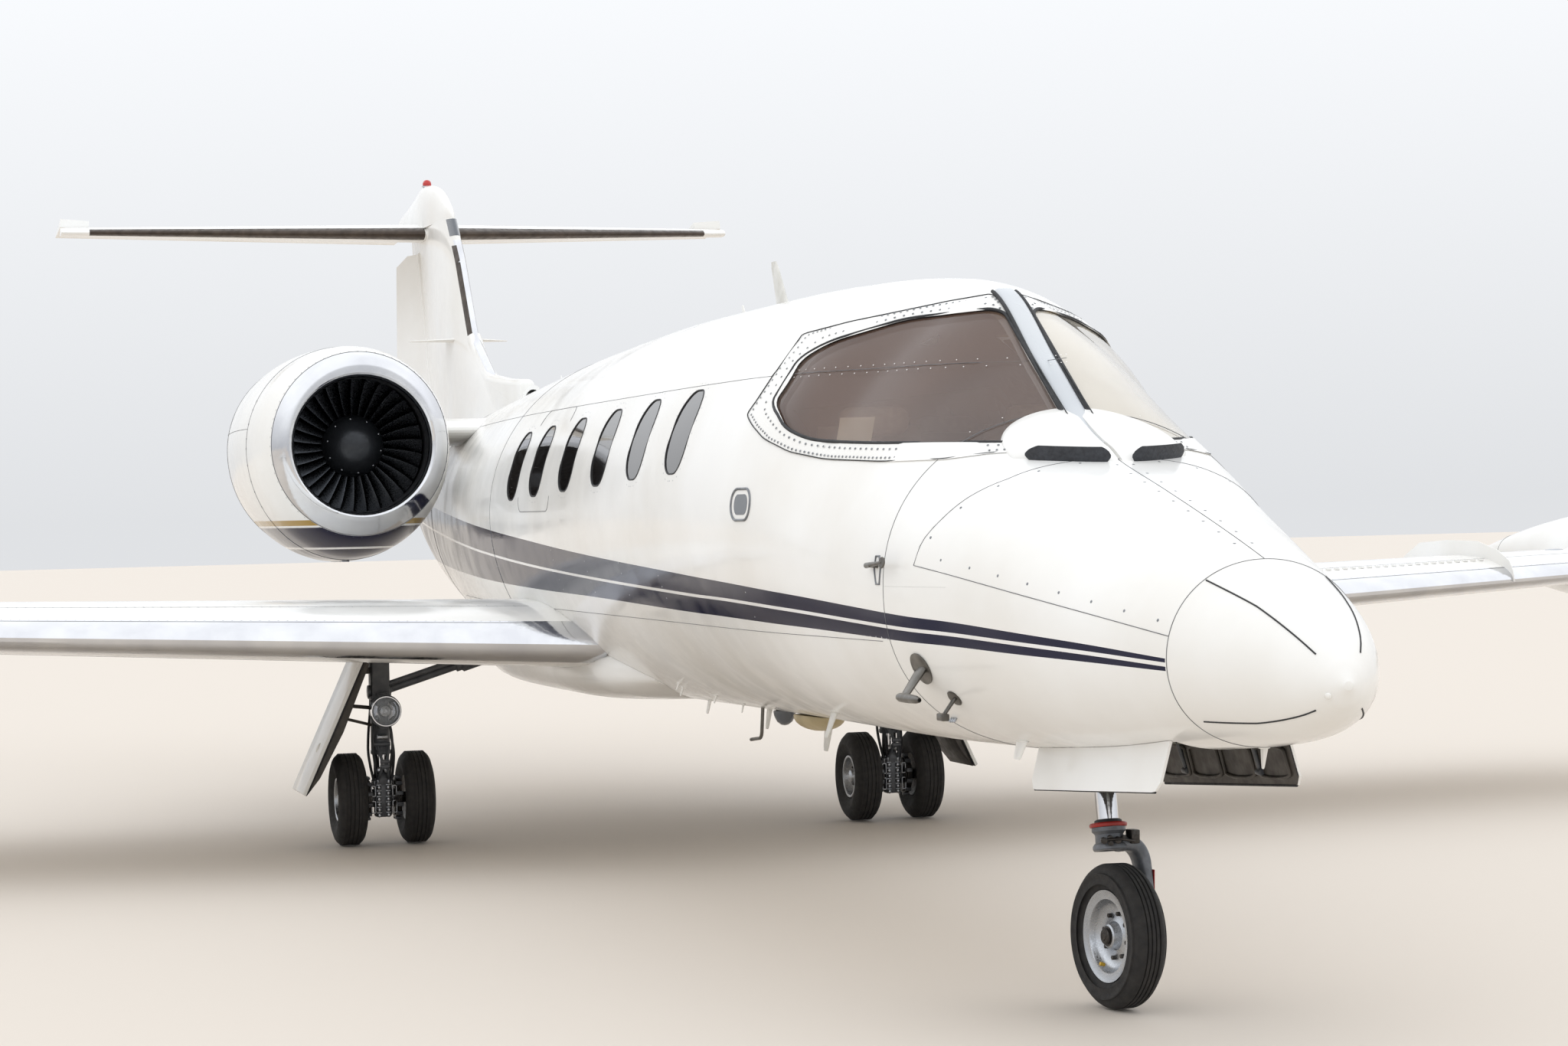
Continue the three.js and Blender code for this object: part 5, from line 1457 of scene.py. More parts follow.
def curved(points, n=6):
    """A smooth run of points through corner points, with other values carried along."""
    out = []
    for k in range(len(points) - 1):
        p0, p1, p2, p3 = (np.array(points[min(max(k + j, 0), len(points) - 1)], float) for j in (-1, 0, 1, 2))
        bend, swing = 2 * p0 - 5 * p1 + 4 * p2 - p3, 3 * p1 - p0 - 3 * p2 + p3
        out += [0.5 * (2 * p1 + (p2 - p0) * t + bend * t**2 + swing * t**3) for t in even(0, 1, n)[:-1]]
    return [*out, np.array(points[-1], float)]


def mirrored(rows):
    """A section and its mirror image."""
    return rows + [(r, -d) for r, d in rows[::-1]]


def tyre(name, centre, radius, width, bore, grooves, chine=0.0):
    """A tyre's section: bead, sidewall with an optional chine that throws water aside, shoulder and grooves."""
    h = width / 2
    half = [(bore, h * 0.62), (bore + 3, h * 0.71), (bore + 12, h * 0.76), (bore + 24, h * 0.86)]
    side = [(62, 0.965), (50, 1 - chine)]
    if chine:
        side += [(40, 0.95), (35, 1), (29, 1), (27, 0.9)]
    side += [(24, 0.885), (14, 0.79), (6, 0.66), (2, 0.55), (0, 0.46)]
    half += [(radius - in_by, h * share) for in_by, share in side]
    tread = []
    for g in sorted(grooves, reverse=True):
        tread += [(radius, g + 2.6), (radius - 4.5, g + 1.9), (radius - 4.5, g - 1.9), (radius, g - 2.6)]
    return turned(name, half + tread + [(r, -d) for r, d in half[::-1]], centre, X, 112, True)


# Nose wheel, parked turned to port.
dish = [
    (22, 36), (30, 37), (36, 33), (40, 22), (44, 10), (58, 3), (80, 2), (97, 9), (105, 20), (109, 33), (112, 37),
    (128, 38.5), (134, 41), (139.6, 42.5), (139.6, 20),
]
ties = []
for t in turns(8):
    at = NOSE_AXLE + Vector((0, cos(t + 0.2), sin(t + 0.2))) * 0.069
    ties.append(rod("tie", (-0.013, 0, 0), (0.013, 0, 0), 0.0075, 6, 0.001, at=at))
nut = [(0, -52), (11, -52), (14, -49), (22, -48), (25, -45), (25, -38), (31, -37), (31, -28), (0, -28)]
valve_at = NOSE_AXLE + Vector((-0.036, 0.018, -0.088))
for piece, finish, nodes in (
    (tyre("nose_tyre_ribbed", NOSE_AXLE, 219, 118, 140.3, (-21, -7, 7, 21), 0.06), rubber, ["nose_tyre"]),
    (turned("nose_wheel_halves", mirrored(dish), NOSE_AXLE, X, 96, True), alloy, ["nose_wheel"]),
    (join("nose_wheel_ties", ties), brake_steel, []),
    (turned("nose_hub_nut", nut, NOSE_AXLE, X, 24), brake_steel, []),
    (rod("valve_cap", (0, 0, 0), (-0.016, 0, 0.004), 0.006, 12, 0.001, at=valve_at), gold, []),
):
    piece.data.transform(STEERED)
    fit(piece, finish, nodes, "nose_wheel")

# Nose fork: a clamp round the chromed piston and one cast arm on the port side.
clamp = [
    (33.4, 258), (50, 258), (53, 262), (53, 272), (49, 278), (44, 282), (43, 306), (47, 312), (52, 316), (52, 328),
    (33.4, 328),
]
arm = [
    # x, y behind the axle, z, half thickness, half depth
    (18, 50, 492, 24, 42),
    (50, 49, 494, 25, 43),
    (78, 44, 484, 25, 42),
    (97, 36, 452, 23, 40),
    (103, 26, 400, 20, 38),
    (104, 14, 330, 19, 36),
    (102, 4, 262, 18, 37),
    (101, 0, 219, 18, 38),
    (101, -1, 188, 16, 24),
]
arm = [(spot(x, 1630 + y, z), thick, deep) for x, y, z, thick, deep in curved(arm)]
ahead_way = Vector((-0.35, -1, 0)).normalized()
lugs = []
for aside, d, r in ((-0.03, 294, 0.01), (-0.008, 302, 0.008), (-0.008, 286, 0.008), (0.018, 294, 0.011), (0.04, 300, 0.008)):
    at = on_strut(d, aside) + ahead_way * 0.044
    lugs.append(rod("lug", at, at + ahead_way * 0.018, r, 12, 0.002))
lugs.append(block("latch", on_strut(285, 0.045, -0.055, -0.004), on_strut(312, 0.075, -0.02, 0.012), 0.004))
lever = bent([on_strut(296, -0.045, -0.05), on_strut(300, 0.0, -0.07), on_strut(290, 0.05, -0.062)], 0.02)
placard_at = Vector((0.1235, NOSE_AXLE.y + 0.02, 0.38))
red_ring = [(33.6, 329), (56, 329), (58, 332), (58, 338), (55, 342), (33.6, 342)]
wiper = [(33.3, 342.5), (42, 342.5), (42, 349), (36, 353), (33.3, 353)]
for piece, finish, nodes in (
    (turned("fork_clamp", clamp, NOSE_AXLE, STRUT, 64, True), fork_grey, []),
    (limb("fork_arm", arm), fork_grey, ["nose_fork"]),
    (rod("fork_stub", (-0.047, 0, 0), (0.1, 0, 0), 0.0212, 40, 0.002, at=NOSE_AXLE), brake_steel, []),
    (turned("nose_piston", [(0, 296), (33, 296), (33, 559), (0, 559)], NOSE_AXLE, STRUT, 72), chrome, []),
    (turned("fork_red_ring", red_ring, NOSE_AXLE, STRUT, 64, True), red, []),
    (turned("piston_wiper", wiper, NOSE_AXLE, STRUT, 48, True), seal, []),
    (join("clamp_fasteners", lugs), brake_steel, []),
    (tube("clamp_lever", [lever], 0.0045), brake_steel, []),
    (block("fork_lock_plate", (-0.004, -0.03, -0.035), (-0.0005, 0.02, 0.035), 0.001, placard_at), red, []),
):
    piece.data.transform(STEERED)
    fit(smooth(piece, 40), finish, nodes, "nose_fork")
barrel = [(34, 441), (46, 441), (50, 446), (50, 470), (47, 474), (47, 610), (50, 616), (50, 739), (34, 739)]
fit(turned("nose_strut_barrel", barrel, NOSE_AXLE, STRUT, 56, True), gear_paint, ["nose_leg"])
head = Vector((0, on_strut(680).y, 0))
head = [
    rod("trunnion", (-0.1655, 0, 0.89), (0.1655, 0, 0.89), 0.034, 32, 0.003, at=head),
    block("web", (-0.1, -0.03, 0.862), (0.1, 0.03, 0.918), 0.008, head),
    rod("drag_brace", (0, -0.02, 0.85), (0, -0.40, 1.08), 0.017, 20, at=head),
]
fit(join("nose_trunnion", head), gear_paint)

# Nose doors: a white skin with a darker, ribbed inner face and rubber edges.
DOOR_ROWS = [
    # station, top, bottom
    (755, 880, 729),
    (1775, 828, 661),
]


def door_point(s, share, inside=True, off=(0, 0, 0)):
    """A point on the port door: share 0 at the top and 1 at the bottom; inner or outer face."""
    top, low = interpolated(DOOR_ROWS, s, 1, 2)
    return spot((170 if inside else 177.5) + 42 * share, s, top + (low - top) * share) + Vector(off)


rows = []
for s in even(755, 1775, 40):
    cut = max(0.0, 1 - (s - 755) / 42, 1 - (1775 - s) / 42)
    low = 1 - 0.18 * (1 - sqrt(max(0, 1 - cut * cut)))
    face = even(0, low, 8)
    rows.append([door_point(s, u, False) for u in face] + [door_point(s, u) for u in face[::-1]])
door_skin = smooth(carve(solid("nose_door_skin", rows), [solid_hull(0, 2500, -1)]), 30)
inner_brown = (door_brown, lambda c, n: n.x * c.x < -0.3 * abs(c.x))
both_sides(door_skin, white, ["nose_door_{}"], second=inner_brown)
pans = [
    [door_point(s, u / 1000, off=(-0.0035, 0, 0)) for s, u in rounded((s0, 270), (s0 + 210, 860), 90, 6)]
    for s0 in (800, 1038, 1276, 1514)
]
both_sides(tube("nose_door_pans", pans, 0.0055, closed=True), door_brown)
edges = [[door_point(s, 0.99, off=(0.002, 0, -0.0015)) for s in even(790, 1745, 39)]]
for s, aft in ((760, -0.001), (1770, 0.001)):
    edges.append([door_point(s, u, off=(0.002, aft, 0)) for u in even(0.1, 0.8, 11)])
both_sides(tube("nose_door_seals", edges, 0.004), seal)
links = []
for s in (1000, 1540):
    foot, top = door_point(s, 0.75), (0.155, y_at(s), roof(s, 155, True) * MM + 0.055)
    links.append(rod("link", foot + Vector((-0.003, 0, 0)), top, 0.007, 14))
    links.append(rod("joint", (-0.006, -0.016, 0), (-0.006, 0.016, 0), 0.010, 16, at=foot))
both_sides(join("nose_door_links", links), gear_paint)


# Main gear, modelled on the port side and mirrored.
def main_at(x=0.0, y=0.0, z=0.0):
    """A point from the port axle's place across and along, at a height above the ground."""
    return Vector((MAIN.x + x * MM, MAIN.y + y * MM, z * MM))


top_z = wing_z(1255) - 40
leg = [
    block("post", main_at(-44, -50, 690), main_at(44, 50, top_z), 0.012),
    block("shoulder", main_at(-54, -38, top_z - 40), main_at(58, 38, top_z), 0.01),
    rod("cross", main_at(-52, 0, 716), main_at(56, 0, 716), 0.030, 28),
    block("lower_lug", main_at(-50, -56, 676), main_at(50, 56, 702), 0.01),
]
leg = carve(join("main_leg_forging", leg), [wing_solid(0, 0.6, 20)], use_self=True)
both_sides(smooth(leg, 35), gear_paint, ["main_leg_{}"])
barrel = [
    (0, 420), (43, 420), (48, 425), (48, 438), (45, 442), (45, 600), (49, 606), (49, 625), (45, 630), (45, 699), (0, 699)
]
both_sides(turned("main_leg_barrel", barrel, main_at(), Z, 56), gear_paint)
both_sides(turned("main_piston", [(0, 290), (36, 290), (36, 421), (0, 421)], main_at(), Z, 56), chrome)
foot = [(0, 262), (40, 262), (47, 272), (47, 300), (40, 308), (0, 308)]
axle = mirrored([(26, -58), (40, -58), (43, -54), (43, -20), (56, -8)])
neck = [(main_at(z=z), thick, deep) for z, thick, deep in ((292, 42, 44), (268, 38, 44), (245, 36, 46), (222, 40, 46))]
knuckle = [turned("foot", foot, main_at(), Z, 48), turned("axle_tube", axle, MAIN, X, 56, True), limb("neck", neck)]
both_sides(smooth(join("main_knuckle", knuckle), 40), gear_paint)


# Torque links ahead of the leg, the side stay and its joint.
def link(a, c):
    """A flat forked link from a wide pivot at a to a narrow one at c."""
    parts, wide, narrow = [], 0.028, 0.011
    for side in (-1, 1):
        middle = (a + c) / 2 + Vector((side * (wide + narrow) / 2, -0.006, 0))
        parts.append(limb("arm", [(a + X * side * wide, 7, 9), (middle, 7, 11), (c + X * side * narrow, 7, 9)], 12))
    for p, reach in ((a, wide + 0.010), (c, narrow + 0.010)):
        parts.append(rod("pivot", (-reach, 0, 0), (reach, 0, 0), 0.0105, 20, at=p))
    return join("link", parts)


knee = main_at(0, -118, 392)
scissors = [link(main_at(0, -50, 470), knee), link(main_at(0, -50, 296), knee + Vector((0, 0, -0.022)))]
both_sides(smooth(join("torque_links", scissors), 40), gear_paint)
sleeve = [(0, 0), (26, 0), (30, 4), (30, 26), (40, 34), (40, 120), (34, 128), (34, 180), (0, 180)]
stay = [
    rod("rod", main_at(-30, 0, 720), main_at(-376, 0, 826), 0.0195, 32),
    rod("lock", main_at(-30, -24, 748), main_at(-376, -24, 854), 0.0125, 24),
    rod("eye", main_at(-30, -30, 720), main_at(-30, 30, 720), 0.026, 28, 0.003),
    turned("sleeve", sleeve, main_at(-362, 0, 823), main_at(-545, 0, 880) - main_at(-362, 0, 823), 40),
]
stay = carve(join("side_stay", stay), [wing_solid(0, 0.6, 20)], use_self=True)
both_sides(smooth(stay, 35), gear_paint)

# Taxi light: a spun bowl with a bright reflector, a lamp shield and a clear lens.
light_at = main_at(-8, -40, 628)
bowl = [
    (0, 0), (26, 0), (48, 12), (62, 34), (69, 62), (69, 96), (70, 98), (70, 100), (66, 100), (65.6, 94), (65, 62),
    (58, 36), (44, 16), (24, 4), (0, 3.6),
]
lens = [(0, 97), (40, 96), (65, 92), (65, 89.5), (40, 93), (0, 94)]
shield = [(0, 40), (14, 40), (14, 66), (24, 76), (24, 80), (12, 84), (10, 88), (0, 88)]
for name, rows, steps, finish in (("bowl", bowl, 72, chrome), ("lens", lens, 64, lens_glass), ("shield", shield, 40, alloy)):
    name = "taxi_lamp_shield" if name == "shield" else "taxi_light_" + name
    both_sides(turned(name, rows, light_at, -Y, steps), finish)
clip = [
    tube("clip", [[light_at + Vector((73 * cos(t), -70, 73 * sin(t))) * MM for t in even(0.3, 5.98, 39)]], 0.004),
    block("bracket", (-0.022, -0.03, -0.09), (0.022, 0.012, -0.03), 0.004, light_at),
    block("bracket", (-0.022, -0.02, 0.02), (0.03, 0.02, 0.085), 0.004, light_at),
]
both_sides(join("taxi_light_clamp", clip), gear_paint)

# Brakes: stacked rotors in slotted cages, with two columns of bright return springs in front.
brakes, cages, bright = [], [], []
for side in (-1, 1):
    for x, r in ((59, 84), (66, 95), (72.5, 97), (79, 97), (84.5, 95)):
        rows = [(45, 0), (r - 1.5, 0), (r, 1.2), (r, 3.4), (r - 1.5, 4.6), (45, 4.6)]
        brakes.append(turned("rotor", rows, main_at(side * (x - 2.2), 0, 215), X, 56, True))
    for t in turns(12, 0.5):
        at = main_at(side * 58, 0, 215) + Vector((0, cos(t), sin(t))) * 0.0985
        ends = sorted((0, 0.029 * side))
        cages.append(block("key", (ends[0], -0.006, -0.009), (ends[1], 0.006, 0.009)))
        cages[-1].data.transform(Matrix.Translation(at) @ Matrix.Rotation(t, 4, "X"))
    for z in (138, 163, 188, 213, 240, 268):
        at = main_at(side * 22, -60, z)
        bright.append(turned("spring_cup", [(0, 0), (9.5, 0), (10.5, 4), (8, 9), (5, 11), (0, 11.5)], at, -Y, 20))
        bright.append(block("strap", (-0.011, -0.004, 0.0105), (0.011, 0.002, 0.0135), 0.0008, at))
    for z0, z1 in ((150, 205), (228, 276)):
        ring = rounded((side * 50 - 9, z0), (side * 50 + 9, z1), 5, 4)
        bright.append(tube("cage", [[main_at(x, -73, z) for x, z in ring]], 0.003, closed=True))
housing = block("housing", main_at(-40, -58, 128), main_at(40, 0, 292), 0.012)
saddle = ((-40, 340, 12, 14), (-44, 322, 26, 20), (-44, 300, 36, 22), (-40, 280, 40, 22))
saddle = limb("saddle", [(main_at(0, y, z), thick, deep) for y, z, thick, deep in saddle])
both_sides(smooth(join("brake_rotors", brakes), 35), brake_steel)
both_sides(smooth(join("brake_housing", [housing, saddle, *cages]), 40), gear_paint)
both_sides(smooth(join("brake_springs", bright), 40), alloy)

# Hoses: from the wing down the leg to each brake, with their unions.
LONG_HOSE = [(30, 54, 880), (34, 60, 640), (52, 30, 520), (62, -10, 430), (52, -30, 350), (40, -44, 290)]
SHORT_HOSE = [(20, -52, 600), (40, -66, 545), (48, -62, 460), (36, -56, 370), (26, -58, 296)]
runs, unions = [], []
for side in (-1, 1):
    for path, radius in ((LONG_HOSE, 0.06), (SHORT_HOSE, 0.05)):
        runs.append(bent([main_at(side * x, y, z) for x, y, z in path], radius))
    for x, y, z in ((26, -58, 292), (40, -44, 286)):
        unions.append(rod("union", main_at(side * x, y, z - 8), main_at(side * x, y, z + 14), 0.0095, 6, 0.001))
    unions.append(rod("union", main_at(side * 22, -50, 606), main_at(side * 20, -54, 590), 0.0095, 6, 0.001))
unions.append(rod("valve", main_at(-22, -70, 505), main_at(26, -70, 505), 0.012, 16))
ball = [(0, -16), (10, -13), (15, -4), (15, 4), (10, 13), (0, 16)]
unions += [turned("ball", ball, main_at(x, -66, 350), X, 20) for x in (16, -16)]
both_sides(tube("brake_hoses", runs, 0.0065, sides=4), hose_black)
both_sides(smooth(join("hose_unions", unions), 40), alloy)

# Wheels and tyres.
pair, hubs = [], []
face = [
    (0, -38), (62, -38), (88, -42), (103.4, -50), (103.4, 50), (101, 52), (95, 52), (91, 49), (88, 38), (84, 16),
    (76, 8), (48, 6), (40, 12), (36, 30), (30, 44), (22, 48), (0, 49),
]
for side in (-1, 1):
    centre = MAIN + X * side * 0.158
    pair.append(turned("half", face, centre, X * side, 80))
    for t in turns(9):
        at = centre + Vector((side * 0.006, 0.062 * cos(t), 0.062 * sin(t)))
        hubs.append(rod("tie", (0, 0, 0), (side * 0.014, 0, 0), 0.007, 6, 0.001, at=at))
pair.append(rod("axle", (-0.15, 0, 0), (0.15, 0, 0), 0.025, 36, at=MAIN))
inner_steel = (brake_steel, lambda c, n: abs(abs(c.x) - MAIN.x) < 0.128)
halves = smooth(join("main_wheel_halves", pair), 35)
both_sides(halves, alloy, ["main_wheels_{}"], "main_wheels_{}", second=inner_steel)
both_sides(join("main_wheel_ties", hubs), brake_steel, body="main_wheels_{}")
for place, d in (("inner", -0.158), ("outer", 0.158)):
    tread = tyre("main_tyre_ribbed_" + place, MAIN + X * d, 215, 142, 104.3, (-39, -19.5, 0, 19.5, 39))
    both_sides(tread, rubber, ["main_tyre_{}_" + place], "main_wheels_{}")


# Leg doors: a white blade with a dark pan and edge seal, a blister and its rods.
def door_slab(name, corners, half, bevel, segments):
    outline = [((MAIN.x * 1000 + x) * MM, z * MM) for x, z in corners]
    slab = prism(name, outline, "y", MAIN.y - half, MAIN.y + half)
    return smooth(modify(slab, "BEVEL", width=bevel, segments=segments), 30)


def door_at(share, y, off=0.0):
    """A point on the port leg door's inner face; off moves it inwards."""
    a, b = main_at(98, y, 868), main_at(380, y, 252)
    return a.lerp(b, share) + Vector((-616, 0, -282)).normalized() * off * MM


blade_door = door_slab("leg_door_skin", [(98, 868), (112, 880), (395, 262), (380, 252)], 0.19, 0.004, 3)
both_sides(blade_door, white, ["main_door_{}"], second=inner_brown)
pan = [(96, 867), (70, 855), (198, 541), (311, 332), (377, 250)]
both_sides(door_slab("leg_door_pan", pan, 0.178, 0.005, 2), door_brown)
rims = [[door_at(u, y, 1.5) for u, y in ((0.03, -186), (0.97, -186), (0.97, 186), (0.03, 186))]]
both_sides(tube("leg_door_seal", rims, 0.005, closed=True), seal)
ribs = [tube("rib", [[door_at(u, -170, 4), door_at(u, 170, 4)]], 0.008) for u in (0.14, 0.32, 0.5, 0.68, 0.86)]
ribs += [tube("rib", [[door_at(0.06, y, 5), door_at(0.94, y, 5)]], 0.007) for y in (-120, 0, 120)]
ribs.append(rod("rod", door_at(0.42, -60, 4), main_at(44, -20, 560), 0.007, 14))
ribs.append(rod("rod", door_at(0.34, 20, 4), main_at(44, 10, 640), 0.009, 14))
ribs.append(block("hinge", main_at(44, -20, 800), main_at(125, 20, 830), 0.005))
both_sides(join("leg_door_frame", ribs), door_brown)
blister_at = main_at(395, -60, 262).lerp(main_at(112, -60, 880), 0.33) + Vector((-0.002, 0, 0))
rows = [(0, -12), (14, -9), (24, -3), (26, 0), (22, 5), (10, 9), (0, 10)]
both_sides(turned("leg_door_blister", rows, blister_at, (618, 0, 283), 32), white)

# Cabin and cockpit.
FLOOR = 0.9703
for node_name, finish in (
    ("cabin_floor", carpet),
    ("cabin_windows_left", lens_glass),
    ("cabin_windows_right", lens_glass),
    ("avionics_rack", panel_enamel),
):
    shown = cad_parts[node_name].data.materials
    shown.clear()
    shown.append(finish)


def pad(name, low, high, crown_by, channels=()):
    """An upholstered pad, swollen by cloth simulation inside a box, with sewn channels across x."""
    low, high = Vector(low), Vector(high)
    shrink = Vector((0.014, 0.014, 0.016))
    piece = block(name, low + shrink, high - shrink, 0.0)
    modify(piece, "BEVEL", width=min(high - low) * 0.32, segments=5)
    modify(piece, "REMESH", mode="VOXEL", voxel_size=0.006)
    start = read(piece.data.vertices, "co")
    take(piece)
    cloth = piece.modifiers.new("Cloth", "CLOTH")
    cloth.settings.use_pressure = True
    cloth.settings.uniform_pressure_force = 4
    cloth.settings.effector_weights.gravity = 0
    for step in range(1, 21):
        bpy.context.scene.frame_set(step)
    bpy.ops.object.modifier_apply(modifier=cloth.name)
    bpy.context.scene.frame_set(1)
    move = read(piece.data.vertices, "co") - start
    length = np.linalg.norm(move, axis=1, keepdims=True)
    start = start + move * np.minimum(1, 0.026 / np.maximum(length, 1e-9))
    middle, half = np.array((low + high) / 2), np.array((high - low) / 2)
    share = (start - middle) / half
    round_off = np.prod(np.clip(1 - share**2 * (1, 1, 0.2), 0, 1), axis=1)
    thin = int(np.argmin(half))
    way, reach = np.sign(share[:, thin]), np.abs(share[:, thin])
    start[:, thin] += way * crown_by * round_off * (reach > 0.3)
    for x in channels:
        start[:, thin] -= way * 0.009 * np.exp(-(((start[:, 0] - x) / 0.009) ** 2)) * (reach > 0.4)
    start = np.clip(start, np.array(low) + 0.0005, np.array(high) - 0.0005)
    piece.data.vertices.foreach_set("co", start.ravel())
    piece.data.update()
    modify(piece, "DECIMATE", ratio=0.45)
    take(piece)
    bpy.ops.object.shade_smooth()
    return piece


# One seat at the origin, facing forwards: legs, cushion, back, head rest, piping and shell.
seat_pads = [
    pad("cushion", (-0.22, -0.25, 0.22), (0.22, 0.235, 0.398), 0.004, (-0.075, 0.075)),
    pad("back", (-0.2, 0.165, 0.36), (0.2, 0.298, 0.80), 0.006, (-0.07, 0.07)),
    pad("head_rest", (-0.135, 0.172, 0.79), (0.135, 0.296, 0.919), 0.003),
]
piping = [Vector((x, y, 0.312)) for x, y in rounded((-0.2, -0.23), (0.2, 0.215), 0.06, 6)]
seat_trim = join("seat_trim", [
    tube("piping", [piping], 0.004, closed=True),
    block("shell", (-0.185, 0.283, 0.33), (0.185, 0.299, 0.84), 0.006),
])
seat_frame = [block("pan", (-0.19, -0.2, 0.185), (0.19, 0.2, 0.222), 0.01)]
seat_frame += [rod("post", (x, 0, 0.0), (x, 0, 0.19), 0.024) for x in (-0.06, 0.06)]
seat_frame += [block("rail", (x, -0.18, 0.0), (x + 0.03, 0.18, 0.028), 0.004) for x in (-0.1, 0.07)]
seat_frame = join("seat_frame", seat_frame)
SEATS = [
    # node, x, station, facing aft
    ("crew_seat_left", 300, 2780, False),
    ("crew_seat_right", -300, 2780, False),
    ("cabin_seat_left", 390, 4500, True),
    ("cabin_seat_right", -390, 4500, True),
]
for node_name, x, s, aft in SEATS:
    place = Matrix.Translation((x * MM, y_at(s), FLOOR)) @ Matrix.Rotation(pi * aft, 4, "Z")
    for piece, word in zip(seat_pads, ("cushion", "back", "head_rest")):
        here = fit(copy_of(piece, node_name + "_" + word, place), hide, [node_name])
    fit(copy_of(seat_trim, node_name + "_trim", place), hide_dark)
    fit(copy_of(seat_frame, node_name + "_frame", place), alloy)
for piece in (*seat_pads, seat_trim, seat_frame):
    bpy.data.objects.remove(piece)

# The bench across the back of the cabin.
low, high = (-0.2, y_at(6350), FLOOR + 0.24), (0.2, y_at(6755), FLOOR + 0.398)
bench = [pad("cushion", low, high, 0.004, (-0.07, 0.07))]
low, high = (-0.2, y_at(6762), FLOOR + 0.405), (0.2, y_at(6915), FLOOR + 0.86)
bench.append(pad("back", low, high, 0.006, (-0.07, 0.07)))
for k, x in enumerate((-0.402, 0, 0.402)):
    for piece, word in zip(bench, ("cushion", "back")):
        here = copy_of(piece, "aft_divan_{}_{}".format(word, k + 1), Matrix.Translation((x, 0, 0)))
        fit(here, hide, ["aft_divan"])
for piece in bench:
    bpy.data.objects.remove(piece)
base = [
    block("base", (-0.53, y_at(6380), FLOOR), (0.53, y_at(6880), FLOOR + 0.238), 0.02),
    block("toe", (-0.51, y_at(6372), FLOOR), (0.51, y_at(6383), FLOOR + 0.05), 0.003),
]
fit(smooth(join("aft_divan_base", base)), hide_dark)


# Instrument panel: wrinkle-finished board, generic instruments, hood, pedestal and yokes.
def in_cockpit(piece):
    """The part of a piece that lies inside the cockpit's lining."""
    return kept(piece, solid("room", [hull_ring(s, 58) for s in stations(1620, 2700, 45)]))


board = in_cockpit(block("board", (-0.9, y_at(2062), 1.25), (0.9, y_at(2128), 1.655), 0.004))
hood_rows = []
for x in even(-0.62, 0.62, 40):
    lift = 0.018 * exp(-(((abs(x) - 0.3) / 0.16) ** 2))
    top = [(1925, 1.650 + lift * 0.6), (1960, 1.662 + lift), (2050, 1.668 + lift * 1.1), (2150, 1.672 + lift)]
    top += [(2192, 1.668 + lift), (2199, 1.656 + lift), (2196, 1.643 + lift), (2150, 1.650 + lift)]
    top += [(2050, 1.648 + lift), (1960, 1.643), (1928, 1.642)]
    hood_rows.append([Vector((x, y_at(s), z)) for s, z in top])
fit(smooth(in_cockpit(solid("glare_shield", hood_rows)), 50), charcoal)
fit(smooth(named(board, "instrument_board")), panel_enamel, ["instrument_panel"])
face_y = y_at(2128)
bezels, faces = [], []
for x in (-0.46, -0.34, -0.22, 0.22, 0.34, 0.46):
    for z, r in ((1.56, 46), (1.45, 46), (1.36, 34)):
        rows = [(r, -1), (r + 3, 2), (r + 2, 8), (r - 3, 9), (r - 5, 4), (r - 5, -1)]
        bezels.append(turned("bezel", rows, (x, face_y, z), Y, 40, True))
        faces.append(turned("dial", [(0, 4), (r - 5, 4), (r - 5, 0.5), (0, 0.5)], (x, face_y, z), Y, 32))
for x, z, w, h in ((0.0, 1.54, 0.075, 0.06), (0.0, 1.4, 0.075, 0.05), (-0.11, 1.5, 0.03, 0.09), (0.11, 1.5, 0.03, 0.09)):
    bezels.append(block("bezel", (x - w, face_y - 0.001, z - h), (x + w, face_y + 0.008, z + h), 0.004))
    w, h = w * 0.85, h * 0.85
    faces.append(block("screen", (x - w, face_y + 0.004, z - h), (x + w, face_y + 0.0095, z + h), 0.001))
fit(in_cockpit(smooth(join("instrument_bezels", bezels))), charcoal)
fit(in_cockpit(smooth(join("instrument_faces", faces))), dial_glass)
pedestal = [
    block("pedestal", (-0.125, y_at(2129), FLOOR), (0.125, y_at(2495), 1.36), 0.015),
    block("quadrant", (-0.11, y_at(2180), 1.35), (0.11, y_at(2400), 1.40), 0.018),
]
fit(join("centre_pedestal", pedestal), panel_enamel)
levers = []
for x in (-0.04, -0.015, 0.015, 0.04):
    levers.append(rod("lever", (x, y_at(2290), 1.39), (x, y_at(2270), 1.452), 0.004))
    levers.append(block("knob", (x - 0.010, y_at(2258), 1.448), (x + 0.010, y_at(2284), 1.474), 0.006))
fit(join("throttle_levers", levers), alloy)
yokes = []
for x in (-0.3, 0.3):
    yokes.append(rod("column", (x, y_at(2126), 1.40), (x, y_at(2330), 1.43), 0.014))
    for side in (-1, 1):
        grip = ((0, 2330, 1.43), (0.11, 2330, 1.42), (0.15, 2335, 1.46), (0.14, 2335, 1.55))
        grip = bent([(x + side * a, y_at(s), z) for a, s, z in grip], 0.05)
        yokes.append(tube("grip", [grip], 0.013, sides=4))
fit(join("control_yokes", yokes), charcoal)
vent = []
for side in (-1, 1):
    for k in range(9):
        a = Vector((side * (0.13 + 0.022 * k), y_at(1950), 1.6715))
        vent.append(rod("slat", a, a + Vector((side * 0.006, 0.075, 0.004)), 0.003, 8, 0))
fit(in_cockpit(join("demister_grilles", vent)), panel_enamel)

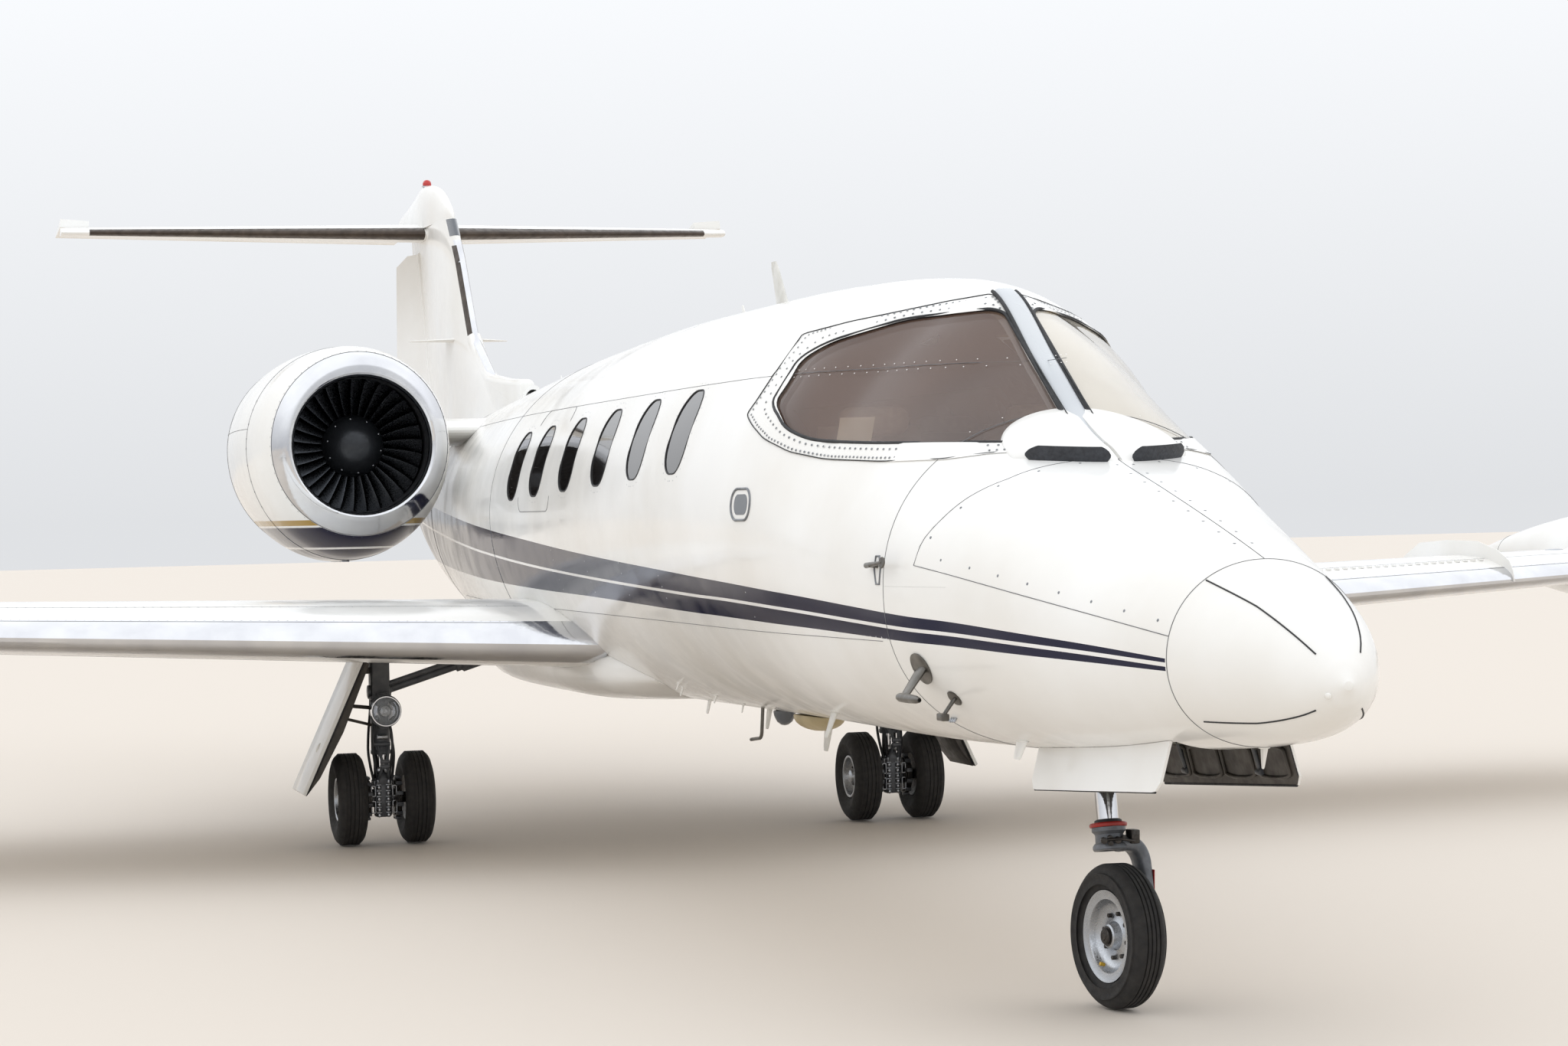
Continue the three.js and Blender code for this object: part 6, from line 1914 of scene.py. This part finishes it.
# Trimmed sills below the side panes; a stiff tan card stands on the starboard one.
sills = []
for x in (-0.62, 0.62):
    sills.append(in_cockpit(block("sill", (x - 0.12, y_at(2215), 1.70), (x + 0.12, y_at(2690), 1.728), 0.006)))
fit(smooth(join("cockpit_sills", sills)), charcoal)
rows = []
for u in even(0, 1, 8):
    low = Vector((-0.565 + 0.10 * u, y_at(2600 - 60 * u), 1.729))
    top, thick = low + Vector((0.030, 0.035, 0.098)), Vector((0.001, 0.002, 0))
    rows.append([low, top, top + thick, low + thick])
fit(smooth(solid("sun_card", rows)), tan_card)
visors = []
for x in (-0.3, 0.3):
    visors.append(prism("visor", rounded((-0.09, -0.05), (0.09, 0.05), 0.02, 6), "z", -0.003, 0.003))
    visors[-1].data.transform(Matrix.Translation((x, y_at(2560), 2.10)) @ Matrix.Rotation(radians(-50), 4, "X"))
fit(smooth(in_cockpit(join("sun_visors", visors))), charcoal)


# Outside fittings of the fuselage.
def on_front(outline, lift=0.0, side=1):
    """An outline of (x, height) laid on the front of the fuselage, on one side."""
    return [Vector((side * p.x, p.y, p.z)) for p in (front(x, z, lift) for x, z in outline)]


def skin_point(x, s, z, lift=0.0):
    """The fuselage surface seen from the axis through x and z at a station."""
    (hw, share, n), mid = level_of(s, z), hull_sizes(s)[2]
    k = ((abs(x) / hw) ** n + abs(share) ** n) ** (-1 / n)
    return raised(x * k, s, mid + (z - mid) * k, lift)


def laid(points, lift=0.0, gap=30):
    """A path on the fuselage through (x, station, z) points, in short steps."""
    out = []
    for a, b in zip(points, points[1:]):
        a, b = Vector(a), Vector(b)
        steps = max(1, int((b - a).length / gap))
        out += [skin_point(*a.lerp(b, k / steps), lift) for k in range(steps)]
    return [*out, skin_point(*points[-1], lift)]


def between_outlines(p, share):
    """A point part of the way out from the pane's edge to the edge of its surround."""
    middle = Vector((350, 1930, 0))
    way = Vector((*p, 0)) - middle
    best = 1.6
    for a, b in zip(SURROUND, SURROUND[1:] + SURROUND[:1]):
        a, b = Vector((*a, 0)) - middle, Vector((*b, 0)) - middle
        turn = way.x * (b - a).y - way.y * (b - a).x
        if abs(turn) > 1e-6:
            t = (a.x * (b - a).y - a.y * (b - a).x) / turn
            u = (a.x * way.y - a.y * way.x) / turn
            if t > 0 and -0.001 <= u <= 1.001:
                best = min(best, t)
    out = middle + way * (1 + (best - 1) * share)
    return out.x, out.y


# Windshields: black gaskets, riveted surrounds, the post between them and the demister hoods.
gaskets, rims, heads = [], [], []
for side in (-1, 1):
    gaskets.append(on_front(grown(softened(WINDSHIELD, 45), 1.5), 1.2, side))
    rims.append(on_front(softened(SURROUND, 14), 3.2, side))
    for share, pitch in ((0.36, 0.034), (0.84, 0.024)):
        ring = [between_outlines(p, share) for p in softened(grown(WINDSHIELD, 2), 45)]
        heads += studded(p for p in spaced(on_front(ring, 5.6, side), pitch) if abs(p.x) > 0.047)
fit(tube("windshield_gaskets", gaskets, 0.0062, closed=True, sides=4), seal)
fit(tube("windshield_frame_seams", rims, 0.0019, closed=True), seal)
fit(studs("windshield_frame_screws", heads, 0.0044, 0.0009), screw_grey)
frames = [(p, X, skin_normal(p)) for p in (front(0, z) for z in even(1700, 2228, 45))]
section = [(-37, -3), (37, -3), (37, 3), (31, 9), (22, 13.5), (-22, 13.5), (-31, 9), (-37, 3)]
fit(sweep("windshield_post", frames, section), post_grey)
edges = [[p + X * side * 0.0405 + n * 0.003 for p, _, n in frames[3:]] for side in (-1, 1)]
fit(tube("post_seals", edges, 0.0065, sides=4), seal)


def hood_point(u, v, lift):
    """A point of the starboard demister hood: u outwards from the middle, v upwards."""
    x = 6 + 282 * u
    low = 1652 + 18 * u * u
    high = max(low + 8, 1676 + 152 * sqrt(max(0.0, 1 - (x / 292) ** 2)))
    return front(-x, low + (high - low) * v, lift)


def hood_lift(u, v):
    side = sqrt(max(0.0, 1 - u**5)) * min(1.0, 0.62 + u * 3)
    return -3 + 37 * side * min(1.0, sqrt(v / 0.16)) * (1 - max(0.0, (v - 0.42) / 0.58) ** 2.2 * 0.9)


rows, across = [], even(0, 1, 36)
for v in even(0, 1, 32):
    rows.append([hood_point(u, v, hood_lift(u, v)) for u in across] + [hood_point(u, v, -5) for u in across[::-1]])
hoods = [solid("hood", rows)]
hoods.append(copy_of(hoods[0], "hood", MIRROR))
fit(smooth(join("demister_hoods", hoods), 50), white)
lips = []
for side in (-1, 1):
    rows = []
    for k, u in enumerate(even(0.10, 0.88, 30)):
        p = hood_point(u, 0.0, 17)
        p.x *= -side
        share = min(1.0, sqrt(min(k, 30 - k) / 4 + 0.02))
        out, up = skin_normal(p) * 0.019 * share, Vector((0, -0.4, 1)).normalized() * 0.024 * share
        rows.append([p + out * sin(t) + up * cos(t) for t in turns(16)])
    lips.append(solid("lip", rows))
fit(smooth(join("demister_outlets", lips), 60), charcoal)

# Seams and screws of the nose.
seams = [tube("seam", [hull_ring(CONE_END, -0.1, 200)], 0.0014, closed=True)]
screws = studded(spaced([p + Y * 0.024 for p in hull_ring(524, -0.1, 200)], 0.115))
HATCH = [
    # x, station, z
    (292, 502, 1172),
    (573, 1723, 1351),
    (555, 1712, 1405),
    (541, 1702, 1430),
    (497, 1665, 1487),
    (435, 1631, 1543),
    (331, 1580, 1597),
    (180, 1560, 1640),
    (0, 1550, 1660),
]
seams.append(tube("seam", [laid([(0, s, 1600) for s in (505, 800, 1100, 1400, 1550)], 0.1)], 0.0013))
for side in (-1, 1):
    seams.append(tube("seam", [laid([(side * x, s, z) for x, s, z in HATCH], 0.1)], 0.0013))
    low = laid([(side * 300, 560, 1215), (side * 548, 1690, 1378)], 0.1)
    rim = laid([(side * x * 0.985, s - 25, z) for x, s, z in HATCH[3:]], 0.1)
    screws += studded(spaced(low, 0.155, False)) + studded(spaced(rim, 0.13, False))
    screws += studded(crown(640 + 106 * k, side * 26, 0.1) for k in range(9))
fit(join("nose_seams", seams), seam_grey)
fit(studs("nose_screws", screws, 0.0048, 0.0008), screw_grey)
strips = [laid([(side * 175, 493, 1317), (side * 122, 270, 1240), (side * 63, 59, 1131)], 0.6) for side in (-1, 1)]
strips += [laid([(side * 205, 450, 944), (side * 140, 250, 950), (side * 65, 61, 986)], 0.6) for side in (-1, 1)]
fit(tube("diverter_strips", strips, 0.0024), seal)
knob_at = skin_point(-31, 24, 1034)
rows = [(0, -2), (8, -2), (9, 2), (7, 7), (3, 9), (0, 9.5)]
fit(turned("nose_drain_knob", rows, knob_at, skin_normal(knob_at), 24), white)

# Seams round the door, the exit and the joints of the skin.
seams = []
for s in (BAY_END, CABIN_END, 9800, 11600):
    seams.append(tube("joint", [hull_ring(s, -0.05, 200)], 0.0012, closed=True))
exit_ring = on_flank(rounded((5950, 1544), (6600, 1985), 60), -1, 0.1)
seams.append(tube("exit", [exit_ring], 0.0014, closed=True))
rivets = []
for side, first in ((-1, 1960), (1, 3850)):
    for z in (1120, 1985):
        seams.append(tube("lap", [[flank(s, z, side, 0.1) for s in range(first, 9300, 90)]], 0.0010))
    for s in (1925, 3050, 4170, 4770, 5370, 5975, 7285, 7315, 8500, 9800):
        rivets += studded(flank(s, z, side) for z in range(960, 2180, 42) if half_width(s, z) > 60)
    for z in (1108, 1132, 1973, 1997):
        rivets += studded(flank(s, z, side) for s in range(first + 10 * (side > 0), 9300, 46))
fit(join("skin_seams", seams), seam_grey)
fit(studs("fuselage_rivets", rivets, 0.0023, 0.0004), white)
handle = on_flank(rounded((3660, 1540), (3760, 1585), 18), 1, 0.6)
fit(tube("door_handle_recess", [handle], 0.003, closed=True), seal, body="door_upper")
lever = tube("door_handle", [[flank(s, 1562, 1, 3.0) for s in (3672, 3700, 3730, 3750)]], 0.005, sides=4)
fit(lever, alloy, body="door_upper")

# Access port, stall vane, pitot mast and probes on each side of the nose.
port_ring = on_flank(rounded((2913, 1498), (3091, 1603), 50), -1, 1.0)
fit(tube("access_port_frame", [port_ring], 0.0045, closed=True), screw_grey)
inner_ring = prism("cutter", metres(rounded((2940, 1516), (3064, 1585), 32)), "x", -1.2, -0.4)
lid = kept(hull_wall("access_port_glass", 2850, 3150, 6, -0.8, 20), inner_ring)
fit(smooth(lid), lens_dark)


def foil_mast(name, foot, way, length, chord, thick, lean=0.0, taper=0.6):
    """A blade standing on the skin: streamlined across, narrower and swept back at its tip."""
    way = Vector(way).normalized()
    aft = (Y - way * Y.dot(way)).normalized()
    across = way.cross(aft)
    rows = []
    for u in even(0, 1, 8):
        size = (1 - (1 - taper) * u) * (0.8 if u == 1 else 1) * MM
        centre = Vector(foot) + way * (length * u - 3) * MM + aft * lean * u * MM
        rows.append([centre + (aft * s + across * x) * size for s, x in foil(-chord / 2, chord, thick / 2, 10)])
    return smooth(solid(name, rows), 40)


PITOT = [
    (4, -150), (6, -154), (8, -150), (12, -120), (14, -60), (14, 20), (11, 40), (4, 52), (0, 54), (0, -140), (4, -140)
]
VANE_PLATE = (
    (620, 1925, 1296), (628, 1920, 1345), (634, 1936, 1382), (637, 1960, 1382), (634, 1962, 1340), (625, 1948, 1296)
)
for side, word in ((-1, "right"), (1, "left")):
    foot = skin_point(side * 628, 1943, 1350)
    out = skin_normal(foot)
    ring = [skin_point(side * x, s, z, 0.6) for x, s, z in VANE_PLATE]
    fit(tube("vane_plate_" + word, [ring], 0.0035, closed=True), screw_grey)
    ahead_at = foot + Vector((0, -0.115, 0.01))
    vane = [
        rod("arm", foot - out * 0.004, foot + out * 0.03, 0.006, 16),
        turned("disc", [(0, 0), (17, 0), (18, 3), (16, 6), (0, 6)], ahead_at + out * 0.022, out, 28),
        rod("vane", ahead_at + out * 0.025, foot + Y * 0.05 + out * 0.022, 0.0055, 16, 0.001, 0.009),
    ]
    fit(smooth(join("stall_vane_" + word, vane)), mast_grey)
    foot = skin_point(side * 550, 1752, 1049)
    out = skin_normal(foot)
    way = (out + Vector((0, 0, -0.55))).normalized()
    mast = [
        foil_mast("mast", foot, way, 120, 78, 20, -36, 0.72),
        turned("pitot", PITOT, foot + way * 0.112 + Y * -0.036, Y, 32, True),
        turned("base", [(0, -2), (52, -2), (52, 3), (46, 5), (0, 5)], foot, out, 36),
    ]
    fit(smooth(join("pitot_mast_" + word, mast), 40), mast_grey)
    foot = skin_point(side * 480, 1668, 962)
    out = skin_normal(foot)
    way = (out + Vector((0, 0, -0.3))).normalized()
    probe = [
        turned("base", [(0, -2), (26, -2), (28, 2), (24, 5), (0, 5)], foot, out, 32),
        foil_mast("neck", foot, way, 72, 26, 11, 4, 0.9),
        block("head", (-0.012, -0.03, -0.012), (0.012, 0.026, 0.010), 0.004, foot + way * 0.07),
    ]
    fit(smooth(join("air_probe_" + word, probe), 40), mast_grey)
    drains = []
    for p, out in studded(skin_point(side * 433, s, 891) for s in (1811, 1828, 1846)):
        drains.append(rod("drain", p - out * 0.003, p + out * 0.016, 0.0045, 14, 0.001))
    fit(join("static_ports_" + word, drains), alloy)

# Aerials along the top and below, the inlet ahead of the fin and the lamps.
AERIALS = [
    # name, x, station, length, chord, thickness, lean, taper, finish; those with a negative length hang below
    ("upper_blade_aerial", 0, 5130, 200, 168, 22, 128, 0.5, aerial_white),
    ("upper_small_aerial", 0, 5716, 60, 60, 9, 34, 0.4, white),
    ("upper_rear_aerial", 0, 9358, 95, 40, 8, 24, 0.5, white),
    ("lower_blade_aerial", -383, 3272, -95, 70, 12, 40, 0.55, aerial_white),
    ("lower_forward_blade", -276, 1679, -60, 90, 10, 26, 0.6, white),
    ("nose_drain_mast", 0, 530, -62, 42, 13, 12, 0.35, white),
    ("lower_rear_blade", 0, 4600, -150, 120, 16, 70, 0.5, aerial_white),
    ("lower_mid_blade", -60, 5250, -90, 70, 12, 40, 0.55, aerial_white),
    ("lower_drain_mast", -220, 5600, -62, 36, 12, 20, 0.8, white),
    ("belly_stub_1", -420, 5330, -34, 14, 8, 8, 0.7, white),
    ("belly_stub_2", -380, 5420, -40, 14, 8, 8, 0.7, white),
    ("belly_stub_3", -330, 5080, -34, 14, 8, 8, 0.7, white),
    ("belly_stub_4", -250, 4960, -40, 14, 8, 8, 0.7, white),
]
for name, x, s, length, chord, thick, lean, taper, finish in AERIALS:
    foot = crown(s, x, 0, length < 0)
    out = skin_normal(foot)
    rows = [(0, -3), (thick * 1.1, -3), (thick * 1.1, 2), (thick * 0.8, 4), (0, 4)]
    collar = turned("foot", rows, foot, out, 28)
    longer = Matrix.Diagonal((1, max(1.0, chord / thick / 2), 1, 1))
    collar.data.transform(Matrix.Translation(foot) @ longer @ Matrix.Translation(-foot))
    blade_piece = foil_mast(name, foot, (out.x * 0.5, 0, out.z), abs(length), chord, thick, lean, taper)
    fit(smooth(join(name, [blade_piece, collar]), 40), finish)
foot = crown(4820, -210, 0, True)
whip = [foot + Vector(off) for off in ((0, 0, 0.003), (-0.004, 0.012, -0.12), (-0.006, 0.16, -0.135))]
fit(tube("belly_whip", [bent(whip, 0.03)], 0.007, sides=4), mast_grey)
rows = [(0, -4), (44, -4), (44, 4), (40, 20), (30, 40), (14, 52), (0, 55)]
fit(turned("belly_lamp", rows, crown(4720, -150, 0, True), -Z, 48), lens_dark)
rows = []
for u in even(0, 1, 24):
    r = sqrt(max(0.0, 1 - (2 * u - 0.9) ** 2 / (1.0 if u > 0.45 else 0.81)))
    foot = crown(4150 + 420 * u, -120, 0, True)
    rows.append([foot + Vector((0.085 * r * sin(t), 0, -0.055 * r * max(cos(t), -0.12))) for t in turns(24)])
fit(smooth(solid("belly_pod", rows), 50), beige_fairing)

rows = []
for u in even(0, 1, 16):
    s = 10110 + 330 * u
    low, high = roof(s, 0) - 12, 118 * sqrt(max(0.0, 1 - u * 0.97)) ** 1.2 + 12
    rows.append([spot(62 * cos(t) * (1 - 0.3 * u), s, low + high * sin(t) ** 0.8) for t in even(0, pi, 18)])
mouth = [spot(50 * cos(t), 10100, roof(10110, 0) + 6 + 88 * sin(t) ** 0.8) for t in even(0, pi, 18)]
bore = solid("bore", [mouth, [p + Vector((0, 0.16, -0.02)) for p in mouth]])
inlet = smooth(carve(solid("dorsal_inlet", rows), [bore]), 40)
fit(inlet, white)


def in_bore(c, n):
    """Faces of the inlet's bore."""
    within = abs(c.x) < 0.0495 and c.y > y_at(10112) and c.z < (roof(10110, 0) + 93) * MM
    return within and (n.y < -0.5 or n.x * c.x < 0 or n.z < -0.3)


# The bore is painted near black as shade.
second_finish(inlet, duct_painted_shade, in_bore)


# The lamp window, the strips and the blade aerials of the fin.
def fin_wrap(name, z0, z1, reach, lift, thick, finish, high=1.0, steps=12):
    """A thin shell on the fin's leading edge, from full reach on starboard to a share of it to port."""
    rows = []
    for z in even(z0, z1, steps):
        le, te, half = interpolated(FIN, z, 1, 2, 3)
        outer, inner = [], []
        for share in even(-1, high, 16):
            u = share * share * reach / (te - le)
            x = copysign(10 * half * (0.2969 * sqrt(u) - 0.126 * u - 0.3516 * u**2 + 0.2843 * u**3), share)
            s = le + u * (te - le)
            outer.append(spot(x * (1 + lift / 30), s - lift, z))
            inner.append(spot(x * 0.9, s + thick, z))
        rows.append(outer + inner[::-1])
    fit(smooth(solid(name, rows), 40), finish)


fin_wrap("fin_lamp_window", 3245, 3358, 78, 1.2, 4, lens_dark)
fin_wrap("fin_edge_strip", 2345, 3215, 46, 0.8, 3, polished, steps=30)
fin_wrap("fin_edge_dark_strip", 2600, 3180, 84, 1.0, 3, brass, -0.45, 20)
for side, word in SIDES:
    rows = []
    for u in even(0, 1, 8):
        centre, size = spot(side * 60, 12250, 2600) + Vector((side * 0.24 * u, 0.09 * u, 0.0)), (1 - 0.72 * u) * MM
        rows.append([centre + Vector((0, s * size, x * size)) for s, x in foil(-130, 280, 13, 10)])
    fit(smooth(solid("fin_blade_aerial_" + word, rows), 40), white)

# Pylons: streamlined beams between the fuselage and the cowls.
outline = metres([(s, ENGINE["z"] + 80 + z) for s, z in foil(9000, 1400, 70, 24)])
beam = carve(prism("pylon_skin", outline, "x", 0.315, 1.05), [solid_hull(8000, 11500, -0.4)])
cowl_room = [cowl_ring(d, 0.4) for d in (1, 30, 140, 420, 560, 700, *range(800, 2621, 130))]
both_sides(smooth(carve(beam, [solid("room", cowl_room)]), 30), white, ["pylon_{}"])

# Cowl seams, latches and screws.
seams = [tube("seam", [cowl_ring(d, 0.1)], 0.0013, closed=True) for d in (96, 560, 1500, 2080)]
lengths = [[cowl_ring(d, 0.1)[k] for d in range(560, 2080, 60)] for k in (4, 60, 96)]
seams += [tube("seam", lengths, 0.0012)]
both_sides(join("cowl_seams", seams), seam_grey)
heads, middle = [], spot(ENGINE["x"], 0, ENGINE["z"])
for d, count in ((108, 64), (548, 48), (572, 48), (1490, 48), (2068, 40)):
    ring = cowl_ring(d)
    for k in range(count):
        p = ring[int(k * AROUND / count)]
        heads.append((p, Vector((p.x - middle.x, 0, p.z - middle.z))))
both_sides(studs("cowl_screws", heads, 0.0034, 0.0006), screw_grey)
latches = [
    block("latch", (-0.018, -0.05, -0.0035), (0.018, 0.05, 0.004), 0.002, cowl_ring(d)[96]) for d in (700, 1000, 1300)
]
both_sides(join("cowl_latches", latches), alloy)
vanes = []
for t in turns(22):
    rows = []
    for r in even(150, 361, 4):
        rows.append([engine_point(r, 535 + s, t + x / r + s * 0.0016) for s, x in foil(-34, 68, 3.2, 8)])
    vanes.append(solid("vane", rows))
both_sides(smooth(join("stator_vanes", vanes), 40), titanium)
rear_frame = turned("rear_frame", [(302, 426), (470, 426), (470, 466), (302, 466)], hub_at, Y, 96, True)
rear_frame = kept(rear_frame, solid("room", [cowl_ring(d, -9.6) for d in (600, 700, 800, 900)]))
both_sides(smooth(rear_frame, 40), hot_steel)

# Static wicks on the trailing edges, at the tips.
wicks = []
for x in (4300, 4650, 5000):
    p = wing_point(x, 0.985, 0.0)
    wicks.append(rod("wick", p, p + Vector((0, 0.11, -0.004)), 0.0022, 8, 0))
both_sides(join("aileron_wicks", wicks), seal, body="aileron_{}")
